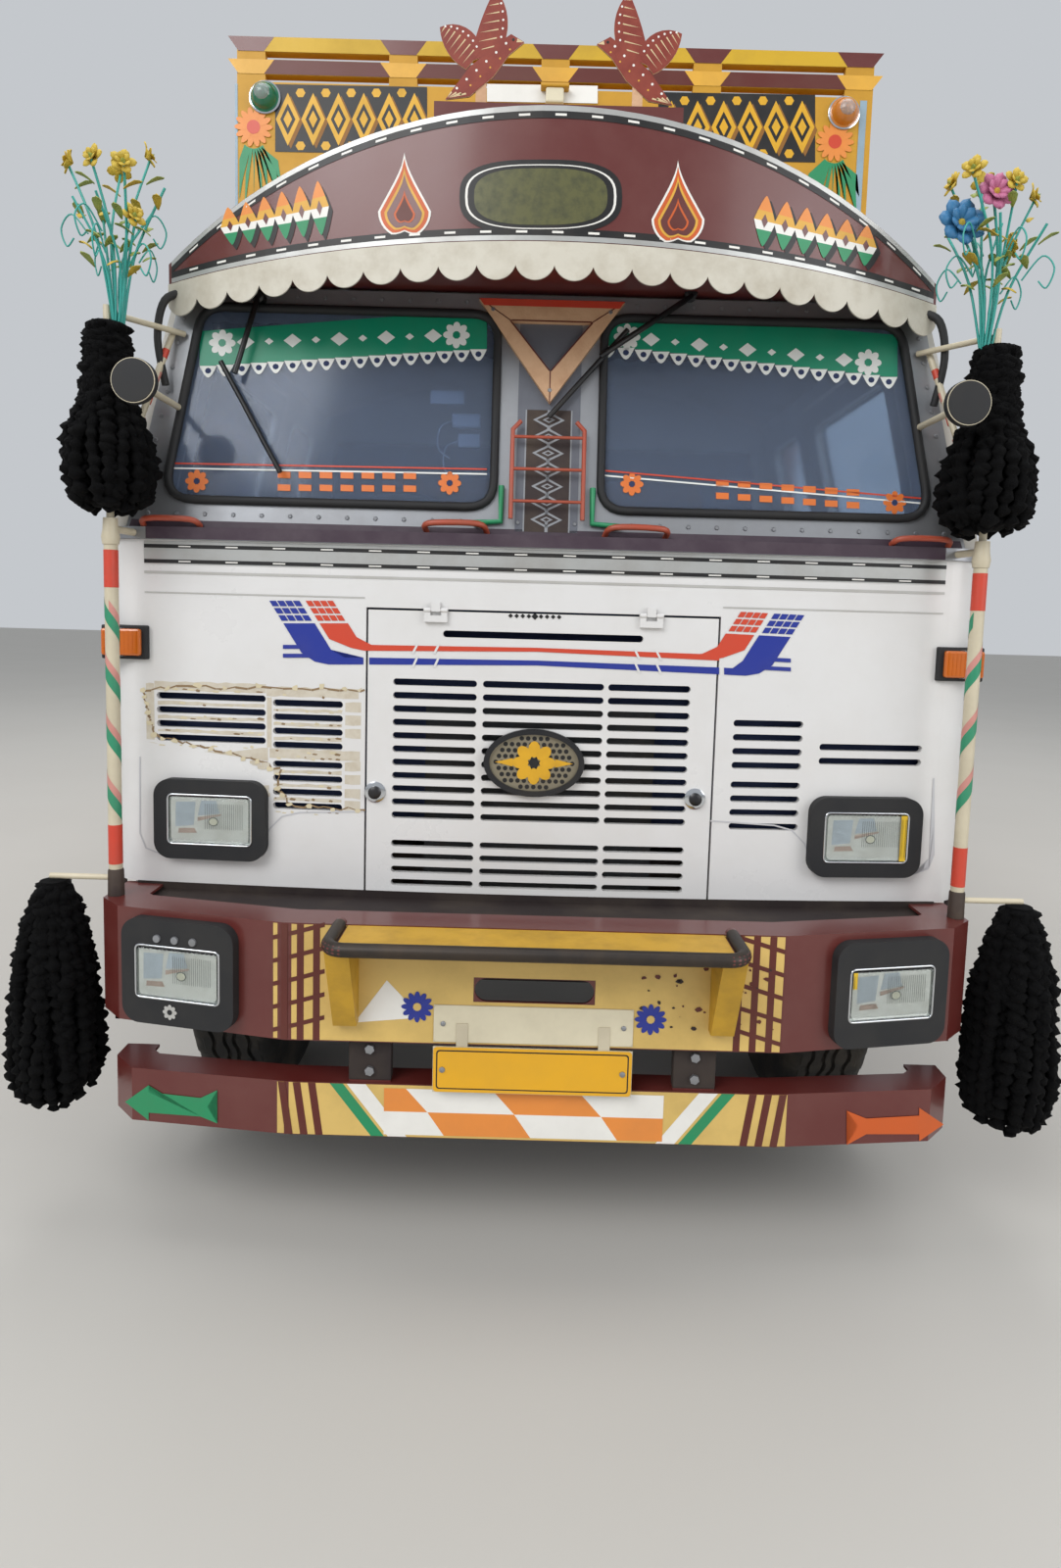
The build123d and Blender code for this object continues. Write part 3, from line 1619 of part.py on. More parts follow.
# Corner poles and mirror rods
ledge_corner = Vector(*corner_centre(-ledge_lip), 0)
brace_z = belt_height - ledge_thickness / 2
rod_brace_z = rod_top - 18
brace_share = (rod_brace_z - screen_low) / screen_height
brace_x = screen_half_low - (screen_half_low - screen_half_top) * brace_share - 40
brace_y = behind(screen_foot + screen_lean * brace_share) - 8.5
mirror_share = (mirror_z - screen_low) / screen_height
mirror_foot_y = behind(screen_foot + screen_lean * mirror_share) - 1.4
arm_y = mirror_foot_y - mirror_lead
with BuildPart() as mirror_brackets:
    for _, side in sides:
        foot = (side * pole_x, pole_y, bumper_top + seat_gap)
        tube(foot, (side * pole_x, pole_y, pole_top), pole_radius)
        tube((side * pole_x, pole_y, pole_top - 1), (side * pole_x, pole_y, rod_top), rod_radius)
        # A stay from the pole to the ledge, and one from the rod to the windscreen frame
        away = (Vector(pole_x, pole_y, 0) - ledge_corner).normalized()
        touch = ledge_corner + away * (corner_radius + ledge_lip + seat_gap)
        tube((side * pole_x, pole_y, brace_z), (side * touch.X, touch.Y, brace_z), rod_radius)
        tube(
            (side * pole_x, pole_y, rod_brace_z),
            (side * brace_x, brace_y + 2, rod_brace_z),
            rod_radius - 2,
        )
        # Hook for the lower tassel
        tube(
            (side * pole_x, pole_y, hook_z),
            (side * (low_tassel_x + 8), pole_y, hook_z),
            rod_radius - 2,
        )
        # Round mirror on an arm of its own
        tube(
            (side * mirror_x, arm_y - 6, mirror_z),
            (side * mirror_x, mirror_foot_y, mirror_z),
            9,
        )
        tube(
            (side * mirror_x, arm_y - 22, mirror_z),
            (side * mirror_x, arm_y, mirror_z),
            mirror_radius,
        )
write(mirror_brackets, "mirror_brackets")


def turned(x, outline):
    """Revolves an outline of (radius, z) about the upright line through x on the poles' row."""
    with BuildSketch(front_plane(pole_y)) as section:
        with Locations((x, 0)):
            Polygon(*outline, align=None)
    revolve(section.sketch, axis=Axis((x, pole_y, 0), (0, 0, 1)))


def tassel(x, hole, low, top, radius):
    """A hanging tuft, narrow at its neck and full towards its foot."""
    turned(
        x,
        [
            (hole, low),
            (radius * 0.8, low),
            (radius, low + 120),
            (radius * 0.85, top - 130),
            (tassel_neck, top),
            (hole, top),
        ],
    )


with BuildPart() as tassels:
    for _, side in sides:
        tassel(side * pole_x, rod_radius + seat_gap, pole_top + seat_gap, tassel_top, tassel_radius)
        hung_top = hook_z - rod_radius + 2 - seat_gap
        tassel(side * low_tassel_x, 0, low_tassel_low, hung_top, low_tassel_radius)
write(tassels, "tassels")

with BuildPart() as bouquets:
    for _, side in sides:
        low = rod_top + seat_gap
        turned(
            side * pole_x,
            [
                (0, low),
                (35, low),
                (bouquet_radius, low + bouquet_height * 0.56),
                (bouquet_radius * 0.9, low + bouquet_height * 0.84),
                (bouquet_radius * 0.35, low + bouquet_height),
                (0, low + bouquet_height),
            ],
        )
write(bouquets, "bouquets")


# Flat ornaments: two birds on the visor and a hanging triangle between the windscreens
bird_x = 195.0
bird_plate = 3.0
stem_half = 13.0
bird_y = behind(-visor_lead + visor_thickness + seat_gap) + bird_plate
bird_y += arc_drop(bird_x + stem_half, visor_half_width, visor_lead + visor_end_setback)
bird_foot = visor_peak - arc_drop(bird_x, visor_half_width, visor_peak - visor_end_top)
# Body from beak to tail: outwards from the stem, up from the body's middle
bird_body = ((-105, 42), (-72, 60), (-40, 38), (30, -20), (88, -96), (28, -88), (-30, -40), (-68, 12))
# Wings, each as its root, a point of its front edge, its tip, a point of its rear edge, its root
bird_wings = (
    ((-45, 20), (-62, 100), (-30, 165), (5, 85), (28, -5)),
    ((0, 22), (55, 78), (105, 72), (88, 20), (38, -24)),
)


def bird(side):
    """A bird in flight, cut from sheet, facing the middle of the truck, on a stem."""

    def at(point):
        return (side * (bird_x + point[0]), bird_foot + 130 + point[1])

    with BuildSketch(front_plane(bird_y)) as outline:
        Polygon(*[at(point) for point in bird_body], align=None)
        for root, bulge, tip, far_bulge, far_root in bird_wings:
            with BuildLine():
                ThreePointArc(at(root), at(bulge), at(tip))
                ThreePointArc(at(tip), at(far_bulge), at(far_root))
                Line(at(far_root), at(root))
            make_face()
        with Locations((side * bird_x, bird_foot + 20)):
            Rectangle(2 * stem_half, 160)
    extrude(outline.sketch, amount=bird_plate)


triangle_top = 2640.0
triangle_height = 290.0
triangle_half = 205.0
with BuildPart() as ornaments:
    for _, side in sides:
        bird(side)
    with BuildSketch(screen_plane.offset(seat_gap)):
        high = triangle_top - screen_low
        Polygon(
            (-triangle_half, high),
            (0, high - triangle_height),
            (triangle_half, high),
            align=None,
        )
        Polygon(
            (-triangle_half * 0.55, high - 62),
            (0, high - triangle_height * 0.69),
            (triangle_half * 0.55, high - 62),
            align=None,
            mode=Mode.SUBTRACT,
        )
    extrude(amount=18)
write(ornaments, "ornaments")


# Blank name board and number plate on the bumper
board_half = 260.0
with BuildPart() as number_boards:
    plate_y = behind(-bumper_lead) - seat_gap
    box_between((-board_half, plate_y, bumper_low + 8), (board_half, plate_y - 4, bumper_low + 108))
    box_between((-board_half, plate_y - 6, bumper_low - 126), (board_half, plate_y - 9, bumper_low - 2))
    for sign in (-1, 1):
        box_between(
            (sign * 170, plate_y - 3, bumper_low - 60),
            (sign * 200, plate_y - 7, bumper_low + 60),
        )
write(number_boards, "number_boards")


# Dashboard with its steering wheel
dash_front = behind(floor_front + firewall_thickness) + seat_gap
wheel_tilt = 55.0
with BuildPart() as dashboard:
    with BuildSketch(side_plane(-inner_low)):
        Polygon(
            (dash_front, dash_low),
            (dash_front, dash_top),
            (dash_front + dash_depth * 0.55, dash_top),
            (dash_front + dash_depth, dash_top - 110),
            (dash_front + dash_depth * 0.8, dash_low),
            align=None,
        )
    extrude(amount=2 * inner_low)
    column = Vector(0, sin(radians(wheel_tilt)), cos(radians(wheel_tilt)))
    column_foot = Vector(driver_x, dash_front + dash_depth * 0.8, dash_top - 120)
    column_head = column_foot + column * 330
    tube(tuple(column_foot - column * 40), tuple(column_head), 24)
    with BuildSketch(Plane(origin=column_head, x_dir=(1, 0, 0), z_dir=column).offset(-12)):
        Circle(steering_radius)
        Circle(steering_radius - 30, mode=Mode.SUBTRACT)
        with PolarLocations(steering_radius / 2 - 8, 3, start_angle=90):
            Rectangle(steering_radius - 16, 34)
    extrude(amount=24)
write(dashboard, "dashboard")


# Driver's and passenger's seats
with BuildPart() as seats:
    for seat_x in (driver_x, -driver_x):
        box_between(
            (seat_x - seat_width / 2, behind(seat_front), seat_low),
            (seat_x + seat_width / 2, behind(seat_front + seat_depth), seat_low + seat_cushion),
        )
        back_y = behind(seat_front + seat_depth)
        box_between(
            (seat_x - seat_width / 2 + 15, back_y - 120, seat_low + seat_cushion - 1),
            (seat_x + seat_width / 2 - 15, back_y, seat_low + seat_cushion + seat_back_height),
        )
write(seats, "seats")
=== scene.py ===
"""Finishes, painted bands, tassels, flowers, lamps, tyre treads, floor and light of the truck.

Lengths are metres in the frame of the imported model: the truck faces -Y, +Z is up and the driver
sits on the -X side. Colours are written as they look on a screen and turned to linear ones.
"""

import random
from math import atan2, cos, pi, radians, sin, sqrt, tan

import bmesh
import bpy
from mathutils import Matrix, Vector


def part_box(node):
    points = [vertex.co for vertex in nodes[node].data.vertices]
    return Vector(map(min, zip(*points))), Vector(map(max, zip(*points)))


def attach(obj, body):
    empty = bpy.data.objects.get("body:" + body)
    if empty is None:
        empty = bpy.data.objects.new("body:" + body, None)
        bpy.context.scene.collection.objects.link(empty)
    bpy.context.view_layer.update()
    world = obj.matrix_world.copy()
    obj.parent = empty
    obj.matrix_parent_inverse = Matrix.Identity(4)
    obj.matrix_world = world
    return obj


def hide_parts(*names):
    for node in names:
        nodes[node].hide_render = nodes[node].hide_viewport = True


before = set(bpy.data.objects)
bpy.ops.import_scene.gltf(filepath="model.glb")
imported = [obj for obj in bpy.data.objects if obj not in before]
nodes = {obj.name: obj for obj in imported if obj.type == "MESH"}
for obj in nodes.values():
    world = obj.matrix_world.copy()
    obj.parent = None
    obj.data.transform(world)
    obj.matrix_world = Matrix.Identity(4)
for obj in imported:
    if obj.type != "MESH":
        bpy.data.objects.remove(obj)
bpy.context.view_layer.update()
scene = bpy.context.scene
rng = random.Random(7)

# The cab's foremost line, and the photo's camera
FACE = -4.4985
EYE = Vector((-0.03, FACE - 2.605, 1.75))
PITCH = radians(5.5)
ROLL = radians(1.55)
PHOTO = (1083, 1600)
FOCAL_PX = 950.0
MIDDLE_PX = (541.5, 721.5)
SENSOR = 36.0

# Camera
camera_data = bpy.data.cameras.new("photo_camera")
camera = bpy.data.objects.new("photo_camera", camera_data)
scene.collection.objects.link(camera)
camera_data.sensor_fit = "AUTO"
camera_data.sensor_width = SENSOR
camera_data.lens = FOCAL_PX / PHOTO[1] * SENSOR
camera_data.shift_x = 0.0
camera_data.shift_y = (MIDDLE_PX[1] - PHOTO[1] / 2) / PHOTO[1]
camera_data.clip_start = 0.05
camera_data.clip_end = 200.0
turn = Matrix.Rotation(pi / 2 - PITCH, 4, "X")
camera.matrix_world = Matrix.Translation(EYE) @ turn @ Matrix.Rotation(ROLL, 4, "Z")
scene.camera = camera
scene.view_settings.view_transform = "Standard"


# Colours and materials
def linear(code):
    """A screen colour such as "#a02030" as linear red, green, blue and one."""
    parts = [int(code[i : i + 2], 16) / 255 for i in (1, 3, 5)]
    return [c / 12.92 if c <= 0.04045 else ((c + 0.055) / 1.055) ** 2.4 for c in parts] + [1.0]


def shader_node(tree, kind, **values):
    """A new shader node; From_Min=0.4 sets its input From Min."""
    node = tree.nodes.new(f"ShaderNode{kind}")
    for key, value in values.items():
        node.inputs[key.replace("_", " ")].default_value = value
    return node


def blend(tree, factor, low, high):
    """A colour between two, each of them a screen colour or a socket."""
    mix = tree.nodes.new("ShaderNodeMix")
    mix.data_type = "RGBA"
    for slot, colour in ((6, low), (7, high)):
        if isinstance(colour, str):
            mix.inputs[slot].default_value = linear(colour)
        else:
            tree.links.new(colour, mix.inputs[slot])
    tree.links.new(factor, mix.inputs["Factor"])
    return mix.outputs[2]


def finish(name, colour, rough=0.45, metal=0.0, grime=0.25, dirt="#6b5b48", coat=0.0, scale=6.0,
           bump=0.0, bump_scale=60.0, wear=None, wear_amount=0.0):
    """A surface with a colour, patches of grime, uneven gloss and, if asked, worn spots and bumps."""
    mat = bpy.data.materials.new(name)
    mat.use_nodes = True
    tree = mat.node_tree
    shader = tree.nodes["Principled BSDF"]
    shader.inputs["Metallic"].default_value = metal
    shader.inputs["Coat Weight"].default_value = coat
    shader.inputs["Coat Roughness"].default_value = 0.15
    place = shader_node(tree, "TexCoord").outputs["Object"]

    def noise(**values):
        node = shader_node(tree, "TexNoise", **values)
        tree.links.new(place, node.inputs["Vector"])
        return node.outputs["Fac"]

    def spread(source, **values):
        node = shader_node(tree, "MapRange", **values)
        tree.links.new(source, node.inputs["Value"])
        return node.outputs["Result"]

    patches = noise(Scale=scale, Detail=6.0, Roughness=0.62)
    last = blend(tree, spread(patches, From_Min=0.42, From_Max=0.75, To_Max=grime), colour, dirt)
    if wear:
        spots = noise(Scale=scale * 4, Detail=8.0, Roughness=0.7)
        edge = spread(spots, From_Min=0.70 - wear_amount, From_Max=0.715 - wear_amount)
        last = blend(tree, edge, last, wear)
    tree.links.new(last, shader.inputs["Base Color"])
    gloss = spread(patches, To_Min=max(0.03, rough - 0.1), To_Max=min(1.0, rough + 0.15))
    tree.links.new(gloss, shader.inputs["Roughness"])
    if bump:
        relief = shader_node(tree, "Bump", Strength=bump, Distance=0.004)
        tree.links.new(noise(Scale=bump_scale, Detail=4.0), relief.inputs["Height"])
        tree.links.new(relief.outputs["Normal"], shader.inputs["Normal"])
    return mat


def boards(name, colours, axis, width, rough=0.6, dirt="#4a3018"):
    """Boards side by side along an axis, each a little different, with dark joints and long grain."""
    mat = finish(name, colours[0], rough=rough, grime=0.35, dirt=dirt, scale=2.5, bump=0.2, bump_scale=30)
    tree = mat.node_tree
    colour = tree.nodes["Principled BSDF"].inputs["Base Color"]
    base = colour.links[0].from_socket
    split = shader_node(tree, "SeparateXYZ")
    tree.links.new(shader_node(tree, "TexCoord").outputs["Object"], split.inputs["Vector"])

    def maths(operation, source, number=None):
        node = shader_node(tree, "Math")
        node.operation = operation
        if number is not None:
            node.inputs[1].default_value = number
        tree.links.new(source, node.inputs[0])
        return node.outputs[0]

    share = maths("DIVIDE", split.outputs[axis], width)
    dice = shader_node(tree, "TexWhiteNoise")
    dice.noise_dimensions = "1D"
    tree.links.new(maths("FLOOR", share), dice.inputs["W"])
    tint = blend(tree, maths("MULTIPLY", dice.outputs["Value"], 0.7), base, colours[1])
    joint = maths("LESS_THAN", maths("FRACT", share), 0.035)
    tree.links.new(blend(tree, joint, tint, "#24160d"), colour)
    return mat


def clear(name, colour, rough=0.02, weight=1.0):
    """A see-through surface."""
    mat = finish(name, colour, rough=rough, grime=0.03)
    inputs = mat.node_tree.nodes["Principled BSDF"].inputs
    inputs["Transmission Weight"].default_value = weight
    inputs["IOR"].default_value = 1.3
    return mat


def paint_node(name, mat):
    """Gives a CAD node this material on all its slots."""
    node = nodes[name]
    node.data.materials.clear()
    node.data.materials.append(mat)


WHITE = finish("white_paint", "#dad9d8", rough=0.28, coat=0.35, grime=0.16, dirt="#a59a88", scale=3.0)
WHITE_SIDE = finish("white_side_paint", "#c9c5bd", rough=0.35, grime=0.3, dirt="#9a8b74", scale=2.5)
MAROON = finish("maroon_paint", "#5e2420", rough=0.33, coat=0.3, grime=0.2, dirt="#7a5048")
OCHRE = finish("ochre_board", "#c4911d", rough=0.5, grime=0.3, dirt="#7a5614", scale=4.0)
CARRIER_RAIL = finish("carrier_rail", "#c9a21c", rough=0.45, grime=0.3, dirt="#80641c")
DARK = finish("dark_chassis", "#2b1d1c", rough=0.6, grime=0.5, dirt="#6a5c4a", scale=5.0)
IRON = finish("engine_iron", "#3a3d40", rough=0.6, metal=0.3, grime=0.6, dirt="#4a3d2e")
STEEL = finish("frame_steel", "#9a9ca0", rough=0.38, metal=0.75, grime=0.3, dirt="#6d6a66")
GREY = finish("tank_grey", "#77746e", rough=0.45, metal=0.4, grime=0.4)
RUBBER = finish("tyre_rubber", "#1d1c1c", rough=0.8, grime=0.45, dirt="#6a6052", bump=0.25)
BLACK_RUBBER = finish("black_rubber", "#17181b", rough=0.65, grime=0.2, dirt="#4a4640")
RIM_RED = finish("rim_red", "#8a1c17", rough=0.5, grime=0.5, dirt="#6b5b48", scale=9.0)
CREAM_CLOTH = finish("fringe_sheet", "#c9c4b6", rough=0.5, grime=0.4, dirt="#8f8166", scale=14, bump=0.15)
# The cab's inside: a blue, made dark as a painted shade of the cab's inside; the same colour marks holes in
# the glass decals, where the shaded cab shows through
INSIDE_SHADE = finish("inside_blue_shade", "#26345c", rough=0.7, grime=0.2, dirt="#0f141f")
VINYL = finish("seat_vinyl", "#4a1a18", rough=0.5, grime=0.2, bump=0.3)
DASH = finish("dash_dark", "#1a1c22", rough=0.6, grime=0.2)
GLASS = clear("windscreen_glass", "#b4c6e4", weight=0.88)
BODY_WOOD = boards("load_boards", ("#7d3f1a", "#8f4a22"), "Z", 0.155)
BODY_RIB = finish("load_ribs", "#a8781c", rough=0.55, grime=0.35)
DECK_WOOD = boards("deck_boards", ("#6b4f33", "#7d6244"), "X", 0.20, 0.8, "#8a7452")
BLACK_YARN = finish("black_yarn", "#0c0c0e", rough=0.95, grime=0.05, dirt="#2a2620")
LENS = clear("lamp_lens", "#e8ecec", rough=0.05, weight=0.75)
POLE_CREAM = finish("pole_cream", "#c9bfa6", rough=0.4, grime=0.25)
BIRD_BROWN = finish("bird_brown", "#6b2f1a", rough=0.5, grime=0.2)
ROOF = finish("roof_white", "#b9b4aa", rough=0.45, grime=0.4, dirt="#8a7c66")

node_finish = {
    "front_axles": DARK, "rear_axle_housings": DARK, "leaf_springs": DARK, "chassis_frame": DARK,
    "engine": IRON, "propeller_shafts": DARK, "fuel_tank": GREY, "battery_and_air_tanks": GREY,
    "front_bumper": MAROON, "low_bars": MAROON, "cab_front": WHITE, "grille_flap": WHITE,
    "windscreen_frame": STEEL, "windscreens": GLASS, "cab_sides": WHITE_SIDE, "door_left": WHITE_SIDE,
    "door_right": WHITE_SIDE, "cab_back": WHITE_SIDE, "cab_floor": INSIDE_SHADE, "cab_roof": ROOF,
    "visor": MAROON, "visor_fringe": CREAM_CLOTH, "roof_carrier": OCHRE, "load_deck": DECK_WOOD,
    "load_sides": BODY_WOOD, "load_ends": BODY_WOOD, "tailboard": BODY_RIB,
    "rear_door_left": BODY_RIB, "rear_door_right": BODY_RIB, "mudguards": DARK, "cab_steps": DARK,
    "lamp_bezels": BLACK_RUBBER, "lamps": LENS, "mirror_brackets": POLE_CREAM,
    "tassels": BLACK_YARN, "bouquets": BIRD_BROWN, "ornaments": BIRD_BROWN,
    "number_boards": POLE_CREAM, "dashboard": DASH, "seats": VINYL,
}
for name in nodes:
    if name.startswith("tyre"):
        paint_node(name, RUBBER)
    elif name.startswith("rim"):
        paint_node(name, RIM_RED)
    elif name.startswith("knuckle"):
        paint_node(name, DARK)
    else:
        paint_node(name, node_finish[name])


def add_object(name, data, body=None):
    """A new object in the scene, on a body if one is named."""
    obj = bpy.data.objects.new(name, data)
    scene.collection.objects.link(obj)
    if body:
        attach(obj, body)
    return obj


def mesh_object(name, vertices, faces, mat, smooth=False, body=None):
    """A mesh object from corners and faces, in the shared frame."""
    mesh = bpy.data.meshes.new(name)
    mesh.from_pydata([tuple(v) for v in vertices], [], faces)
    mesh.validate()
    mesh.materials.append(mat)
    mesh.polygons.foreach_set("use_smooth", [smooth] * len(mesh.polygons))
    return add_object(name, mesh, body)


def from_bmesh(name, bm, mats, smooth=False, body=None):
    """A mesh object from a bmesh, which is used up."""
    mesh = bpy.data.meshes.new(name)
    bm.to_mesh(mesh)
    bm.free()
    for mat in mats:
        mesh.materials.append(mat)
    if smooth:
        mesh.polygons.foreach_set("use_smooth", [True] * len(mesh.polygons))
    return add_object(name, mesh, body)


def rectangle(a0, b0, a1, b1):
    return [(a0, b0), (a1, b0), (a1, b1), (a0, b1)]


def lozenge(a, b, half_a, half_b):
    return [(a - half_a, b), (a, b - half_b), (a + half_a, b), (a, b + half_b)]


# Surfaces that carry painted bands: the y of each at a given x and z. An arc is half a width and a bow.
PANEL_ARC = (1.25, 0.055)
VISOR_HALF = 1.07
SCREEN_FOOT, SCREEN_RISE, SCREEN_LEAN, SCREEN_BACK = 1.9693, 0.6857, 0.08, 0.045
LAYER = 0.0004


def arc_drop(x, half, rise):
    radius = (half * half + rise * rise) / (2 * rise)
    x = min(abs(x), half)
    return radius - sqrt(radius * radius - x * x)


def face_at(x, z):
    return FACE + arc_drop(x, *PANEL_ARC)


def visor_at(x, z):
    return FACE - 0.185 + arc_drop(x, VISOR_HALF, 0.275)


def bumper_at(x, z):
    return FACE - 0.27 + 0.1 * max(0, abs(x) - 0.65) / 0.475


def low_bar_at(x, z):
    return FACE - 0.25 + 0.05 * max(0, abs(x) - 0.65) / 0.43


def carrier_at(x, z):
    return FACE + 1.24


def screen_at(x, z):
    return FACE + SCREEN_BACK + SCREEN_LEAN * (z - SCREEN_FOOT) / SCREEN_RISE


def glass_at(x, z):
    return screen_at(x, z) + 0.0058


EYE_TURN = camera.matrix_world.to_3x3()


def seen(u, v, surface):
    """The x and z where the photo's pixel (u, v) meets a surface."""
    ray = EYE_TURN @ Vector(((u - MIDDLE_PX[0]) / FOCAL_PX, (MIDDLE_PX[1] - v) / FOCAL_PX, -1))
    y = surface(0, 1.7)
    for _ in range(8):
        spot = EYE + ray * ((y - EYE.y) / ray.y)
        y = surface(spot.x, spot.z)
    return spot.x, spot.z


def painted(name, surface, shapes, lift=0.0012, body="truck", pitch=0.06):
    """Thin painted shapes on a surface: (material, layer, outline of (x, z)), bent to follow it."""
    bm = bmesh.new()
    mats = []
    for mat, layer, outline in shapes:
        if mat not in mats:
            mats.append(mat)
        start = len(bm.faces)
        verts = [bm.verts.new((x, -layer, z)) for x, z in outline]
        face = bm.faces.new(verts)
        face.material_index = mats.index(mat)
    bmesh.ops.triangulate(bm, faces=bm.faces[:])
    low = min(v.co.x for v in bm.verts)
    high = max(v.co.x for v in bm.verts)
    steps = int((high - low) / pitch)
    for i in range(1, steps + 1):
        cut = low + i * pitch
        bmesh.ops.bisect_plane(
            bm, geom=bm.verts[:] + bm.edges[:] + bm.faces[:], plane_co=(cut, 0, 0), plane_no=(1, 0, 0)
        )
    for v in bm.verts:
        layer = -v.co.y
        v.co.y = surface(v.co.x, v.co.z) - lift - layer * LAYER
    for face in bm.faces:
        face.normal_update()
        if face.normal.y > 0:
            face.normal_flip()
    return from_bmesh(name, bm, mats, body=body)


def outline_of(points, surface):
    """Photo pixels as an outline on a surface."""
    return [seen(u, v, surface) for u, v in points]


def oval(middle, size, count=40):
    """An ellipse's outline."""
    step = 2 * pi / count
    return [(middle[0] + size[0] * cos(i * step), middle[1] + size[1] * sin(i * step)) for i in range(count)]


def flower(middle, radius, petals, mat, core, layer, inner=0.35):
    """A painted flower of rounded petals round a core."""
    shapes = []
    for i in range(petals):
        a = 2 * pi * i / petals
        tip = (middle[0] + radius * 0.62 * cos(a), middle[1] + radius * 0.62 * sin(a))
        long_way = radius * 0.38
        wide_way = radius * 2.2 / petals
        ring = []
        for k in range(12):
            b = 2 * pi * k / 12
            du, dv = long_way * cos(b), wide_way * sin(b)
            ring.append((tip[0] + du * cos(a) - dv * sin(a), tip[1] + du * sin(a) + dv * cos(a)))
        shapes.append((mat, layer + i % 2, ring))
    shapes.append((core, layer + 2, oval(middle, (radius * inner, radius * inner), 20)))
    return shapes


def dashes(edge, width, long_way, gap, mat, ground, layer, count_from, count_to):
    """A band with dashes, of this width, below an edge z = edge(x)."""
    def piece(x0, x1, top, foot):
        return [(x0, edge(x0) + top), (x1, edge(x1) + top), (x1, edge(x1) + foot), (x0, edge(x0) + foot)]

    shapes = []
    x = count_from
    while x < count_to - 1e-6:
        nxt = min(x + 0.06, count_to)
        shapes.append((ground, layer, piece(x, nxt, 0, -width)))
        x = nxt
    x = count_from + gap
    while x + long_way < count_to:
        shapes.append((mat, layer + 1, piece(x, x + long_way, -width * 0.34, -width * 0.66)))
        x += long_way + gap
    return shapes


BLACK = finish("black_paint", "#0f0f11", rough=0.4, grime=0.1)
CHALK = finish("white_line", "#e8e6e0", rough=0.4, grime=0.12)
ORANGE = finish("orange_paint", "#c8581c", rough=0.4, grime=0.15)
BRIGHT_ORANGE = finish("bright_orange", "#e28a3c", rough=0.4, grime=0.15)
RED = finish("red_decal", "#c9432a", rough=0.35, grime=0.08)
BLUE = finish("blue_decal", "#1c2f8f", rough=0.35, grime=0.08)
GREEN = finish("green_paint", "#1d8a5a", rough=0.4, grime=0.15)
TEAL = finish("screen_band", "#0f8a68", rough=0.35, grime=0.08)
YELLOW = finish("yellow_paint", "#dba63a", rough=0.4, grime=0.3, dirt="#8a6a2a")
BUMPER_YELLOW = finish("bumper_yellow", "#d6b568", rough=0.42, grime=0.35, dirt="#8a6f3a",
                       wear="#5a4030", wear_amount=-0.02)
CREAM = finish("cream_paint", "#d8cfb4", rough=0.45, grime=0.2)
BROWN = finish("brown_band", "#5a2018", rough=0.4, grime=0.15)
OLIVE = finish("olive_gold", "#5a5a35", rough=0.35, grime=0.7, dirt="#232a1c", scale=40.0)
PLATE = finish("plate_yellow", "#e2a81c", rough=0.4, grime=0.12)
GOLD = finish("sign_yellow", "#d9a520", rough=0.4, grime=0.25, dirt="#7a5a14", scale=12)
SIGN_SHADE = finish("sign_shade", "#8a5a10", rough=0.5, grime=0.2)
SKY = finish("pale_blue", "#8fa6b4", rough=0.4, grime=0.25)
# A grey a little darker than the white paint: painted shade along the panel's creases, also a thin line under
# the beading and a mark on a lamp surround
FAINT = finish("faint_line", "#b3b2ae", rough=0.4, grime=0.25)
TRIM = finish("trim_metal", "#b7b8b6", rough=0.35, metal=0.5, grime=0.3)


# Visor: beading along both edges, two rows of lozenges, two drop shapes and an oval panel
def visor_top(x):
    return 3.005 - arc_drop(x, VISOR_HALF, 0.305)


def visor_foot(x):
    return 2.667 - arc_drop(x, VISOR_HALF, 0.037)


def lozenge_row(corners, count, shadow):
    """A row of lozenges in four colours with a shadow, in a four-cornered field of photo pixels."""
    (ax, ay), (bx, by), (cx, cy), (dx, dy) = corners
    shapes = []
    for i in range(count):
        start, end = i / count + 0.015, (i + 1) / count + 0.01

        def at(f, g, du=0, dv=0):
            top = (ax + (bx - ax) * f, ay + (by - ay) * f)
            foot = (dx + (cx - dx) * f, dy + (cy - dy) * f)
            return (top[0] + (foot[0] - top[0]) * g + du, top[1] + (foot[1] - top[1]) * g + dv)

        def half_width(g):
            return (end - start) * 0.52 * (1 - abs(2 * g - 1)) ** 0.8 + 0.004

        middle = (start + end) / 2
        for layer, mat, g0, g1, shift in (
            (0, BLACK, 0.0, 1.0, shadow), (1, BRIGHT_ORANGE, 0.0, 0.3, (0, 0)), (1, YELLOW, 0.3, 0.5, (0, 0)),
            (1, CHALK, 0.5, 0.68, (0, 0)), (1, GREEN, 0.68, 1.0, (0, 0)), (2, MAROON, 0.36, 0.64, (0, 0)),
        ):
            levels = [g0 + (g1 - g0) * k / 6 for k in range(7)]
            if layer == 2:
                core = (end - start) * 0.16
                right = [at(middle, g0), at(middle + core, 0.5)]
                left = [at(middle, g1), at(middle - core, 0.5)]
            else:
                right = [at(middle + half_width(g), g, *shift) for g in levels]
                left = [at(middle - half_width(g), g, *shift) for g in reversed(levels)]
            shapes.append((mat, layer, right + left))
    return shapes


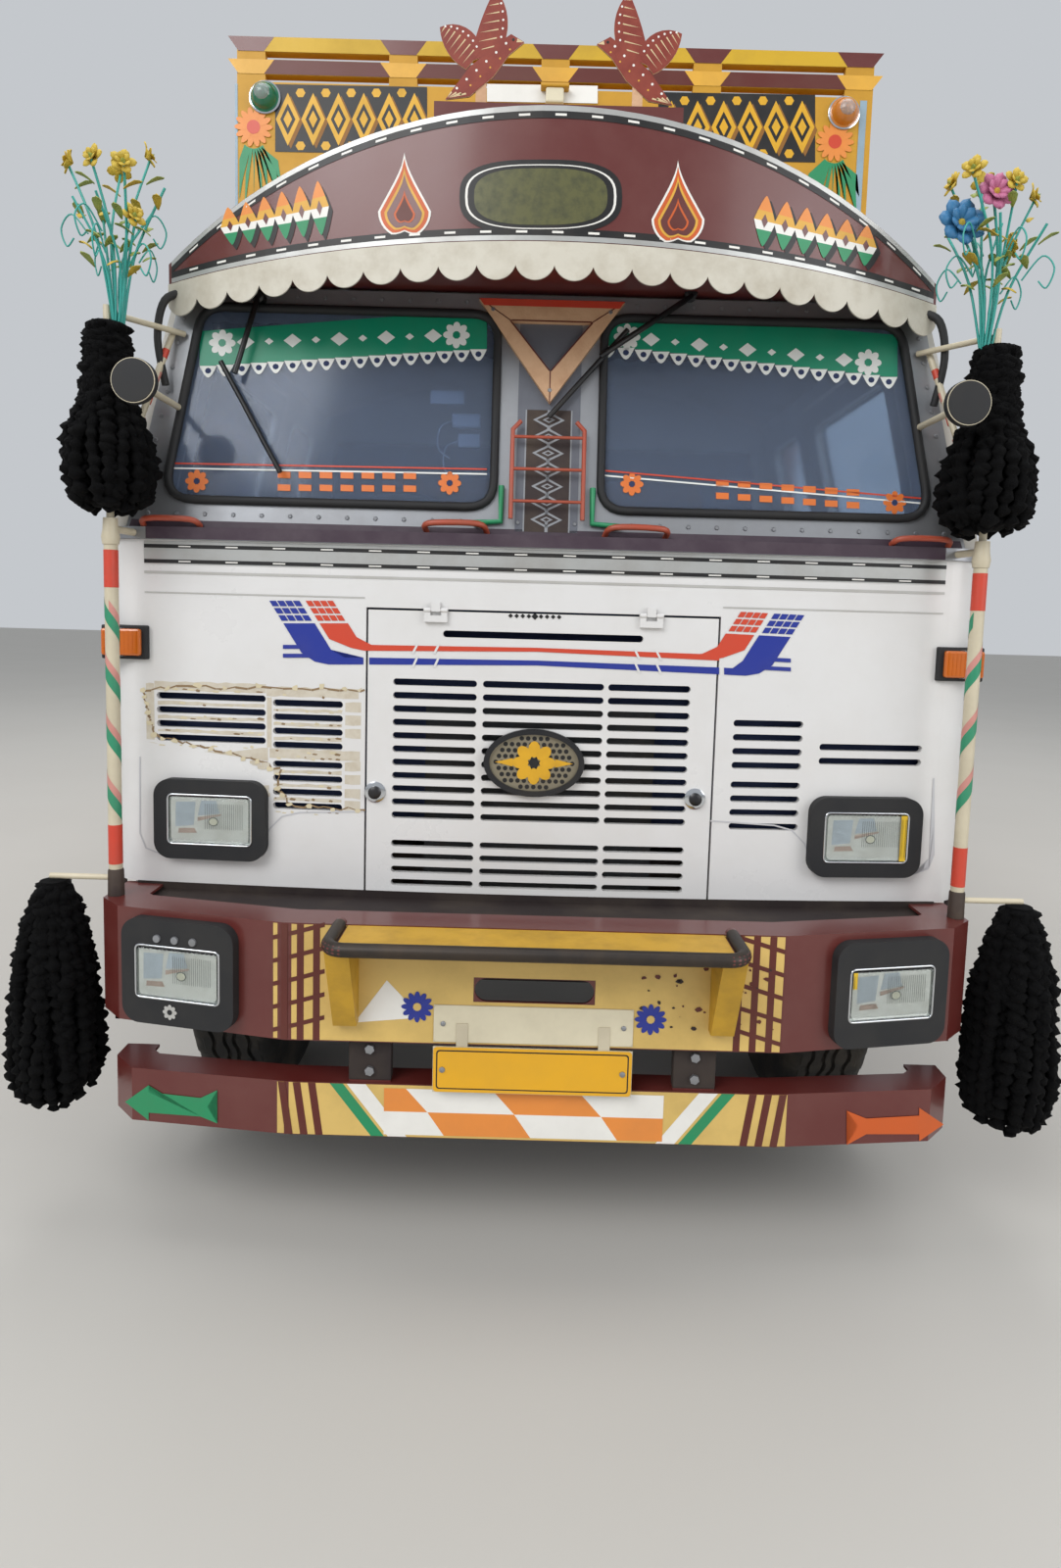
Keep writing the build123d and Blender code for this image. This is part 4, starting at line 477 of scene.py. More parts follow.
visor_shapes = []
for edge, off, width, long_way, gap, mat, ground in (
    (visor_top, -0.001, 0.013, 0.0, 3.0, TRIM, TRIM), (visor_top, -0.014, 0.017, 0.028, 0.062, CHALK, BLACK),
    (visor_foot, 0.047, 0.017, 0.028, 0.062, CHALK, BLACK), (visor_foot, 0.030, 0.012, 0.0, 3.0, TRIM, TRIM),
):
    visor_shapes += dashes(lambda x: edge(x) + off, width, long_way, gap, mat, ground, 0, -1.06, 1.06)
for corners, shadow in (
    (((222, 215), (332, 183), (336, 239), (227, 251)), (4, 5)),
    (((771, 197), (894, 233), (891, 273), (766, 249)), (4, 5)),
):
    for mat, layer, block in lozenge_row(corners, 6, shadow):
        visor_shapes.append((mat, layer, outline_of(block, visor_at)))


def drop_shape(u, v, half, rise, grow):
    """A drop with a pointed tip and a two-lobed foot, in photo pixels."""
    points = []
    for i in range(36):
        a = -pi / 2 + 2 * pi * i / 36
        ca, sa = cos(a), sin(a)
        du = half * grow * ca * (1.0 if sa < 0 else (1 - sa) ** 1.15)
        dv = rise * grow * (sa * (1 - 0.25 * max(0, 1 - abs(ca) / 0.5)) if sa < 0 else sa * 2.25)
        points.append((u + du, v - dv))
    return points


for u, v in ((413, 216), (692, 224)):
    for mat, grow, layer in (
        (CHALK, 1.0, 0), (ORANGE, 0.91, 1), (YELLOW, 0.76, 2), (MAROON, 0.66, 3), (ORANGE, 0.40, 4),
        (BROWN, 0.32, 5)
    ):
        drop = drop_shape(u, v + 4 * (1 - grow), 27, 27, grow)
        visor_shapes.append((mat, layer, outline_of(drop, visor_at)))
for mat, layer, grow in ((BLACK, 0, 1.0), (CHALK, 1, 0.93), (BLACK, 2, 0.90), (OLIVE, 3, 0.82)):
    outline = []
    for i in range(48):
        a = 2 * pi * i / 48
        ca, sa = cos(a), sin(a)
        du = 83 * (abs(ca) ** 0.7) * (1 if ca > 0 else -1)
        dv = 38 * (abs(sa) ** 0.7) * (1 if sa > 0 else -1)
        grow_v = grow if grow == 1 else grow - 0.06
        outline.append((552 + du * grow, 201 + dv * grow_v))
    visor_shapes.append((mat, layer, outline_of(outline, visor_at)))
painted("visor_painting", visor_at, visor_shapes)


# Carrier board: black sign fields with yellow lozenges, sunflowers with leaf rays, blue side strips
carrier_shapes = []


def on_carrier(points):
    return outline_of(points, carrier_at)


for u0, u1, v0, v1 in ((281, 436, 86, 158), (672, 832, 94, 166)):
    carrier_shapes.append((BLACK, 0, on_carrier([(u0, v0), (u1, v0 + 3), (u1, v1), (u0, v1 - 3)])))
    count = 6
    wide = (u1 - u0) / count
    middle = (v0 + v1) / 2
    for i in range(count):
        u = u0 + (i + 0.5) * wide
        for share, half_v, off, mat, layer in (
            (0.47, 27, 3, SIGN_SHADE, 1), (0.47, 27, 0, GOLD, 2),
            (0.30, 16, 0, BLACK, 3), (0.17, 9, 0, GOLD, 4),
        ):
            tall = lozenge(u + off, middle + off, share * wide, half_v)
            carrier_shapes.append((mat, layer, on_carrier(tall)))
        for v in (v0 + 9, v1 - 9):
            dot = [(u - wide / 2 + 5 * cos(k * pi / 3), v + 5 * sin(k * pi / 3)) for k in range(6)]
            if i:
                carrier_shapes.append((GOLD, 1, on_carrier(dot)))
for u, v in ((259, 130), (852, 145)):
    x, z = seen(u, v, carrier_at)
    carrier_shapes += flower((x, z), 0.075, 14, BRIGHT_ORANGE, RED, 6)
    for i in range(9):
        a = radians(230 + i * 10)
        reach = 0.24 + 0.05 * (i % 2)
        ray = (
            (0.05 * cos(a - 0.1), -0.03 + 0.05 * sin(a - 0.1)),
            (reach * cos(a) * 0.62, -0.02 + reach * sin(a) * 0.55),
            (reach * cos(a) * 0.7, -0.02 + reach * sin(a)),
            (0.05 * cos(a + 0.1), -0.03 + 0.05 * sin(a + 0.1)),
        )
        carrier_shapes.append((GREEN, 1 + i % 4, [(max(-1.232, min(1.232, x + c)), z + d) for c, d in ray]))
for u0, u1 in ((233, 240), (877, 884)):
    x0 = seen(u0, 120, carrier_at)[0]
    x1 = seen(u1, 120, carrier_at)[0]
    x0, x1 = max(x0, -1.238), min(x1, 1.238)
    carrier_shapes.append((SKY, 1, rectangle(x0, 3.09, x1, 3.79)))
carrier_shapes.append((CHALK, 5, on_carrier([(497, 86), (610, 88), (610, 106), (497, 104)])))
painted("carrier_painting", carrier_at, carrier_shapes, pitch=0.5)

# Carrier rails: the yellow upper rail and the dark red lower one, with sloping bands on both
rail_shapes = []
for level, (low, mat) in enumerate(((3.828, BROWN), (3.911, CARRIER_RAIL))):
    rail_shapes.append((mat, 0, rectangle(-1.239, low + 0.001, 1.239, low + 0.054)))
    for i in range(5):
        x = -1.24 + 0.055 + i * (2.48 - 0.11) / 4
        other = MAROON if level else YELLOW
        high, foot = low + 0.054, low + 0.001
        rail_shapes.append(
            (other, 1, [(x - 0.09, high), (x + 0.09, high), (x + 0.05, foot), (x - 0.05, foot)])
        )
painted("rail_painting", carrier_at, rail_shapes, pitch=0.6)

# Upper bumper: yellow middle, crossed brown lines at its ends, a pale triangle and two rosettes
bumper_shapes = []


def on_bumper(points):
    return outline_of(points, bumper_at)


x_left = seen(279, 980, bumper_at)[0]
x_right = seen(800, 990, bumper_at)[0]
slot_half, slot_low, slot_top = 0.158, 0.752, 0.818
bumper_low, bumper_top = 0.638, 0.947
for corners in (
    (x_left, bumper_low, -slot_half, bumper_top), (slot_half, bumper_low, x_right, bumper_top),
    (-slot_half, bumper_low, slot_half, slot_low), (-slot_half, slot_top, slot_half, bumper_top),
):
    bumper_shapes.append((BUMPER_YELLOW, 0, rectangle(*corners)))
for edge, way in ((x_left, 1), (x_right, -1)):
    for i in range(3):
        x = edge + way * (0.03 + i * 0.042)
        bumper_shapes.append((BROWN, 1, rectangle(x - 0.009, bumper_low, x + 0.009, bumper_top)))
    for i in range(5):
        z = 0.66 + i * 0.062
        a, b = edge, edge + way * 0.135
        bumper_shapes.append((BROWN, 2, [(a, z - 0.006), (b, z + 0.034), (b, z + 0.046), (a, z + 0.006)]))
bumper_shapes.append((CHALK, 2, on_bumper([(362, 1043), (395, 1000), (431, 1038)])))
for u, v in ((426, 1027), (664, 1040)):
    bumper_shapes += flower(seen(u, v, bumper_at), 0.042, 12, BLUE, BUMPER_YELLOW, 4, inner=0.25)
painted("bumper_painting", bumper_at, bumper_shapes)

# Lower bar: yellow middle with slanting lines, orange and white slanted blocks, an arrow at each end
bar_shapes = []


def on_bar(points):
    return outline_of(points, low_bar_at)


a = seen(283, 1120, low_bar_at)[0]
b = seen(803, 1130, low_bar_at)[0]
low, top = 0.367, 0.510
bar_shapes.append((BUMPER_YELLOW, 0, rectangle(a, low, b, top)))
for edge, way in ((a, 1), (b, -1)):
    for i in range(3):
        x = edge + way * (0.012 + i * 0.04)
        slant = way * 0.02
        bar_shapes.append(
            (BROWN, 1, [(x - 0.01 + slant, low), (x + 0.01 + slant, low), (x + 0.01, top), (x - 0.01, top)])
        )
    for mat, start, wide in ((GREEN, 0.14, 0.035), (CHALK, 0.185, 0.05)):
        x = edge + way * start
        slant = way * 0.11
        bar_shapes.append(
            (mat, 1, [(x + slant, low), (x + slant + way * wide, low), (x + way * wide, top), (x, top)])
        )
c = seen(392, 1125, low_bar_at)[0]
d = seen(677, 1130, low_bar_at)[0]
row_low, row_mid, row_top = low + 0.006, low + 0.07, low + 0.134
# Shares of the field where the slanting joints cross its top, middle and foot
joints = ((0.0, 0.078, 0.389, 0.70, 1.0), (0.0, 0.156, 0.467, 0.778, 1.0), (0.0, 0.216, 0.527, 0.838, 1.0))
for row, (z1, z0) in enumerate(((row_top, row_mid), (row_mid, row_low))):
    for i in range(4):
        over = [c + (d - c) * joints[row][i + k] for k in (0, 1)]
        under = [c + (d - c) * joints[row + 1][i + k] for k in (0, 1)]
        mat = CHALK if (i + row) % 2 else BRIGHT_ORANGE
        bar_shapes.append((mat, 2, [(over[0], z1), (over[1], z1), (under[1], z0), (under[0], z0)]))
for points, mat in (
    (
        [
            (128, 1124), (152, 1107), (152, 1114), (205, 1120), (222, 1112), (212, 1129), (222, 1146),
            (205, 1139), (152, 1135), (152, 1143)
        ],
        GREEN
    ),
    (
        [
            (963, 1147), (938, 1164), (938, 1157), (884, 1157), (864, 1168), (876, 1149), (864, 1133),
            (884, 1141), (938, 1138), (938, 1130)
        ],
        ORANGE
    ),
):
    bar_shapes.append((mat, 2, on_bar(points)))
painted("low_bar_painting", low_bar_at, bar_shapes)


# Front panel: beading under the ledge, striped decals, a row of diamonds, and lines of painted shade along
# creases and pressed lines
face_shapes = []
flap_shapes = []


def on_face(points):
    return outline_of(points, face_at)


BAND_HALF, FLAP_EDGE = 1.13, 0.4895
face_shapes.append((TRIM, 0, rectangle(-BAND_HALF, 1.872, BAND_HALF, 1.936)))
for z in (1.927, 1.885):
    face_shapes += dashes(lambda x: z, 0.0105, 0.035, 0.10, CHALK, BLACK, 1, -BAND_HALF, BAND_HALF)
face_shapes.append((FAINT, 0, rectangle(-BAND_HALF, 1.845, BAND_HALF, 1.852)))


def split_at_flap(mat, layer, outline):
    """Puts a shape on the panel or on the flap, by where its middle lies."""
    x = sum(p[0] for p in outline) / len(outline)
    z = sum(p[1] for p in outline) / len(outline)
    home = flap_shapes if abs(x) < FLAP_EDGE and z < 1.76 else face_shapes
    home.append((mat, layer, outline))


# Sloping stripes with checked tops, mirrored left and right about a line of the photo
MIRROR_U, TILT = 548, 0.027
CHECKS_TOP, CHECK_PITCH, CHECK_HIGH = 613, 7.4, 5.6
BAND_TOP, SLANT, STRIPE_END = 636, 0.62, 548.3


def mirrored(points, side):
    """Photo pixels as they are, or mirrored and tilted for the other side."""
    if side < 0:
        return points
    return [(2 * MIRROR_U - u, v + TILT * (2 * MIRROR_U - 2 * u)) for u, v in points]


def sweep(side, u_top, wide, v_low, mat):
    """A slanted band, its top cut in checks, that runs down and inward and turns into a level stripe."""
    def add(mat, layer, points):
        split_at_flap(mat, layer, on_face(mirrored(points, side)))

    for row in range(3):
        v0 = CHECKS_TOP + row * CHECK_PITCH
        v1 = v0 + CHECK_HIGH
        for k in range(4):
            a = u_top + SLANT * (v0 - CHECKS_TOP) + k * wide / 4
            b = a + wide / 4 * 0.84
            add(mat, 1, [(a, v0), (b, v0), (b + SLANT * CHECK_HIGH, v1), (a + SLANT * CHECK_HIGH, v1)])
    v0 = BAND_TOP
    v2, v3 = v_low
    a = u_top + SLANT * (v0 - CHECKS_TOP)
    b = a + wide
    out_line = [(a, v0), (a + SLANT * (v3 - 12 - v0), v3 - 12), (a + 32, v3 - 3), (a + 46, v3)]
    turn_to = max(371 if side < 0 else 357, b + 26)
    outline = [(b, v0), (b + SLANT * (v2 - 8 - v0), v2 - 8), (b + 24, v2), (turn_to, v2), (turn_to, v3)]
    add(mat, 1, outline + out_line[::-1])
    flap_from = 377 if side < 0 else 362
    add(mat, 1, [(flap_from, v2), (STRIPE_END, v2 + 3), (STRIPE_END, v3 + 1), (flap_from, v3)])
    for u in (425, 447):
        add(WHITE, 2, [(u, v2 - 1), (u + 2.5, v2 - 1), (u - 2.5, v3 + 3), (u - 5, v3 + 3)])


for side in (-1, 1):
    sweep(side, 275, 32, (671, 678), BLUE)
    sweep(side, 312, 29, (658, 664), RED)
    # Two short blue bars that end the stripe outward
    for v0, v1, far in ((658, 662, 305), (667, 671, 316)):
        split_at_flap(BLUE, 3, on_face(mirrored([(289, v0), (far, v0), (far + 3, v1), (289, v1)], side)))
# Row of small diamonds above the top slot
for i in range(-4, 5):
    u, v = 546 + i * 6.2, 629 + i * 0.17
    s = 3.6 if i == 0 else 2.4
    flap_shapes.append((BLACK, 1, on_face([(u - s, v), (u, v + s), (u + s, v), (u, v - s)])))
# Two faint plain lines of painted shade where creases run across the panel
face_shapes += [(FAINT, 0, rectangle(x, 1.790, x + 0.63, 1.794)) for x in (-1.13, 0.5)]
# Painted shade along the pressed line that runs round each upper lamp's recess and on to the flap
PRESSED_SHADE = finish("pressed_line_shade", "#bfbfc2", rough=0.35, grime=0.1)
press_path = (
    (143, 772), (143, 850), (149, 865), (166, 872), (254, 874), (267, 866), (275, 846), (288, 833),
    (306, 829), (371, 828)
)
for side in (-1, 1):
    middle_line = [Vector(q) for q in on_face(mirrored(press_path, side))]
    edges = ([], [])
    for i, q in enumerate(middle_line):
        run = middle_line[min(i + 1, len(middle_line) - 1)] - middle_line[max(i - 1, 0)]
        off = Vector((-run.y, run.x)).normalized() * 0.0022
        edges[0].append(tuple(q + off))
        edges[1].append(tuple(q - off))
    face_shapes.append((PRESSED_SHADE, 0, edges[0] + edges[1][::-1]))
painted("face_painting", face_at, face_shapes)
painted("flap_painting", face_at, flap_shapes, body="flap")


BLOCK_FACES = ((0, 1, 3, 2), (4, 6, 7, 5), (0, 4, 5, 1), (2, 3, 7, 6), (0, 2, 6, 4), (1, 5, 7, 3))


def box_mesh(name, low, high, mat, bevel):
    """A block with rounded edges."""
    corners = [(x, y, z) for x in (low[0], high[0]) for y in (low[1], high[1]) for z in (low[2], high[2])]
    obj = mesh_object(name, corners, BLOCK_FACES, mat)
    mod = obj.modifiers.new("round", "BEVEL")
    mod.width = bevel
    mod.segments = 2
    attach(obj, "truck")


def rod(name, points, radius, mat, body="truck", sides=12, closed=False):
    """A round bar along a line of points."""
    curve = bpy.data.curves.new(name, "CURVE")
    curve.dimensions = "3D"
    curve.bevel_depth = radius
    curve.bevel_resolution = max(1, sides // 4 - 1)
    curve.use_fill_caps = True
    line = curve.splines.new("POLY")
    line.points.add(len(points) - 1)
    for point, place in zip(line.points, points):
        point.co = (*place, 1)
    line.use_cyclic_u = closed
    curve.materials.append(mat)
    add_object(name, curve, body)


def smooth_line(points, steps=8):
    """A rounded line through points."""
    result = []
    pts = [Vector(p) for p in points]
    for i in range(len(pts) - 1):
        p0 = pts[max(i - 1, 0)]
        p1, p2 = pts[i], pts[i + 1]
        p3 = pts[min(i + 2, len(pts) - 1)]
        for k in range(steps):
            t = k / steps
            result.append(0.5 * ((2 * p1) + (p2 - p0) * t + (2 * p0 - 5 * p1 + 4 * p2 - p3) * t * t
                                 + (3 * p1 - p0 - 3 * p2 + p3) * t ** 3))
    result.append(pts[-1])
    return result


def disc_stack(name, centre, axis, rings, mat, body="truck", sides=32):
    """A turned shape: rings of (distance along the axis, radius) round a centre."""
    axis = Vector(axis).normalized()
    side = axis.orthogonal().normalized()
    up = axis.cross(side)
    verts = []
    for along, radius in rings:
        for i in range(sides):
            a = 2 * pi * i / sides
            verts.append(Vector(centre) + axis * along + (side * cos(a) + up * sin(a)) * radius)
    faces = []
    for r in range(len(rings) - 1):
        for i in range(sides):
            j = (i + 1) % sides
            faces.append((r * sides + i, r * sides + j, (r + 1) * sides + j, (r + 1) * sides + i))
    faces.append(tuple(reversed(range(sides))))
    faces.append(tuple((len(rings) - 1) * sides + i for i in range(sides)))
    obj = mesh_object(name, verts, faces, mat, smooth=True)
    obj.modifiers.new("edges", "EDGE_SPLIT").split_angle = radians(40)
    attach(obj, body)
    return obj


CHROME = finish("chrome", "#c9ccd0", rough=0.12, metal=1.0, grime=0.1)
# Oval badge with a black rim, a plate whose holes are painted as black dots of shade, and a plain gold flower
bx, bz = seen(545, 778, face_at)
by = face_at(bx, bz)
badge_black = finish("badge_black", "#15161a", rough=0.35, grime=0.1)
badge_net = finish("badge_net", "#8c8470", rough=0.4, metal=0.4, grime=0.4)


def oval_ring(name, middle, y, outer, inner, thick, mat, body):
    """A flat oval ring that faces forward."""
    count = 48
    verts, faces = [], []
    for size, depth in ((outer, 0), (inner, 0), (inner, thick), (outer, thick)):
        for i in range(count):
            a = 2 * pi * i / count
            verts.append((middle[0] + size[0] * cos(a), y - thick + depth, middle[1] + size[1] * sin(a)))
    for ring_a, ring_b in ((0, 1), (1, 2), (2, 3), (3, 0)):
        for i in range(count):
            j = (i + 1) % count
            faces.append((ring_a * count + i, ring_a * count + j, ring_b * count + j, ring_b * count + i))
    mesh_object(name, verts, faces, mat, body=body)


oval_ring("badge_rim", (bx, bz), by - 0.002, (0.142, 0.096), (0.126, 0.081), 0.016, badge_black, "flap")
# Black dots of painted shade where the plate's holes are
net = []
for row in range(-4, 5):
    for col in range(-7, 8):
        x = col * 0.018 + (row % 2) * 0.009
        z = row * 0.0172
        if (x / 0.118) ** 2 + (z / 0.073) ** 2 < 1:
            net.append((BLACK, 1, oval((bx + x, bz + z), (0.0068, 0.0068), 8)))
net.append((badge_net, 0, oval((bx, bz), (0.128, 0.083), 48)))
net += flower((bx, bz), 0.062, 8, GOLD, badge_black, 3, inner=0.22)
for way in (-1, 1):
    net.append(
        (GOLD, 2, [(bx + way * 0.11, bz), (bx + way * 0.06, bz - 0.012), (bx + way * 0.06, bz + 0.012)])
    )
painted("badge_plate", face_at, net, lift=0.008, body="flap", pitch=1.0)

# Round latches on the flap
for n, (u, v) in enumerate(((382, 808), (709, 815))):
    x, z = seen(u, v, face_at)
    x = max(-0.465, min(0.465, x))
    y = face_at(x, z)
    plate, knob = [(0, 0.03), (0.006, 0.03), (0.008, 0.025)], [(0, 0.018), (0.012, 0.018), (0.016, 0.012)]
    disc_stack(f"latch_{n}", (x, y + 0.002, z), (0, -1, 0), plate, CHROME, "flap")
    disc_stack(f"latch_knob_{n}", (x, y - 0.005, z), (0, -1, 0), knob, badge_black, "flap")

# Windscreen bands, lace and decals, on the outside of the glass
decals = []
lace = finish("lace_white", "#e6e8e4", rough=0.5, grime=0.03)
decal_orange = finish("decal_orange", "#d9722f", rough=0.4, grime=0.05)


def on_glass(points):
    return outline_of(points, glass_at)


def at_line(line, u):
    (u0, v0), (u1, v1) = line
    return v0 + (v1 - v0) * (u - u0) / (u1 - u0)


# Bands: top line, foot line, rosettes, lower line, lower rosettes
bands = (
    (((204, 338), (497, 316)), ((204, 374), (497, 356)), ((227, 350), (466, 342)), ((178, 472), (497, 478)),
     ((201, 491), (459, 493))),
    (((612, 315), (916, 342)), ((612, 352), (918, 386)), ((640, 344), (886, 370)), ((600, 478), (942, 508)),
     ((645, 494), (913, 513))),
)
for top_line, foot_line, roses, low_line, low_roses in bands:
    u0, u1 = top_line[0][0], top_line[1][0]
    corners = [
        (u0, at_line(top_line, u0)), (u1, at_line(top_line, u1)), (u1, at_line(foot_line, u1)),
        (u0, at_line(foot_line, u0))
    ]
    decals.append((TEAL, 0, on_glass(corners)))
    for u, v in roses:
        decals += flower(seen(u, v, glass_at), 0.038, 8, lace, TEAL, 1, inner=0.28)
    # A row of plain lozenges and dots between the rosettes
    span = roses[1][0] - roses[0][0]
    for i in range(9):
        u = roses[0][0] + span * (i + 1.0) / 10
        v = roses[0][1] + (roses[1][1] - roses[0][1]) * (i + 1.0) / 10
        s = 7 if i % 2 == 0 else 3.5
        decals.append((lace, 1, on_glass([(u - s * 1.3, v), (u, v + s), (u + s * 1.3, v), (u, v - s)])))
    # Lace: scallops with small holes, painted in the dark inside colour as a painted shade of the cab seen
    # through them
    count = 17
    for i in range(count):
        u = u0 + (u1 - u0) * (i + 0.5) / count
        v = at_line(foot_line, u)
        half = (u1 - u0) / count / 2
        scallop = [(u - half + half * 2 * k / 8, v + 12 * sin(pi * k / 8)) for k in range(1, 8)]
        drop = [(u - half, v)] + scallop + [(u + half, v)]
        decals.append((lace, 1, on_glass(drop)))
        decals.append((INSIDE_SHADE, 2, on_glass(oval((u, v + 5), (3.2, 3.0), 8))))
    for off, mat in ((0, RED), (5, lace)):
        (lu0, lv0), (lu1, lv1) = low_line
        line = [(lu0, lv0 + off), (lu1, lv1 + off), (lu1, lv1 + off + 1.6), (lu0, lv0 + off + 1.6)]
        decals.append((mat, 1, on_glass(line)))
    # Lower rosettes, their cores in the dark inside colour, a painted shade of the cab seen through the glass
    for u, v in low_roses:
        decals += flower(seen(u, v, glass_at), 0.033, 8, decal_orange, INSIDE_SHADE, 1, inner=0.25)
    # Plain orange dashes in place of the writing between the lower rosettes
    (ru0, rv0), (ru1, rv1) = low_roses
    for row in (-7, 6):
        for i in range(7):
            u = ru0 + (ru1 - ru0) * (0.32 + 0.58 * i / 7)
            v = rv0 + (rv1 - rv0) * (0.32 + 0.58 * i / 7) + row
            block = [(u, v - 3.5), (u + 13, v - 3), (u + 13, v + 3.5), (u, v + 3)]
            decals.append((decal_orange, 1, on_glass(block)))
painted("screen_decals", glass_at, decals, lift=0.001, pitch=0.4)

# Black rubber seals round the panes, rivets on the frame
pane_corners = [(0.150, 0.085), (1.078, 0.085), (0.985, 0.632), (0.150, 0.632)]
lean = sqrt(SCREEN_RISE**2 + SCREEN_LEAN**2)


def on_screen(x, up, lift=0.0):
    """A point on the leaning windscreen frame's front, up its slope, lifted off it."""
    normal = Vector((0, -SCREEN_RISE, SCREEN_LEAN)).normalized()
    share = up / lean
    place = Vector((x, FACE + SCREEN_BACK + SCREEN_LEAN * share, SCREEN_FOOT + SCREEN_RISE * share))
    return place + normal * lift


def rounded(corners, radius, steps=6):
    """A closed outline with rounded corners."""
    result = []
    n = len(corners)
    for i in range(n):
        here, before, after = Vector(corners[i]), Vector(corners[i - 1]), Vector(corners[(i + 1) % n])
        a, b = (before - here).normalized(), (after - here).normalized()
        half_angle = a.angle(b) / 2
        back = radius / tan(half_angle)
        start, end = here + a * back, here + b * back
        for k in range(steps + 1):
            t = k / steps
            result.append((start * (1 - t) ** 2 + here * 2 * t * (1 - t) + end * t ** 2))
    return result


for side in (-1, 1):
    outline = rounded([(side * x, up) for x, up in pane_corners], 0.075)
    points = [on_screen(p[0], p[1], 0.004) for p in outline]
    rod(f"screen_seal_{side}", points, 0.0125, BLACK_RUBBER, closed=True)
rivets = []
for i in range(29):
    x = -1.12 + i * 2.24 / 28
    rivets.append(on_screen(x, 0.045))
    if abs(x) < 1.01:
        rivets.append(on_screen(x, 0.668))
for i in range(1, 9):
    up = 0.045 + i * 0.069
    for side in (-1, 1):
        rivets.append(on_screen(side * (1.18 - 0.135 * up / lean - 0.025), up))
verts, faces = [], []
for spot in rivets:
    base = len(verts)
    for ring, out in ((0.007, 0.0), (0.0045, 0.004)):
        for k in range(8):
            a = 2 * pi * k / 8
            verts.append(spot + Vector((ring * cos(a), -out, ring * sin(a))))
    for k in range(8):
        faces.append((base + k, base + (k + 1) % 8, base + 8 + (k + 1) % 8, base + 8 + k))
    faces.append(tuple(base + 8 + k for k in range(8)))
mesh_object("screen_rivets", verts, faces, STEEL, body="truck")

# Wipers, each an arm and a blade, hung from the top of the frame
WIPER = finish("wiper_black", "#101114", rough=0.4, grime=0.1)


def screen_point(u, v, lift):
    """A point in front of the windscreens at a photo pixel."""
    x, z = seen(u, v, screen_at)
    return on_screen(x, (z - SCREEN_FOOT) / SCREEN_RISE * lean, lift)


for n, (top_uv, mid_uv, ends) in enumerate((
    ((266, 306), (243, 385), ((228, 372), (288, 484))),
    ((704, 303), (612, 368), ((640, 340), (560, 428))),
)):
    a, b = screen_point(*top_uv, 0.012), screen_point(*mid_uv, 0.03)
    rod(f"wiper_arm_{n}", [a, a + Vector((0, -0.02, -0.01)), b], 0.008, WIPER)
    pivot = [(0, 0.018), (0.03, 0.018), (0.036, 0.012)]
    disc_stack(f"wiper_pivot_{n}", a + Vector((0, 0.012, 0)), (0, -1, 0), pivot, WIPER)
    c, d = screen_point(*ends[0], 0.022), screen_point(*ends[1], 0.022)
    rod(f"wiper_blade_{n}", [c, d], 0.0075, WIPER)


# Corner poles: cream with slanting green and pink turns, red bands near both ends
POLE_X, POLE_Y = 1.170, FACE - 0.075
PINK = finish("pole_pink", "#c98a80", rough=0.45, grime=0.25)
POLE_RED = finish("pole_red", "#c8402c", rough=0.45, grime=0.2)
POLE_GREEN = finish("pole_green", "#2a8a66", rough=0.45, grime=0.2)


def wound_band(name, x, y, radius, low, high, pitch, wide, mat, way=1, steps=20):
    """A painted band that winds up a round pole."""
    verts, faces = [], []
    count = int((high - low) / pitch * steps)
    for i in range(count + 1):
        a = 2 * pi * i / steps * way
        z = low + pitch * i / steps
        for dz in (0.0, wide):
            verts.append((x + radius * cos(a), y + radius * sin(a), z + dz))
    for i in range(count):
        faces.append((2 * i, 2 * i + 2, 2 * i + 3, 2 * i + 1))
    mesh_object(name, verts, faces, mat, smooth=True, body="truck")


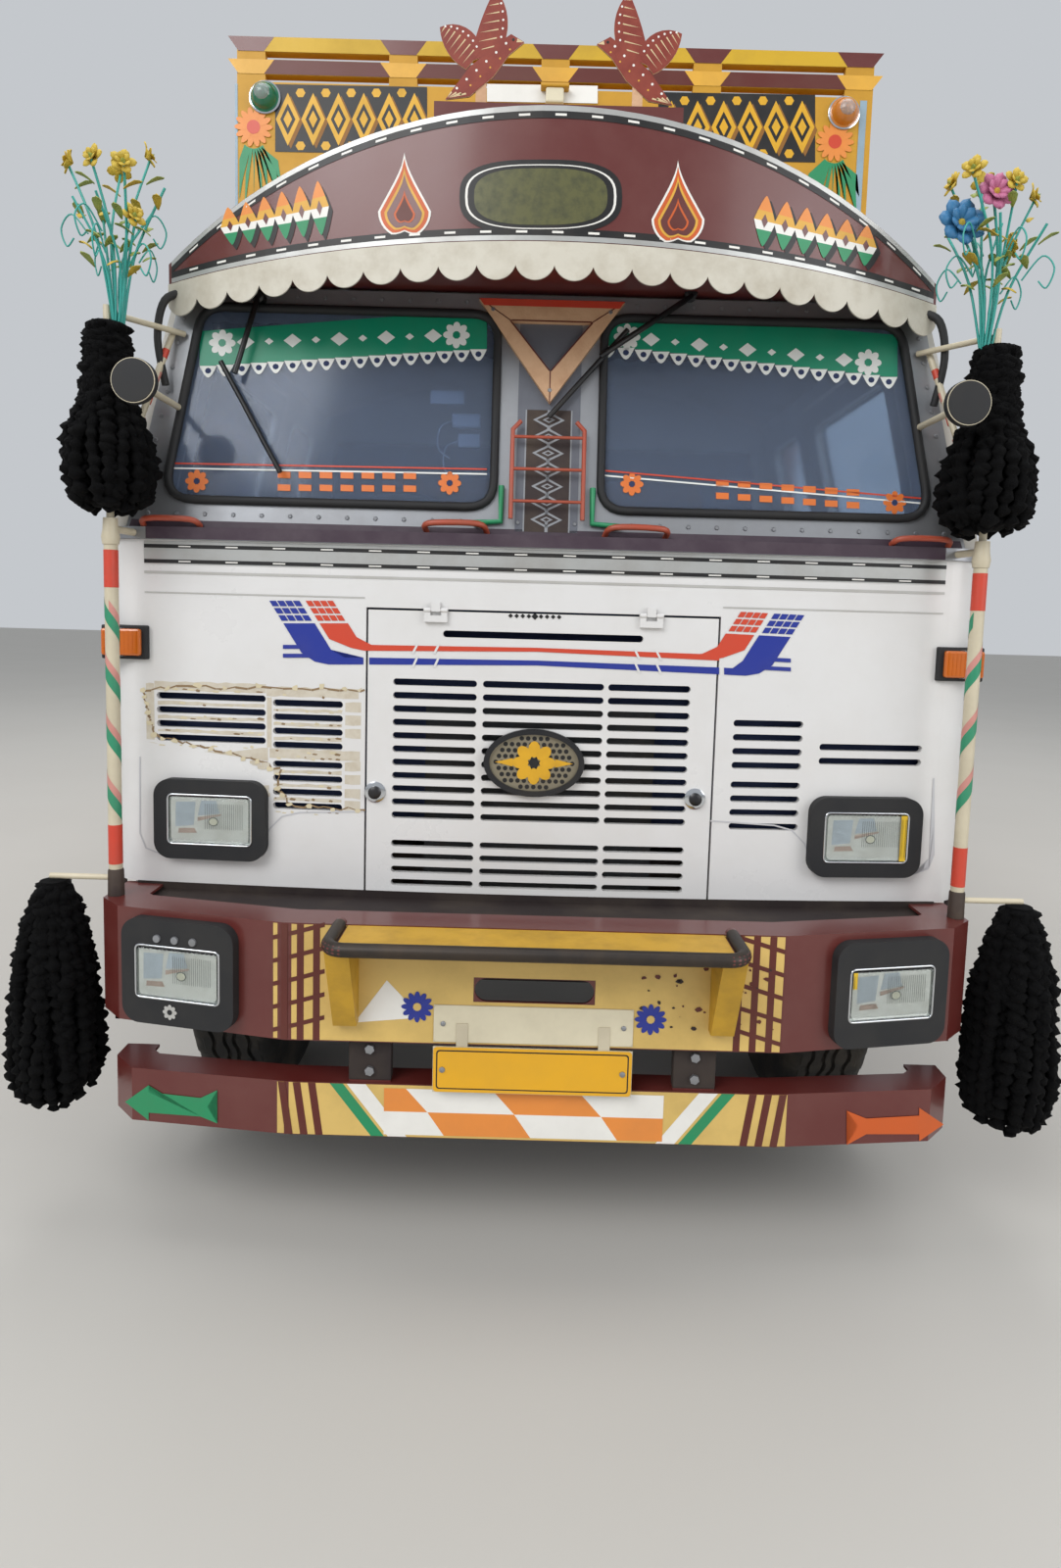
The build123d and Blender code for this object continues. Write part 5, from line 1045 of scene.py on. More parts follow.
for side in (-1, 1):
    x = side * POLE_X
    wound_band(f"pole_green_{side}", x, POLE_Y, 0.0187, 1.16, 1.76, 0.165, 0.042, POLE_GREEN, side)
    wound_band(f"pole_pink_{side}", x, POLE_Y, 0.0186, 1.20, 1.74, 0.165, 0.03, PINK, side)
    for n, (low, high) in enumerate(((1.04, 1.15), (1.80, 1.90))):
        ring = [(0, 0.0188), (high - low, 0.0188)]
        disc_stack(f"pole_band_{side}_{n}", (x, POLE_Y, low), (0, 0, 1), ring, POLE_RED, sides=20)
    neck = [(0, 0.021), (0.02, 0.024), (0.04, 0.020), (0.07, 0.0185)]
    disc_stack(f"pole_neck_{side}", (x, POLE_Y, 1.915), (0, 0, 1), neck, POLE_CREAM, sides=20)
    socket = [(0, 0.022), (0.07, 0.021), (0.075, 0.019)]
    disc_stack(f"pole_socket_{side}", (x, POLE_Y, 0.9505), (0, 0, 1), socket, DARK, sides=20)
    # Thin striped rod from the pole up to the frame's top corner, and the mirror's dark back and rim
    foot = Vector((side * 1.172, POLE_Y + 0.012, 2.02))
    head = on_screen(side * 1.06, 0.56, 0.012)
    rod(f"striped_rod_{side}", [foot, foot.lerp(head, 0.5) + Vector((0, -0.01, 0)), head], 0.0095, POLE_CREAM)
    for k in range(6):
        share = 0.18 + k * 0.13
        turn = [foot.lerp(head, t) + Vector((0, -0.004, 0)) for t in (share, share + 0.05)]
        rod(f"rod_turn_{side}_{k}", turn, 0.0102, POLE_RED if k % 2 else PINK)
    arm_y = screen_at(0, 2.310) - 0.0014 - 0.290
    rings = [
        (-0.0235, 0.040), (-0.023, 0.052), (-0.016, 0.0565), (-0.002, 0.0568), (0.004, 0.050), (0.010, 0.030),
        (0.014, 0.012)
    ]
    disc_stack(
        f"mirror_shell_{side}", (side * 1.040, arm_y - 0.001, 2.310), (0, 1, 0), rings, BLACK_RUBBER, sides=40
    )
    # Black hoses that loop from the frame's side up to the visor's end
    turns = ((1.075, 0.40, 0.02), (1.09, 0.52, 0.05), (1.07, 0.62, 0.06), (1.02, 0.66, 0.03))
    hose = [on_screen(side * across, up, lift) for across, up, lift in turns]
    rod(f"hose_{side}", smooth_line(hose, 6), 0.011, BLACK_RUBBER)

# Tassels: strings of woolly beads round a dark core, one tassel at a time
YARN = finish(
    "tassel_wool", "#050506", rough=0.98, grime=0.10, dirt="#1d1a17", scale=30.0, bump=1.0, bump_scale=300.0
)
YARN.node_tree.nodes["Principled BSDF"].inputs["Specular IOR Level"].default_value = 0.15


def tassel(name, x, low, top, radius, hole):
    """A full bunch of beaded strings; each string swells out and in again on its way down."""
    bm = bmesh.new()
    height = top - low

    def outer(f):
        """The bunch's half width, by how far down it is from its neck."""
        if hole and f < 0.62:
            return radius * (0.46 + 0.12 * f / 0.38 if f < 0.38 else 0.58 + 0.37 * (f - 0.38) / 0.24)
        if f < 0.35:
            return radius * (0.34 + 0.51 * (f / 0.35) ** 0.8)
        if f < 0.76:
            return radius * (0.85 + 0.12 * (f - 0.35) / 0.41)
        return radius * (0.97 - 0.22 * ((f - 0.76) / 0.24) ** 1.6)

    def string(angle, share, start, end, phase):
        sides, length = 7, (end - start) * height
        beads = max(3, int(length / 0.034))
        rings = beads * 4
        rows = []
        sizes = [rng.uniform(0.6, 1.35) for _ in range(beads + 2)]
        wander = rng.uniform(-0.12, 0.12)
        for i in range(rings + 1):
            t = i / rings
            f = start + (end - start) * t
            bulge = abs(sin(pi * (t * beads + phase)))
            thick = 0.0080 + 0.0125 * bulge * sizes[int(t * beads + phase)]
            if i in (0, rings):
                thick = 0.003
            r = max(hole + 0.012, (outer(f) - 0.019) * share * (1 + 0.05 * sin(9 * t + phase * 9)))
            a = angle + 0.14 * sin(4 * t + phase * 6) + wander * t
            centre = Vector((x + r * cos(a), POLE_Y + r * sin(a), top - f * height))
            out = Vector((cos(a), sin(a), 0))
            across = Vector((-sin(a), cos(a), 0))
            row = []
            for k in range(sides):
                b = 2 * pi * k / sides
                puff = thick * (1 + 0.30 * rng.uniform(-1, 1))
                row.append(bm.verts.new(centre + out * (puff * cos(b)) + across * (puff * sin(b))))
            rows.append(row)
        for i in range(rings):
            for k in range(sides):
                j = (k + 1) % sides
                bm.faces.new((rows[i][k], rows[i][j], rows[i + 1][j], rows[i + 1][k]))
        bm.faces.new(list(reversed(rows[0])))
        bm.faces.new(rows[-1])

    count = 24
    for ring, (share, start, end) in enumerate(((1.0, 0.04, 0.97), (0.74, 0.02, 1.0))):
        number = count if ring == 0 else 15
        for i in range(number):
            a = 2 * pi * (i + 0.5 * ring) / number + rng.uniform(-0.05, 0.05)
            string(a, share, start + rng.uniform(0, 0.05), end - rng.uniform(0, 0.07), rng.random())
    # Short outer strings at the neck and round the belly
    for i in range(14):
        a = 2 * pi * i / 14
        string(a, 0.96, 0.0, 0.38 + rng.uniform(0, 0.1), rng.random())
    bm.normal_update()
    obj = from_bmesh(name, bm, [YARN], smooth=True, body="truck")
    swell = [(height * f, outer(1 - f) * 0.66) for f in (0.06, 0.24, 0.5, 0.75)]
    core = [(0.01, radius * 0.3)] + swell + [(height - 0.01, radius * 0.26)]
    inside = disc_stack(f"{name}_core", (x, POLE_Y, low + 0.012), (0, 0, 1), core, YARN, sides=24)
    return [obj, inside]


tassel_pieces = []
for side in (-1, 1):
    tassel_pieces += tassel(f"upper_tassel_{side}", side * POLE_X, 1.99, 2.49, 0.127, 0.010)
    tassel_pieces += tassel(f"lower_tassel_{side}", side * 1.345, 0.345, 0.985, 0.133, 0.0)
for piece in tassel_pieces:
    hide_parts("tassels")

# Bouquets: turquoise stems, curled tendrils, leaves and flowers above the upper tassels
STEM = finish("stem_turquoise", "#2f9c92", rough=0.4, grime=0.15)
LEAF = finish("leaf_green", "#8a9a4a", rough=0.55, grime=0.35, dirt="#c0a63a", scale=22)
PETAL_YELLOW = finish("petal_yellow", "#c8ab3c", rough=0.6, grime=0.35, dirt="#7d7a2c", scale=18)
PETAL_BLUE = finish("petal_blue", "#2f6f9c", rough=0.5, grime=0.2, dirt="#1d3a5c", scale=18)
PETAL_PINK = finish("petal_pink", "#b9688c", rough=0.5, grime=0.2, dirt="#7a3b66", scale=18)


def petal(bm, root, direction, up, length, width, slot):
    """A cupped petal or leaf that points along direction."""
    direction = direction.normalized()
    across = direction.cross(up).normalized()
    rows = []
    for i, (t, w) in enumerate(((0.0, 0.12), (0.3, 0.75), (0.62, 1.0), (0.86, 0.7), (1.0, 0.08))):
        middle = root + direction * (length * t) + up * (length * 0.22 * sin(pi * t * 0.8))
        row = []
        for s in (-1, 0, 1):
            row.append(bm.verts.new(middle + across * (width * w * s / 2) - up * (abs(s) * width * 0.12)))
        rows.append(row)
    for a, b in zip(rows, rows[1:]):
        for k in range(2):
            face = bm.faces.new((a[k], a[k + 1], b[k + 1], b[k]))
            face.material_index = slot
            face.smooth = True


def bloom(bm, place, facing, radius, petals, slot, core_slot):
    """A flower of cupped petals with a button in the middle."""
    facing = facing.normalized()
    side_way = facing.orthogonal().normalized()
    other = facing.cross(side_way)
    for layer, scale in ((0, 1.0), (1, 0.68)):
        for i in range(petals):
            a = 2 * pi * (i + 0.5 * layer) / petals
            root = place + facing * 0.006 * layer
            way = side_way * cos(a) + other * sin(a) + facing * (0.25 + 0.4 * layer)
            petal(bm, root, way, facing, radius * scale, radius * 0.72 * scale, slot)
    ring = []
    for k in range(8):
        around = side_way * cos(k * pi / 4) + other * sin(k * pi / 4)
        ring.append(bm.verts.new(place + facing * 0.012 + around * radius * 0.2))
    tip = bm.verts.new(place + facing * (0.02 + radius * 0.12))
    for k in range(8):
        face = bm.faces.new((ring[k], ring[(k + 1) % 8], tip))
        face.material_index = core_slot


for side in (-1, 1):
    bunch = bmesh.new()
    root = Vector((side * (POLE_X - 0.03), POLE_Y, 2.45))
    stems = []
    for i in range(11):
        a = 2 * pi * i / 11 + 0.4 * side
        lean_out = 0.065 + 0.085 * ((i * 7) % 11) / 11
        rise = 0.30 + 0.20 * ((i * 5) % 11) / 11
        tip = root + Vector((lean_out * cos(a), lean_out * sin(a), rise))
        middle = root + Vector((0.35 * lean_out * cos(a + 0.5), 0.35 * lean_out * sin(a + 0.5), rise * 0.55))
        stems.append(tip)
        foot = root + Vector((0.008 * cos(a), 0.008 * sin(a), 0))
        rod(f"stem_{side}_{i}", smooth_line([foot, middle, tip], 5), 0.0034, STEM, sides=8)
        if i % 3 != 1:
            # A tendril that curls over at its end
            start = root.lerp(tip, 0.6)
            out = Vector((cos(a), sin(a), 0))
            curl = [start]
            for reach, rise_by in ((0.045, 0.05), (0.075, 0.015), (0.06, -0.03), (0.04, -0.01)):
                curl.append(start + out * reach + Vector((0, 0, rise_by)))
            rod(f"tendril_{side}_{i}", smooth_line(curl, 5), 0.0022, STEM, sides=8)
    for i, tip in enumerate(stems):
        out = Vector((tip.x - root.x, tip.y - root.y, 0)).normalized()
        for k in range(3):
            spot = root.lerp(tip, 0.52 + 0.17 * k)
            lean_way = Matrix.Rotation(1.9 * k + i, 3, "Z") @ out
            petal(
                bunch, spot, lean_way + Vector((0, 0, 0.35)), Vector((0, 0, 1)), 0.048, 0.024,
                0 if (i + k) % 3 else 1
            )
        facing = out + Vector((0, -0.5, 0.3))
        if i % 2 == 0:
            bloom(bunch, tip - out * 0.012, facing, 0.034, 5, 1, 0)
    if side > 0:
        for n, (place, size) in enumerate((((-0.105, -0.03, 0.33), 0.066), ((-0.030, -0.05, 0.40), 0.052))):
            place = Vector(place)
            tip = root + place
            rod(
                f"big_stem_{n}", smooth_line([root, root + place * 0.5 + Vector((0.02, 0, 0.03)), tip], 5),
                0.0036, STEM, sides=8
            )
            bloom(bunch, tip, Vector((0.1, -1, 0.2)), size, 7, 2 + n, 1)
    flowers = from_bmesh(f"bunch_{side}", bunch, [LEAF, PETAL_YELLOW, PETAL_BLUE, PETAL_PINK])
    flowers.modifiers.new("thickness", "SOLIDIFY").thickness = 0.0012
    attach(flowers, "truck")
    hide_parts("bouquets")

# Step on the bumper: dark pipe, yellow tray with a turned edge, yellow faces on its legs
STEP_Z, STEP_BACK = 0.945, FACE - 0.27
STEP_FRONT = STEP_BACK - 0.19 + 0.017
pipe = [(-0.508, STEP_BACK + 0.004, STEP_Z), (-0.508, STEP_FRONT + 0.045, STEP_Z)]
for i in range(7):
    a = pi / 2 * i / 6
    pipe.append((-0.508 + 0.045 - 0.045 * cos(a), STEP_FRONT + 0.045 - 0.045 * sin(a), STEP_Z))
pipe += [(-x, y, z) for x, y, z in reversed(pipe)]
PIPE_DARK = finish("step_pipe", "#2a2420", rough=0.45, metal=0.3, grime=0.4, dirt="#5d4a34")
rod("step_pipe", pipe, 0.0178, PIPE_DARK, sides=20)
TRAY = finish(
    "step_yellow", "#c79a26", rough=0.45, grime=0.4, dirt="#6b5322", scale=9, wear="#4a3220", wear_amount=0.0
)
box_mesh(
    "step_tray", (-0.485, STEP_FRONT + 0.020, STEP_Z - 0.0015), (0.485, STEP_BACK - 0.001, STEP_Z + 0.003),
    TRAY, bevel=0.001
)
box_mesh(
    "step_tray_edge", (-0.485, STEP_FRONT + 0.0615, STEP_Z - 0.042),
    (0.485, STEP_FRONT + 0.0595, STEP_Z - 0.006), TRAY, bevel=0.0008
)
for side in (-1, 1):
    inner, outer = side * 0.456, side * 0.516
    corners = [(inner, STEP_FRONT + 0.0235, STEP_Z - 0.009), (outer, STEP_FRONT + 0.0235, STEP_Z - 0.009),
               (outer, STEP_BACK - 0.0325, 0.692), (inner, STEP_BACK - 0.0325, 0.692)]
    back = [(x, STEP_BACK - 0.001, z) for x, y, z in corners]
    leg_faces = [(0, 1, 2, 3), (0, 4, 5, 1), (1, 5, 6, 2), (2, 6, 7, 3), (3, 7, 4, 0)]
    mesh_object(f"step_leg_{side}", corners + back, leg_faces, TRAY, body="truck")

# Name board and number plate, both blank: one cream, one yellow with a black line
board_y = FACE - 0.27 - 0.0003


def board(name, half, low, high, y, mat, line=None):
    shapes = [(mat, 0, rounded_box(half, low, high, 0.012))]
    if line:
        shapes.append((line, 1, rounded_box(half - 0.008, low + 0.008, high - 0.008, 0.01)))
        shapes.append((mat, 2, rounded_box(half - 0.0115, low + 0.0115, high - 0.0115, 0.008)))
    painted(name, lambda x, z: y, shapes, lift=0.0006, pitch=1.0)


def rounded_box(half, low, high, radius):
    return [tuple(p) for p in rounded(rectangle(-half, low, half, high), radius)]


board("name_board", 0.259, 0.644, 0.742, board_y - 0.004, CREAM)
board("plate", 0.259, 0.510, 0.632, board_y - 0.009, PLATE, BLACK)
for x in (-0.235, 0.235):
    for name, out, z, rings in (("plate", 0.0092, 0.571, [(0, 0.008), (0.004, 0.0075), (0.006, 0.003)]),
                                ("board", 0.0042, 0.693, [(0, 0.007), (0.003, 0.0065), (0.005, 0.003)])):
        disc_stack(f"{name}_bolt_{x}", (x, board_y - out, z), (0, -1, 0), rings, STEEL, sides=12)


def flat_paint(name, spot, shapes, body="truck"):
    """Thin painted shapes on a flat face; spot(a, b, lift) gives the place of a point raised by lift."""
    bm = bmesh.new()
    mats = []
    for mat, layer, outline in shapes:
        if mat not in mats:
            mats.append(mat)
        lift = 0.0012 + layer * LAYER
        face = bm.faces.new([bm.verts.new(spot(a, b, lift)) for a, b in outline])
        face.material_index = mats.index(mat)
    out = Vector(spot(0, 0, 1)) - Vector(spot(0, 0, 0))
    for face in bm.faces:
        face.normal_update()
        if face.normal.dot(out) < 0:
            face.normal_flip()
    bmesh.ops.triangulate(bm, faces=bm.faces[:])
    return from_bmesh(name, bm, mats, body=body)


# Load body: yellow posts, and in each bay a bordered panel of boards with a flower or a lozenge
BAY_FRONT, BAY_PITCH, POST = FACE + 2.080, 0.64997, 0.08
POST_FACE = 1.2453
bay_rows = ((1.280, 2.050), (2.110, 2.700), (2.760, 3.230))
for side in (-1, 1):
    def on_boards(a, b, lift):
        return (side * (1.2203 + lift), a, b)

    def on_posts(a, b, lift):
        return (side * (POST_FACE + lift * 0.5), a, b)

    panels, posts = [], []
    for i in range(12):
        y = BAY_FRONT + i * BAY_PITCH
        posts.append((BODY_RIB, 0, rectangle(y + 0.003, 1.193, y + POST - 0.003, 3.297)))
        for z in (1.235, 2.080, 2.730, 3.265):
            posts.append((GREEN, 1, lozenge(y + POST / 2, z, 0.030, 0.030)))
            posts.append((CREAM, 2, lozenge(y + POST / 2, z, 0.013, 0.013)))
        if i == 11:
            break
        low_y, high_y = y + POST + 0.02, y + BAY_PITCH - 0.02
        middle = (low_y + high_y) / 2
        for row, (low_z, high_z) in enumerate(bay_rows):
            a0, b0, a1, b1 = low_y, low_z + 0.02, high_y, high_z - 0.02
            panels.append((YELLOW, 0, rectangle(a0, b0, a1, b1)))
            panels.append((BODY_WOOD, 1, rectangle(a0 + 0.014, b0 + 0.014, a1 - 0.014, b1 - 0.014)))
            panels.append((GREEN, 2, rectangle(a0 + 0.03, b0 + 0.03, a1 - 0.03, b0 + 0.042)))
            panels.append((GREEN, 2, rectangle(a0 + 0.03, b1 - 0.042, a1 - 0.03, b1 - 0.03)))
            centre = (middle, (b0 + b1) / 2)
            if (i + row) % 2:
                for scale, mat, layer in ((1.0, CREAM, 2), (0.86, RED, 3), (0.5, YELLOW, 4)):
                    panels.append((mat, layer, lozenge(*centre, 0.15 * scale, 0.10 * scale)))
            else:
                panels += flower(centre, 0.105, 10, BRIGHT_ORANGE, BROWN, 2)
    flat_paint(f"side_panels_{side}", on_boards, panels)
    flat_paint(f"side_posts_{side}", on_posts, posts)

# Rear boards: panels between the uprights, each with two cream lines and a lozenge
BACK = FACE + 9.442


def on_back(a, b, lift):
    return (a, BACK + lift, b)


def bay_panels(low_x, high_x, low, high, count):
    """Panels between the uprights of a framed board at the back."""
    shapes = []
    pitch = (high_x - low_x - 0.06) / (count - 1)
    for i in range(count - 1):
        a0, a1 = low_x + i * pitch + 0.075, low_x + (i + 1) * pitch - 0.015
        shapes.append((BODY_WOOD, 0, rectangle(a0, low + 0.075, a1, high - 0.075)))
        shapes.append((CREAM, 1, rectangle(a0 + 0.02, low + 0.095, a1 - 0.02, low + 0.105)))
        shapes.append((CREAM, 1, rectangle(a0 + 0.02, high - 0.105, a1 - 0.02, high - 0.095)))
        middle = ((a0 + a1) / 2, (low + high) / 2)
        shapes.append((GREEN, 1, lozenge(*middle, 0.11, 0.16)))
        shapes.append((YELLOW, 2, lozenge(*middle, 0.085, 0.125)))
        shapes.append((RED, 3, lozenge(*middle, 0.045, 0.065)))
    return shapes


flat_paint("tailboard_panels", on_back, bay_panels(-POST_FACE, POST_FACE, 1.240, 1.880, 7), "tail_gate")
for name in ("left", "right"):
    low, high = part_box(f"rear_door_{name}")
    low_x, high_x = (-POST_FACE, -0.006) if low.x < -0.5 else (0.006, POST_FACE)
    panels = bay_panels(low_x, high_x, 1.892, 3.290, 3)
    flat_paint(f"rear_panels_{name}", on_back, panels, f"load_door_{name}")

# Tail lamps in three colours and a striped rear bar
REAR_BAR_Y = FACE + 9.400 - 0.120
TAIL_Y = REAR_BAR_Y + 0.112
TAIL_RED = finish("tail_red", "#8f1414", rough=0.15, grime=0.15, coat=0.6)
AMBER = finish("amber_lens", "#c8640f", rough=0.15, grime=0.15, coat=0.6)
LENS_WHITE = finish("lens_white", "#c9cdca", rough=0.15, grime=0.15, coat=0.6)
for side in (-1, 1):
    def on_tail(a, b, lift):
        return (side * a, TAIL_Y + lift, b)

    cells = ((0.902, 0.972, LENS_WHITE), (0.975, 1.045, AMBER), (1.048, 1.118, TAIL_RED))
    shapes = [(BLACK, 0, rectangle(0.900, 0.500, 1.120, 0.580))]
    shapes += [(mat, 1, rectangle(a, 0.503, b, 0.577)) for a, b, mat in cells]
    flat_paint(f"tail_lamp_{side}", on_tail, shapes)


def on_rear_bar(a, b, lift):
    return (a, REAR_BAR_Y + 0.090 + lift, b)


bars = []
for i in range(17):
    a = -0.86 + i * 0.1012
    b = a + 0.1012
    bars.append((CHALK if i % 2 else RED, 0, [(a, 0.482), (b, 0.482), (b + 0.03, 0.598), (a + 0.03, 0.598)]))
flat_paint("rear_bar_stripes", on_rear_bar, bars[:-1])

# Tyres: ribs with zigzag grooves, notched shoulders, rings on the walls
TREAD_R, WALL = 0.5245, 0.140
tyre_profile = [
    (0.1095, 0.2563), (0.1095, 0.2740), (0.1180, 0.2900), (0.1310, 0.3250), (0.1330, 0.3300),
    (0.1390, 0.3700), (0.1398, 0.3900), (0.1398, 0.4300), (0.1380, 0.4600), (0.1385, 0.4640),
    (0.1385, 0.4740), (0.1370, 0.4780), (0.1330, 0.4950),
]


def tyre_mesh(name, x, y, z):
    """A tyre about the level line through its centre; its tread repeats round the wheel."""
    around = 120
    verts, faces = [], []
    columns = None
    for j in range(around):
        a = 2 * pi * j / around
        zig = 0.004 * (1 if j % 4 < 2 else -1)
        notch = 0.011 if j % 3 == 0 else 0.0
        right = list(tyre_profile)
        right += [
            (0.124, 0.5130 - notch), (0.106, TREAD_R - notch * 0.8), (0.094, TREAD_R - notch * 0.5),
            (0.090, TREAD_R)
        ]
        floor_r = TREAD_R - 0.013
        right += [
            (0.067 + zig, TREAD_R), (0.064 + zig, floor_r), (0.056 + zig, floor_r), (0.053 + zig, TREAD_R)
        ]
        right += [
            (0.023 - zig, TREAD_R), (0.020 - zig, floor_r), (0.012 - zig, floor_r), (0.009 - zig, TREAD_R)
        ]
        left = [(-u, r) for u, r in reversed(right)]
        for k in range(4):
            left[k] = (-right[-1 - k][0] - 2 * zig, left[k][1])
        for k in range(4, 8):
            left[k] = (-right[-1 - k][0] + 2 * zig, left[k][1])
        row = right + left
        columns = len(row)
        for u, r in row:
            verts.append((x + u, y + r * cos(a), z + r * sin(a)))
    for j in range(around):
        m = (j + 1) % around
        for k in range(columns - 1):
            faces.append((j * columns + k, j * columns + k + 1, m * columns + k + 1, m * columns + k))
        faces.append((j * columns + columns - 1, j * columns, m * columns, m * columns + columns - 1))
    obj = mesh_object(name, verts, faces, RUBBER, smooth=True)
    obj.modifiers.new("edges", "EDGE_SPLIT").split_angle = radians(28)
    return obj


for name in [n for n in nodes if n.startswith("tyre")]:
    low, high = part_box(name)
    body = "wheel_" + name.split("_", 1)[1]
    y, z = (low.y + high.y) / 2, (low.z + high.z) / 2
    centres = [low.x + WALL, high.x - WALL] if high.x - low.x > 0.4 else [(low.x + high.x) / 2]
    for n, x in enumerate(centres):
        tyre = tyre_mesh(f"{name}_tread_{n}", x, y, z)
        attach(tyre, body)
        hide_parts(name)


# Seats: crowned cushions with sewn channels
def cushion(name, low, high, face, channels):
    """A padded block that swells on the side it is sat against; face is the axis and way of that side."""
    bm = bmesh.new()
    bmesh.ops.create_cube(bm, size=2.0)
    bmesh.ops.subdivide_edges(bm, edges=bm.edges[:], cuts=15, use_grid_fill=True)
    half = (Vector(high) - Vector(low)) / 2
    middle = (Vector(high) + Vector(low)) / 2
    axis, way = face
    others = [k for k in range(3) if k != axis]
    for v in bm.verts:
        p = v.co.copy()
        power = 7.0
        reach = max(abs(c) for c in p)
        norm = sum(abs(c) ** power for c in p) ** (1 / power)
        p *= reach / norm
        sit = max(0.0, p[axis] * way)
        across, along = p[others[0]], p[others[1]]
        edge = max(0.0, 1 - abs(across) ** 4) * max(0.0, 1 - abs(along) ** 4)
        groove = 1 - abs(sin(pi * channels * (across + 1) / 2)) ** 0.35
        p[axis] *= 1 - 0.16 * (1 - edge) if p[axis] * way > 0 else 1.0
        q = Vector([p[k] * half[k] for k in range(3)])
        q[axis] -= way * sit * edge * groove * 0.016
        pull = 0.006 * sin(pi * (along + 1) / 2) * (1 if abs(across) > 0.9 else 0)
        q[others[0]] -= pull * (1 if across > 0 else -1)
        v.co = middle + q
    obj = from_bmesh(name, bm, [VINYL], smooth=True)
    obj.modifiers.new("smooth", "SUBSURF").levels = 1
    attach(obj, "truck")
    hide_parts("seats")


for side in (-1, 1):
    x = side * 0.480
    cushion(
        f"seat_cushion_{side}", (x - 0.25, FACE + 1.130, 1.560), (x + 0.25, FACE + 1.610, 1.672), (2, 1), 5
    )
    cushion(
        f"seat_back_{side}", (x - 0.235, FACE + 1.488, 1.664), (x + 0.235, FACE + 1.608, 2.228), (1, -1), 5
    )

# Side windows, door handles, and the front's stripes carried along the cab's sides
SIDE_GLASS = clear("side_glass", "#d4dede", rough=0.03)


CAB_SIDE = 1.2297


def side_x(z):
    """How far out the cab's side is at this height."""
    return CAB_SIDE - 0.1647 * max(0, z - 1.9743) / 0.6907


def side_pane(name, side, low_y, high_y, low_z, high_z, body):
    """A thin pane set halfway into the cab's side."""
    verts = []
    for depth in (0.018, 0.023):
        for y, z in ((low_y, low_z), (high_y, low_z), (high_y, high_z), (low_y, high_z)):
            verts.append((side * (side_x(z) - depth), y, z))
    faces = [(0, 1, 2, 3), (7, 6, 5, 4), (0, 4, 5, 1), (1, 5, 6, 2), (2, 6, 7, 3), (3, 7, 4, 0)]
    mesh_object(name, verts, faces, SIDE_GLASS, body=body)


for name in ("left", "right"):
    low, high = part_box(f"door_{name}")
    side = 1 if low.x > 0 else -1
    body = f"cab_door_{name}"
    side_pane(f"door_pane_{name}", side, FACE + 0.436, FACE + 1.174, 2.006, 2.529, body)
    side_pane(f"quarter_pane_{name}", side, FACE + 1.391, FACE + 1.784, 2.046, 2.544, "truck")
    y, z = FACE + 1.13, 1.83
    grip = [
        (side * 1.231, y - 0.07, z), (side * 1.262, y - 0.06, z), (side * 1.262, y + 0.04, z),
        (side * 1.231, y + 0.05, z)
    ]
    rod(f"door_handle_{name}", grip, 0.008, BLACK_RUBBER, body)
    disc_stack(
        f"door_lock_{name}", (side * CAB_SIDE, y + 0.075, z - 0.03), (side, 0, 0),
        [(0, 0.014), (0.005, 0.012)], CHROME, body, sides=20
    )
    for kind, start, end, low_z, high_z, rider in (
        ("window", FACE + 0.440, FACE + 1.170, 2.010, 2.525, body),
        ("quarter", FACE + 1.395, FACE + 1.780, 2.050, 2.540, "truck"),
    ):
        seal = rounded(rectangle(start, low_z, end, high_z), 0.045)
        places = [(side * (side_x(p[1]) + 0.001), p[0], p[1]) for p in seal]
        rod(f"{kind}_seal_{name}", places, 0.008, BLACK_RUBBER, rider, closed=True)

    def on_side(a, b, lift):
        return (side * (CAB_SIDE + lift), a, b)

    for start, end, rider in ((FACE + 0.470, FACE + 1.235, body), (FACE + 1.262, FACE + 1.940, "truck")):
        shapes = [
            (RED, 0, rectangle(start, 1.655, end, 1.680)), (BLUE, 0, rectangle(start, 1.600, end, 1.635))
        ]
        shapes += [
            (MAROON, 0, rectangle(start, 1.200, end, 1.300)), (YELLOW, 1, rectangle(start, 1.302, end, 1.312))
        ]
        if rider == body:
            shapes += flower(((start + end) / 2, 1.46), 0.085, 12, BRIGHT_ORANGE, RED, 1)
        flat_paint(f"side_stripes_{name}_{rider}", on_side, shapes, rider)


# Birds: brown with cream feather lines and white dots, on both faces
BIRD_FRONT = FACE - 0.1497
BIRD_Z = 3.1256
bird_body = ((-105, 42), (-72, 60), (-40, 38), (30, -20), (88, -96), (28, -88), (-30, -40), (-68, 12))
bird_wings = (
    ((-45, 20), (-62, 100), (-30, 165), (5, 85), (28, -5)),
    ((0, 22), (55, 78), (105, 72), (88, 20), (38, -24))
)
BIRD_RED = finish("bird_red", "#7c2b1d", rough=0.45, grime=0.3, dirt="#b0563a", scale=25)
BIRD_CREAM = finish("bird_cream", "#d3bd93", rough=0.5, grime=0.2)


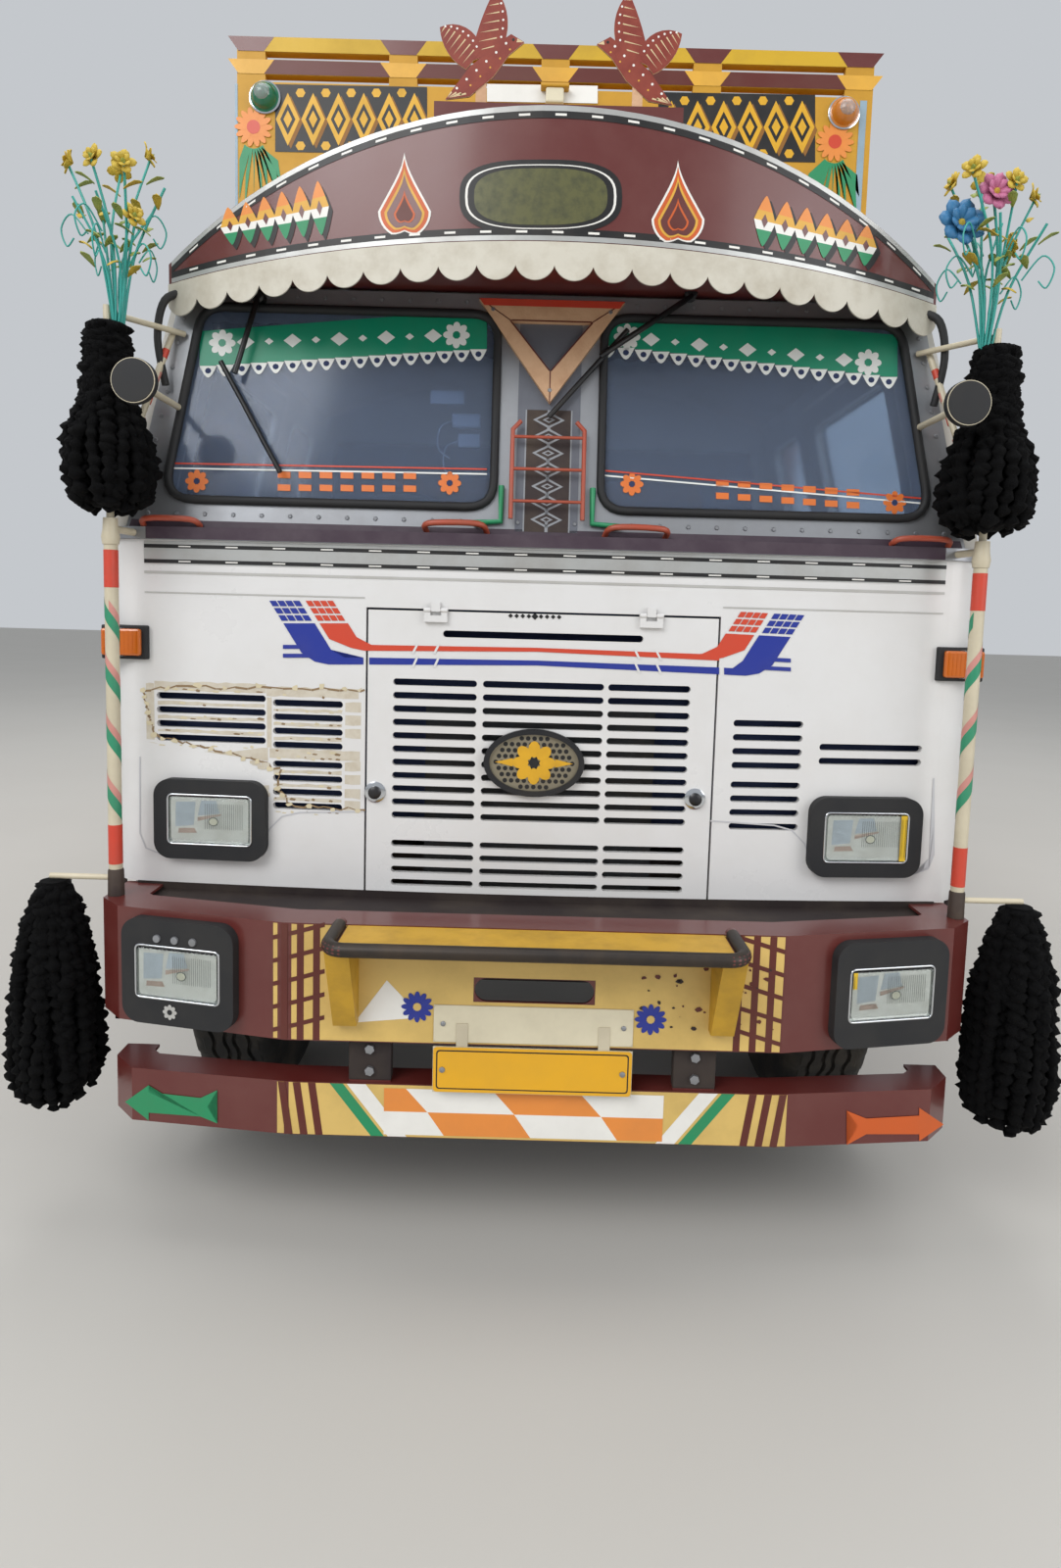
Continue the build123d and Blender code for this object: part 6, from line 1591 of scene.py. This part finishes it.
def arc_points(a, b, c, count=8):
    """Points on the arc through three points of the plane."""
    (ax, ay), (bx_, by_), (cx, cy) = a, b, c
    d = 2 * (ax * (by_ - cy) + bx_ * (cy - ay) + cx * (ay - by_))
    ux = ((ax**2 + ay**2) * (by_ - cy) + (bx_**2 + by_**2) * (cy - ay) + (cx**2 + cy**2) * (ay - by_)) / d
    uy = ((ax**2 + ay**2) * (cx - bx_) + (bx_**2 + by_**2) * (ax - cx) + (cx**2 + cy**2) * (bx_ - ax)) / d
    radius = sqrt((ax - ux) ** 2 + (ay - uy) ** 2)
    start, middle, end = (atan2(q[1] - uy, q[0] - ux) for q in (a, b, c))
    turn_one = (middle - start + pi) % (2 * pi) - pi
    turn_two = (end - middle + pi) % (2 * pi) - pi
    whole = turn_one + turn_two
    return [
        (ux + radius * cos(start + whole * k / count), uy + radius * sin(start + whole * k / count))
        for k in range(count + 1)
    ]


def bird_shapes(side):
    def at(p):
        return (side * (0.195 + p[0] / 1000), BIRD_Z + p[1] / 1000)

    shapes = []
    for n, (root, bulge, tip, far, far_root) in enumerate(bird_wings):
        front_edge = arc_points(root, bulge, tip)
        rear_edge = arc_points(far_root, far, tip)
        shapes.append((BIRD_RED, 2 * n, [at(p) for p in front_edge + list(reversed(rear_edge[:-1]))]))
        for k in range(1, 8):
            p, q = Vector(front_edge[k]), Vector(rear_edge[k])
            a, b = p.lerp(q, 0.30), p.lerp(q, 0.93)
            off = Vector((-(b - a).y, (b - a).x)).normalized() * 1.7
            shapes.append((BIRD_CREAM, 2 * n + 1, [at(a - off), at(b), at(a + off)]))
            shapes.append((CHALK, 2 * n + 1, oval(at(p.lerp(q, 0.16)), (0.0028, 0.0028), 8)))
    shapes.append((BIRD_RED, 8, [at(p) for p in bird_body]))
    for k in range(6):
        p = Vector((-60, 38)).lerp(Vector((60, -70)), k / 5)
        shapes.append((CHALK, 9, oval(at(p), (0.0032, 0.0032), 8)))
        shapes.append((YELLOW, 9, oval(at(p + Vector((-10, -14))), (0.0024, 0.0024), 8)))
    shapes.append((BIRD_CREAM, 9, [at((-103, 42)), at((-88, 50)), at((-86, 41))]))
    shapes.append((BLACK, 10, oval(at((-78, 47)), (0.0035, 0.0035), 10)))
    for k in range(4):
        shapes.append(
            (BIRD_CREAM, 9, [at((36 + k * 12, -84 + k)), at((78 + k * 2, -93)), at((38 + k * 12, -80 + k))])
        )
    return shapes


for side in (-1, 1):
    for face, y, way in (("front", BIRD_FRONT, -1), ("back", BIRD_FRONT + 0.003, 1)):
        flat_paint(f"bird_{face}_{side}", lambda a, b, lift: (a, y + way * lift * 0.4, b), bird_shapes(side))

# Crest board that the birds stand on: flat on top, cut to the visor's arc below
crest_half, crest_top, crest_steps = 0.31, 3.019, 24
verts, faces = [], []
for y in (BIRD_FRONT - 0.012, BIRD_FRONT - 0.003):
    for i in range(crest_steps + 1):
        x = crest_half * (2 * i / crest_steps - 1)
        verts += [(x, y, visor_top(x) + 0.002), (x, y, crest_top)]
row = 2 * (crest_steps + 1)
for i in range(crest_steps):
    k = 2 * i
    faces += [(k, k + 2, k + 3, k + 1), (row + k, row + k + 1, row + k + 3, row + k + 2)]
    faces += [(k + 1, k + 3, row + k + 3, row + k + 1), (k, row + k, row + k + 2, k + 2)]
faces += [(0, 1, row + 1, row), (row - 2, 2 * row - 2, 2 * row - 1, row - 1)]
mesh_object("crest_board", verts, faces, MAROON, body="truck")

# Hanging triangle: three wood boards with grain, a red top strip, dark joints and screws
WOOD = finish(
    "triangle_wood", "#d0a884", rough=0.55, grime=0.4, dirt="#a06f4a", scale=14, bump=0.3, bump_scale=120
)
paint_node("ornaments", WOOD)


def on_pillar(a, b, lift):
    return tuple(on_screen(a, b, lift))


TRI_TOP = 2.640 - SCREEN_FOOT
tri_outer = ((-0.205, TRI_TOP), (0.0, TRI_TOP - 0.290), (0.205, TRI_TOP))
tri_inner = ((-0.11275, TRI_TOP - 0.062), (0.0, TRI_TOP - 0.2001), (0.11275, TRI_TOP - 0.062))
strip = [
    (POLE_RED, 2, [(-0.204, TRI_TOP), (-0.190, TRI_TOP - 0.020), (0.190, TRI_TOP - 0.020), (0.204, TRI_TOP)])
]
for a, b in ((0, 1), (1, 2), (2, 0)):
    p, q = Vector(tri_inner[a]), Vector(tri_inner[b])
    out = Vector(tri_outer[a]).lerp(Vector(tri_outer[b]), 0.5) - p.lerp(q, 0.5)
    out = out.normalized() * 0.004
    strip.append((BROWN, 0, [tuple(p), tuple(q), tuple(q + out), tuple(p + out)]))
for n in range(3):
    p, q = Vector(tri_inner[n]), Vector(tri_outer[n])
    off = Vector((-(q - p).y, (q - p).x)).normalized() * 0.0014
    strip.append((BROWN, 1, [tuple(p - off), tuple(q - off), tuple(q + off), tuple(p + off)]))
flat_paint("triangle_lines", lambda a, b, lift: on_pillar(a, b, 0.0183 + lift * 0.5), strip)
for n, (a, b) in enumerate(((-0.165, TRI_TOP - 0.03), (0.165, TRI_TOP - 0.03), (0.0, TRI_TOP - 0.255))):
    disc_stack(
        f"triangle_screw_{n}", on_screen(a, b, 0.0183), (0, -1, 0.117), [(0, 0.006), (0.002, 0.005)], STEEL,
        sides=12
    )

# Centre pillar: a grey plate with a lattice, red pipes with rungs, green brackets, red grab rods, a ledge
PLATE_GREY = finish("pillar_plate", "#6d7078", rough=0.45, metal=0.5, grime=0.4, dirt="#4a4650")
PURPLE = finish("ledge_purple", "#3b2b38", rough=0.45, grime=0.4, dirt="#6a6066")
lattice = [(PLATE_GREY, 0, rectangle(-0.088, 0.02, 0.088, 0.640))]
lattice.append((DARK, 1, rectangle(-0.062, 0.02, 0.062, 0.365)))
lattice.append((STEEL, 2, rectangle(-0.0045, 0.02, 0.0045, 0.365)))
for row in range(7):
    b = 0.055 + row * 0.047
    lattice.append((STEEL, 2, lozenge(0, b, 0.045, 0.0235)))
    lattice.append((DARK, 3, lozenge(0, b, 0.034, 0.0165)))
    lattice.append((STEEL, 4, lozenge(0, b, 0.018, 0.0085)))
    lattice.append((DARK, 5, lozenge(0, b, 0.009, 0.0045)))
for a in (-0.066, 0.062):
    lattice.append((STEEL, 2, rectangle(a, 0.02, a + 0.004, 0.365)))
flat_paint("pillar_plate", on_pillar, lattice)
GRAB_RED = finish("grab_red", "#a84a34", rough=0.4, grime=0.35, dirt="#6b5b48")
for side in (-1, 1):
    def along_screen(*places):
        return [on_screen(side * x, up, lift) for x, up, lift in places]

    pipe = along_screen((0.100, 0.05, 0.028), (0.100, 0.30, 0.028), (0.078, 0.325, 0.024))
    rod(f"pillar_pipe_{side}", pipe, 0.0065, GRAB_RED)
    bracket = along_screen((0.128, 0.145, 0.012), (0.128, 0.045, 0.012), (0.205, 0.038, 0.014))
    rod(f"green_bracket_{side}", bracket, 0.0085, GREEN, sides=8)
    grab = along_screen(
        (0.335, 0.012, 0.004), (0.325, 0.028, 0.042), (0.19, 0.030, 0.042), (0.165, 0.012, 0.004)
    )
    rod(f"grab_rod_{side}", smooth_line(grab, 5), 0.0085, GRAB_RED)
    grab = along_screen(
        (1.130, 0.010, 0.004), (1.11, 0.022, 0.035), (0.99, 0.022, 0.035), (0.97, 0.010, 0.004)
    )
    rod(f"far_grab_{side}", smooth_line(grab, 5), 0.0085, GRAB_RED)
for n, b in enumerate((0.10, 0.19, 0.28)):
    rod(f"pillar_rung_{n}", [on_screen(-0.100, b, 0.028), on_screen(0.100, b, 0.028)], 0.0045, GRAB_RED)
foot_band = [(PURPLE, 0, [(x, 0.003) for x in (-1.172, 1.172)] + [(1.165, 0.026), (-1.165, 0.026)])]
flat_paint("screen_foot_band", on_pillar, foot_band)
verts, faces = [], []
for i in range(57):
    x = -1.12 + i * 0.04
    y = FACE - 0.012 + arc_drop(x, 1.262, 0.0559)
    verts += [(x, y - 0.0012, 1.9415), (x, y - 0.0012, 1.9752), (x, FACE + 0.044, 1.9756)]
for i in range(56):
    a, b = 3 * i, 3 * i + 3
    faces += [(a, b, b + 1, a + 1), (a + 1, b + 1, b + 2, a + 2)]
mesh_object("ledge_band", verts, faces, PURPLE, body="truck")

# Front lamps: a reflector bowl painted bright, with painted shade at its rim, along its flutes and round a
# bulb, and painted reflections, all under fluted glass, in each rubber surround
BOWL = finish("lamp_bowl", "#f0efec", rough=0.16, metal=0.15, grime=0.3, dirt="#b5aea2", scale=16)
BOWL_DARK = finish("lamp_bowl_shade", "#a9aca9", rough=0.22, metal=0.5, grime=0.35, dirt="#7d7a72", scale=16)
BULB = finish("lamp_bulb", "#e6e2cf", rough=0.2, grime=0.1)
REFLECTION_BLUE = finish("lamp_reflection_blue", "#c9d2de", rough=0.2, grime=0.2)
REFLECTION_ROSE = finish("lamp_reflection_rose", "#cdb3a8", rough=0.3, grime=0.3)
CARRIER_FRONT = FACE + 1.2395
LAMP_GLASS = clear("lamp_glass", "#edf1ef", rough=0.03)
TAPE = finish("yellow_tape", "#e0b81c", rough=0.4, grime=0.2)


# Painted reflections in a lamp's bowl: pale blue and rose patches, across and up from its middle
reflection_patches = (
    (REFLECTION_BLUE, ((-0.100, -0.022), (-0.046, -0.016), (-0.040, 0.052), (-0.098, 0.050))),
    (REFLECTION_BLUE, ((-0.034, 0.012), (0.030, 0.020), (0.020, 0.056), (-0.024, 0.055))),
    (REFLECTION_ROSE, ((-0.092, -0.040), (-0.036, -0.038), (-0.044, -0.024), (-0.090, -0.026))),
    (REFLECTION_ROSE, ((-0.034, -0.004), (0.034, 0.014), (0.036, 0.019), (-0.034, 0.008))),
)


def lamp_spot(side, y, angle):
    """Maps (across, up, lift) on a lamp's front to a place."""
    along = Vector((cos(angle * side), sin(angle * side), 0))
    out = Vector((sin(angle * side), -cos(angle * side), 0))
    base = Vector((side * 0.935, y, 0)) + out * 0.0243
    return lambda a, b, lift: tuple(base + along * a + out * lift + Vector((0, 0, b)))


for side in (-1, 1):
    for level, z, y, angle in (
        ("upper", 1.150, FACE + 0.0307, radians(3.77)), ("lower", 0.790, FACE - 0.210, radians(11.89))
    ):
        spot = lamp_spot(side, y, angle)
        shapes = [
            (BOWL_DARK, 0, rounded_box(0.1235, z - 0.0735, z + 0.0735, 0.014)),
            (BOWL, 1, rounded_box(0.113, z - 0.063, z + 0.063, 0.012))
        ]
        # Painted reflections laid over the bowl
        for layer, (mat, patch) in enumerate(reflection_patches, 2):
            shapes.append((mat, layer, [(a, z + b) for a, b in patch]))
        for k in range(19):
            a = -0.012 + 0.006 * k
            shapes.append((BOWL_DARK, 6, rectangle(a - 0.0006, z - 0.026, a + 0.0006, z + 0.048)))
        shapes.append((BOWL_DARK, 7, oval((0.012, z - 0.004), (0.015, 0.013), 24)))
        shapes.append((BULB, 8, oval((0.012, z - 0.004), (0.012, 0.010), 24)))
        flat_paint(f"lamp_bowl_{level}_{side}", spot, shapes)
        # Fluted glass
        across, high = 60, 8
        verts, faces = [], []
        for j in range(high + 1):
            for i in range(across + 1):
                a = -0.120 + 0.240 * i / across
                b = z - 0.070 + 0.140 * j / high
                edge = 1 if 0 < i < across and 0 < j < high else 0
                verts.append(spot(a, b, 0.0040 + edge * (0.0016 + 0.0011 * abs(sin(pi * i / 3)))))
        for j in range(high):
            for i in range(across):
                k = j * (across + 1) + i
                faces.append((k, k + 1, k + across + 2, k + across + 1))
        flutes = mesh_object(f"lamp_glass_{level}_{side}", verts, faces, LAMP_GLASS, smooth=True)
        flutes.modifiers.new("thickness", "SOLIDIFY").thickness = -0.0015
        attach(flutes, "truck")
        chrome_rim = rounded_box(0.1215, z - 0.0715, z + 0.0715, 0.015)
        rod(
            f"lamp_rim_{level}_{side}", [spot(a, b, 0.004) for a, b in chrome_rim], 0.0035, CHROME,
            closed=True
        )
        if side < 0 and level == "lower":
            mark = flower((-0.020, z - 0.104), 0.021, 8, FAINT, BLACK_RUBBER, 0)
            flat_paint("bezel_flower", lambda a, b, lift: spot(a, b, lift + 0.0062), mark)
            facing = Vector(spot(0, z, 1)) - Vector(spot(0, z, 0))
            rings = [(0, 0.011), (0.005, 0.010), (0.006, 0.004)]
            for k in (-1, 0, 1):
                place = spot(k * 0.052 - 0.004, z + 0.093, 0.0058)
                disc_stack(f"bezel_bolt_{k}", place, facing, rings, STEEL, sides=12)
        if side > 0:
            if level == "upper":
                tape = rectangle(0.098, z - 0.066, 0.116, z + 0.066)
            else:
                tape = rectangle(-0.116, z + 0.020, -0.104, z + 0.064)
            flat_paint(f"lamp_tape_{level}", lambda a, b, lift: spot(a, b, lift + 0.0065), [(TAPE, 0, tape)])

    # Amber corner lamp: black housing, ribbed lens
    out = Vector((side * 0.70711, -0.70711, 0))
    along = Vector((0.70711, side * 0.70711, 0))
    base = Vector((side * 1.14, FACE + 0.1561, 1.650)) + out * (0.110 + 0.0003)

    def corner_block(name, a0, a1, depth, b, mat):
        corners = []
        for a in (a0, a1):
            for d in (-0.0005, depth):
                for h in (-b, b):
                    corners.append(base + along * a + out * d + Vector((0, 0, h)))
        obj = mesh_object(name, corners, BLOCK_FACES, mat)
        obj.modifiers.new("round", "BEVEL").width = 0.004
        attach(obj, "truck")

    corner_block(f"amber_housing_{side}", -0.0615, 0.0615, 0.0215, 0.0415, BLACK_RUBBER)
    corner_block(f"amber_lens_{side}", -0.054, 0.054, 0.0285, 0.034, AMBER)
    ribs = []
    for k in range(9):
        a = -0.046 + k * 0.0115
        ribs.append((AMBER, 0, rectangle(a - 0.0015, -0.030, a + 0.0015, 0.030)))

    def on_lens(a, b, lift):
        return tuple(base + along * a + out * (0.0285 + lift) + Vector((0, 0, b)))

    flat_paint(f"amber_ribs_{side}", on_lens, ribs)
    x0, x1 = sorted((side * 1.135, side * 1.246))
    box_mesh(f"amber_front_{side}", (x0, FACE + 0.018, 1.612), (x1, FACE + 0.120, 1.688), AMBER, bevel=0.006)
    x0, x1 = sorted((side * 1.118, side * 1.249))
    box_mesh(
        f"amber_seat_{side}", (x0, FACE + 0.030, 1.602), (x1, FACE + 0.125, 1.698), BLACK_RUBBER, bevel=0.004
    )
    ribs = []
    for k in range(9):
        x = side * (1.145 + k * 0.0115)
        ribs.append((AMBER, 0, rectangle(x - 0.0013, 1.618, x + 0.0013, 1.682)))
    flat_paint(f"amber_front_ribs_{side}", lambda a, b, lift: (a, FACE + 0.018 - lift, b), ribs)
    # Dome lamps on the carrier: green on the left of the picture, orange on the right
    dome = finish(
        f"dome_{'orange' if side > 0 else 'green'}", "#c9781c" if side > 0 else "#0f6b4a", rough=0.15,
        grime=0.2, coat=0.6
    )
    ring = [
        (0.0, 0.056), (0.012, 0.056), (0.014, 0.050), (0.030, 0.046), (0.048, 0.036), (0.060, 0.020),
        (0.065, 0.006)
    ]
    disc_stack(f"dome_lamp_{side}", (side * 1.13, CARRIER_FRONT, 3.740), (0, -1, 0), ring, dome, sides=32)
    disc_stack(
        f"dome_ring_{side}", (side * 1.13, CARRIER_FRONT, 3.740), (0, -1, 0),
        [(0, 0.062), (0.008, 0.062), (0.010, 0.056)], CHROME, sides=32
    )

# Small lamp box on the carrier's middle
box_mesh("middle_lamp_box", (-0.035, FACE + 1.200, 3.735), (0.035, CARRIER_FRONT, 3.790), CREAM, bevel=0.006)
box_mesh("middle_lamp_roof", (-0.055, FACE + 1.195, 3.790), (0.055, CARRIER_FRONT, 3.802), OCHRE, bevel=0.004)

# Peeled enamel round the vents on the left: a ragged brown edge with chips, worn fields and flecks
PEEL = finish("peeled_edge", "#8a7253", rough=0.7, grime=0.4)
PEEL_CREAM = finish("peeled_ground", "#d2c6a6", rough=0.6, grime=0.3)
ragged = [
    (146, 704), (190, 699), (240, 702), (300, 700), (345, 704), (372, 703), (372, 826), (330, 825), (
        296, 822
    ),
    (282, 806), (286, 786), (262, 776), (240, 771), (208, 764), (180, 756), (158, 752), (152, 735), (
        148, 718
    ),
]
peel_rng = random.Random(3)
edge_line = []
for i in range(len(ragged)):
    a, b = Vector(ragged[i]), Vector(ragged[(i + 1) % len(ragged)])
    if i == 5:
        edge_line.append(a)
        continue
    for k in range(5):
        p = a.lerp(b, k / 5)
        edge_line.append(p + Vector((peel_rng.uniform(-2, 2), peel_rng.uniform(-2, 2))))
peels = []
for i, p in enumerate(edge_line):
    q = edge_line[(i + 1) % len(edge_line)]
    if p.x > 370 and q.x > 370:
        continue
    w = peel_rng.uniform(0.8, 2.4)
    off = Vector((-(q - p).y, (q - p).x)).normalized() * w
    peels.append((PEEL, 0, on_face([tuple(p), tuple(q), tuple(q + off), tuple(p + off)])))
    if i % 3 == 0:
        chip = []
        for k in range(6):
            reach = peel_rng.uniform(1.5, 5.5)
            chip.append((p.x + reach * cos(k * pi / 3), p.y + reach * sin(k * pi / 3) * 0.7))
        peels.append((PEEL_CREAM, 1, on_face(chip)))
painted("peeled_edges", face_at, peels, lift=0.0008)

vent_table = ((-0.940, 0.318, 1.500, 4), (-0.660, 0.200, 1.490, 4), (-0.660, 0.200, 1.315, 4))
GROUND = finish("peeled_field", "#c9c1b1", rough=0.6, grime=0.5, dirt="#a8977c", scale=30)


def worn(x0, x1, z0, z1):
    """A ragged level strip of the face."""
    count = max(2, int((x1 - x0) / 0.022))
    across = [x0 + (x1 - x0) * k / count for k in range(count + 1)]
    upper = [(x, z1 + peel_rng.uniform(-0.0028, 0.0015)) for x in across]
    return upper + [(x, z0 + peel_rng.uniform(-0.0015, 0.0028)) for x in reversed(across)]


fields = [(GROUND, 0, worn(-1.105, -0.780, 1.515, 1.542)), (GROUND, 0, worn(-0.779, -0.515, 1.508, 1.536))]
fields += [(GROUND, 0, worn(-1.130, -1.106, 1.372, 1.535)), (GROUND, 0, worn(-0.7775, -0.7635, 1.362, 1.505))]
fields += [
    (GROUND, 0, worn(-0.553, -0.508, z, z + 0.028)) for z in (1.470, 1.432, 1.395, 1.300, 1.262, 1.222, 1.188)
]
fields += [
    (GROUND, 0, worn(-0.770, -0.510, 1.330, 1.360)),
    (GROUND, 0, [(-1.125, 1.364), (-0.774, 1.360), (-0.774, 1.322), (-0.915, 1.337)])
]
for middle, length, first, count in vent_table:
    for i in range(count - 1):
        z = first - (i + 0.5) * 0.040
        fields.append(
            (GROUND, 0, worn(middle - length * 0.49, middle + length * 0.49, z - 0.0055, z + 0.0050))
        )
for i in range(12):
    x, z = peel_rng.uniform(-0.835, -0.775), peel_rng.uniform(1.205, 1.318)
    fields.append((GROUND, 1 + i % 3, worn(x - 0.013, x + 0.011, z - 0.007, z + 0.006)))
painted("vent_fields", face_at, fields, lift=0.0002, pitch=1.0)
flecks = []
for middle, length, first, count in vent_table:
    for i in range(-1, count):
        z = first - (i + 0.5) * 0.040
        for k in range(int(length / 0.022)):
            x = middle - length / 2 + k * 0.022 + peel_rng.uniform(0, 0.01)
            if peel_rng.random() < 0.45:
                continue
            wide, high = peel_rng.uniform(0.006, 0.024), peel_rng.uniform(0.0012, 0.0045)
            dz = peel_rng.uniform(-0.004, 0.004)
            mat = PEEL if peel_rng.random() < 0.35 else PEEL_CREAM
            shape = [
                (x, z + dz), (x + wide * 0.3, z + dz + high), (x + wide, z + dz + high * 0.3),
                (x + wide * 0.8, z + dz - high), (x + wide * 0.2, z + dz - high * 0.8)
            ]
            flecks.append((mat, 0, shape))
painted("vent_flecks", face_at, flecks, lift=0.0006, pitch=1.0)

# Bare chips on the upper bumper's middle
chips = []
for i in range(34):
    u, v = peel_rng.uniform(655, 790), peel_rng.uniform(985, 1052)
    size = peel_rng.uniform(1.0, 4.5)
    chip = []
    for k in range(6):
        du = size * peel_rng.uniform(0.5, 1.2) * cos(k * pi / 3)
        dv = size * peel_rng.uniform(0.3, 0.9) * sin(k * pi / 3)
        chip.append((u + du, v + dv))
    chips.append((BROWN if i % 3 else DARK, 0, on_bumper(chip)))
painted("bumper_chips", bumper_at, chips, lift=0.0026)

# Boards on the inner faces of the rear doors and the tailboard, in a border of their own paint
for node, body in (
    ("rear_door_left", "load_door_left"), ("rear_door_right", "load_door_right"), ("tailboard", "tail_gate")
):
    (x0, y0, z0), (x1, y1, z1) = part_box(node)
    wide, columns = x1 - x0, 3 if node == "tailboard" else 2
    lining = []
    for k in range(columns):
        a, b = x0 + 0.04 + k * (wide - 0.04) / columns, x0 + (k + 1) * (wide - 0.04) / columns
        lining.append((BODY_WOOD, 0, rectangle(a, z0 + 0.05, b, z1 - 0.05)))
        lining.append((BROWN, 1, rectangle(a, z0 + 0.05, a + 0.006, z1 - 0.05)))
        lining.append((BROWN, 1, rectangle(b - 0.006, z0 + 0.05, b, z1 - 0.05)))
    flat_paint(f"{node}_lining", lambda a, b, lift: (a, y0 - lift, b), lining, body)

# Painted shade: a dark apron behind the upper bumper's top edge, where the gap lies in shade, and dark covers
# on its hangers in the same colour; the cab back's blue lining, dark as a painted shade of the cab's inside
DARK_SHADE = finish("dark_shade_paint", "#241a19", rough=0.7, grime=0.5, dirt="#4c4238")
verts, faces = [], []
for i in range(41):
    x = -1.16 + i * 0.058
    front = bumper_at(x, 0.94) + 0.095
    back = face_at(x, 0.95) + 0.012
    verts += [(x, front, 0.929), (x, back - 0.014, 0.935), (x, back - 0.0165, 0.9575)]
for i in range(40):
    for k in (3 * i, 3 * i + 1):
        faces.append((k, k + 3, k + 4, k + 1))
apron = mesh_object("bumper_apron", verts, faces, DARK_SHADE)
apron.modifiers.new("thickness", "SOLIDIFY").thickness = 0.002
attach(apron, "truck")
for side in (-1, 1):
    x0, x1 = sorted((side * 0.3735, side * 0.4865))
    box_mesh(f"hanger_cover_{side}", (x0, FACE - 0.242, 0.516), (x1, FACE - 0.208, 0.632), DARK_SHADE, bevel=0.004)
    for n, z in enumerate((0.545, 0.605)):
        disc_stack(
            f"hanger_bolt_{side}_{n}", (side * 0.43, FACE - 0.242, z), (0, -1, 0),
            [(0, 0.013), (0.009, 0.013), (0.010, 0.006)], STEEL, sides=6
        )
# Blue lining over the cab's back, dark as a painted shade of the cab's inside
back_panels = []
for a0, b0, a1, b1 in (
    (-1.08, 1.15, 1.08, 2.075), (-1.08, 2.425, -0.01, 2.55), (0.01, 2.425, 1.08, 2.55),
    (-1.06, 2.085, -0.81, 2.415), (-0.15, 2.085, 0.15, 2.415), (0.81, 2.085, 1.06, 2.415)
):
    back_panels.append((INSIDE_SHADE, 0, rectangle(a0, b0, a1, b1)))
flat_paint(
    "cab_back_lining", lambda a, b, lift: (a * (1 - 0.16 * max(0, b - 1.97)), FACE + 1.9095 - lift, b),
    back_panels
)

# Behind the glass: a card, two small white boxes with their cables, and two gathered blinds
box_mesh("glass_card", (-0.348, FACE + 0.20, 2.366), (-0.250, FACE + 0.203, 2.404), LENS_WHITE, bevel=0.001)
for n, (x0, z0, z1) in enumerate(((-0.283, 2.300, 2.340), (-0.265, 2.243, 2.283))):
    box_mesh(f"small_box_{n}", (x0, FACE + 0.195, z0), (-0.200, FACE + 0.222, z1), LENS_WHITE, bevel=0.005)
    cable = [
        (x0 + 0.004, FACE + 0.208, z0 + 0.02), (x0 - 0.035, FACE + 0.205, z0),
        (x0 - 0.040, FACE + 0.205, z0 - 0.06), (x0 - 0.005, FACE + 0.205, z0 - 0.09)
    ]
    rod(f"small_cable_{n}", smooth_line([Vector(c) for c in cable], 6), 0.0022, LENS_WHITE, sides=8)
BLIND = finish("blind_red", "#4d1f1e", rough=0.85, grime=0.3, bump=0.5, bump_scale=200)
for side in (-1, 1):
    verts, faces = [], []
    for i in range(61):
        x = side * (0.14 + 0.86 * i / 60)
        wave = 0.012 * sin(i * 1.3)
        verts += [
            (x, FACE + 0.235 + wave, 2.590),
            (x, FACE + 0.235 + wave * 1.4, 2.520 - 0.012 * abs(sin(i * 0.65)))
        ]
    for i in range(60):
        faces.append((2 * i, 2 * i + 2, 2 * i + 3, 2 * i + 1))
    blind = mesh_object(f"blind_{side}", verts, faces, BLIND, smooth=True)
    blind.modifiers.new("thickness", "SOLIDIFY").thickness = 0.002
    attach(blind, "truck")


# Floor, light and background
FLOOR = finish("floor", "#bdbab4", rough=0.8, grime=0.1, dirt="#aaa69e", scale=0.6)
floor = mesh_object("floor", [(-60, -60, 0), (60, -60, 0), (60, 60, 0), (-60, 60, 0)], [(0, 1, 2, 3)], FLOOR)

world = bpy.data.worlds.new("studio")
scene.world = world
world.use_nodes = True
world.node_tree.nodes["Background"].inputs["Color"].default_value = linear("#dfe3e8")
world.node_tree.nodes["Background"].inputs["Strength"].default_value = 0.75


def area_light(name, place, target, size, power):
    """A large soft light that faces a point."""
    data = bpy.data.lights.new(name, "AREA")
    data.shape = "RECTANGLE"
    data.size = size[0]
    data.size_y = size[1]
    data.energy = power
    light = bpy.data.objects.new(name, data)
    scene.collection.objects.link(light)
    light.location = place
    light.rotation_euler = (Vector(target) - Vector(place)).to_track_quat("-Z", "Y").to_euler()


area_light("key", (-6, FACE - 8, 9), (0, FACE, 1.6), (8, 6), 900)
area_light("fill", (8, FACE - 6, 5), (0, FACE + 1, 1.6), (6, 6), 350)
area_light("top", (0, 0, 12), (0, 0, 0), (10, 14), 900)
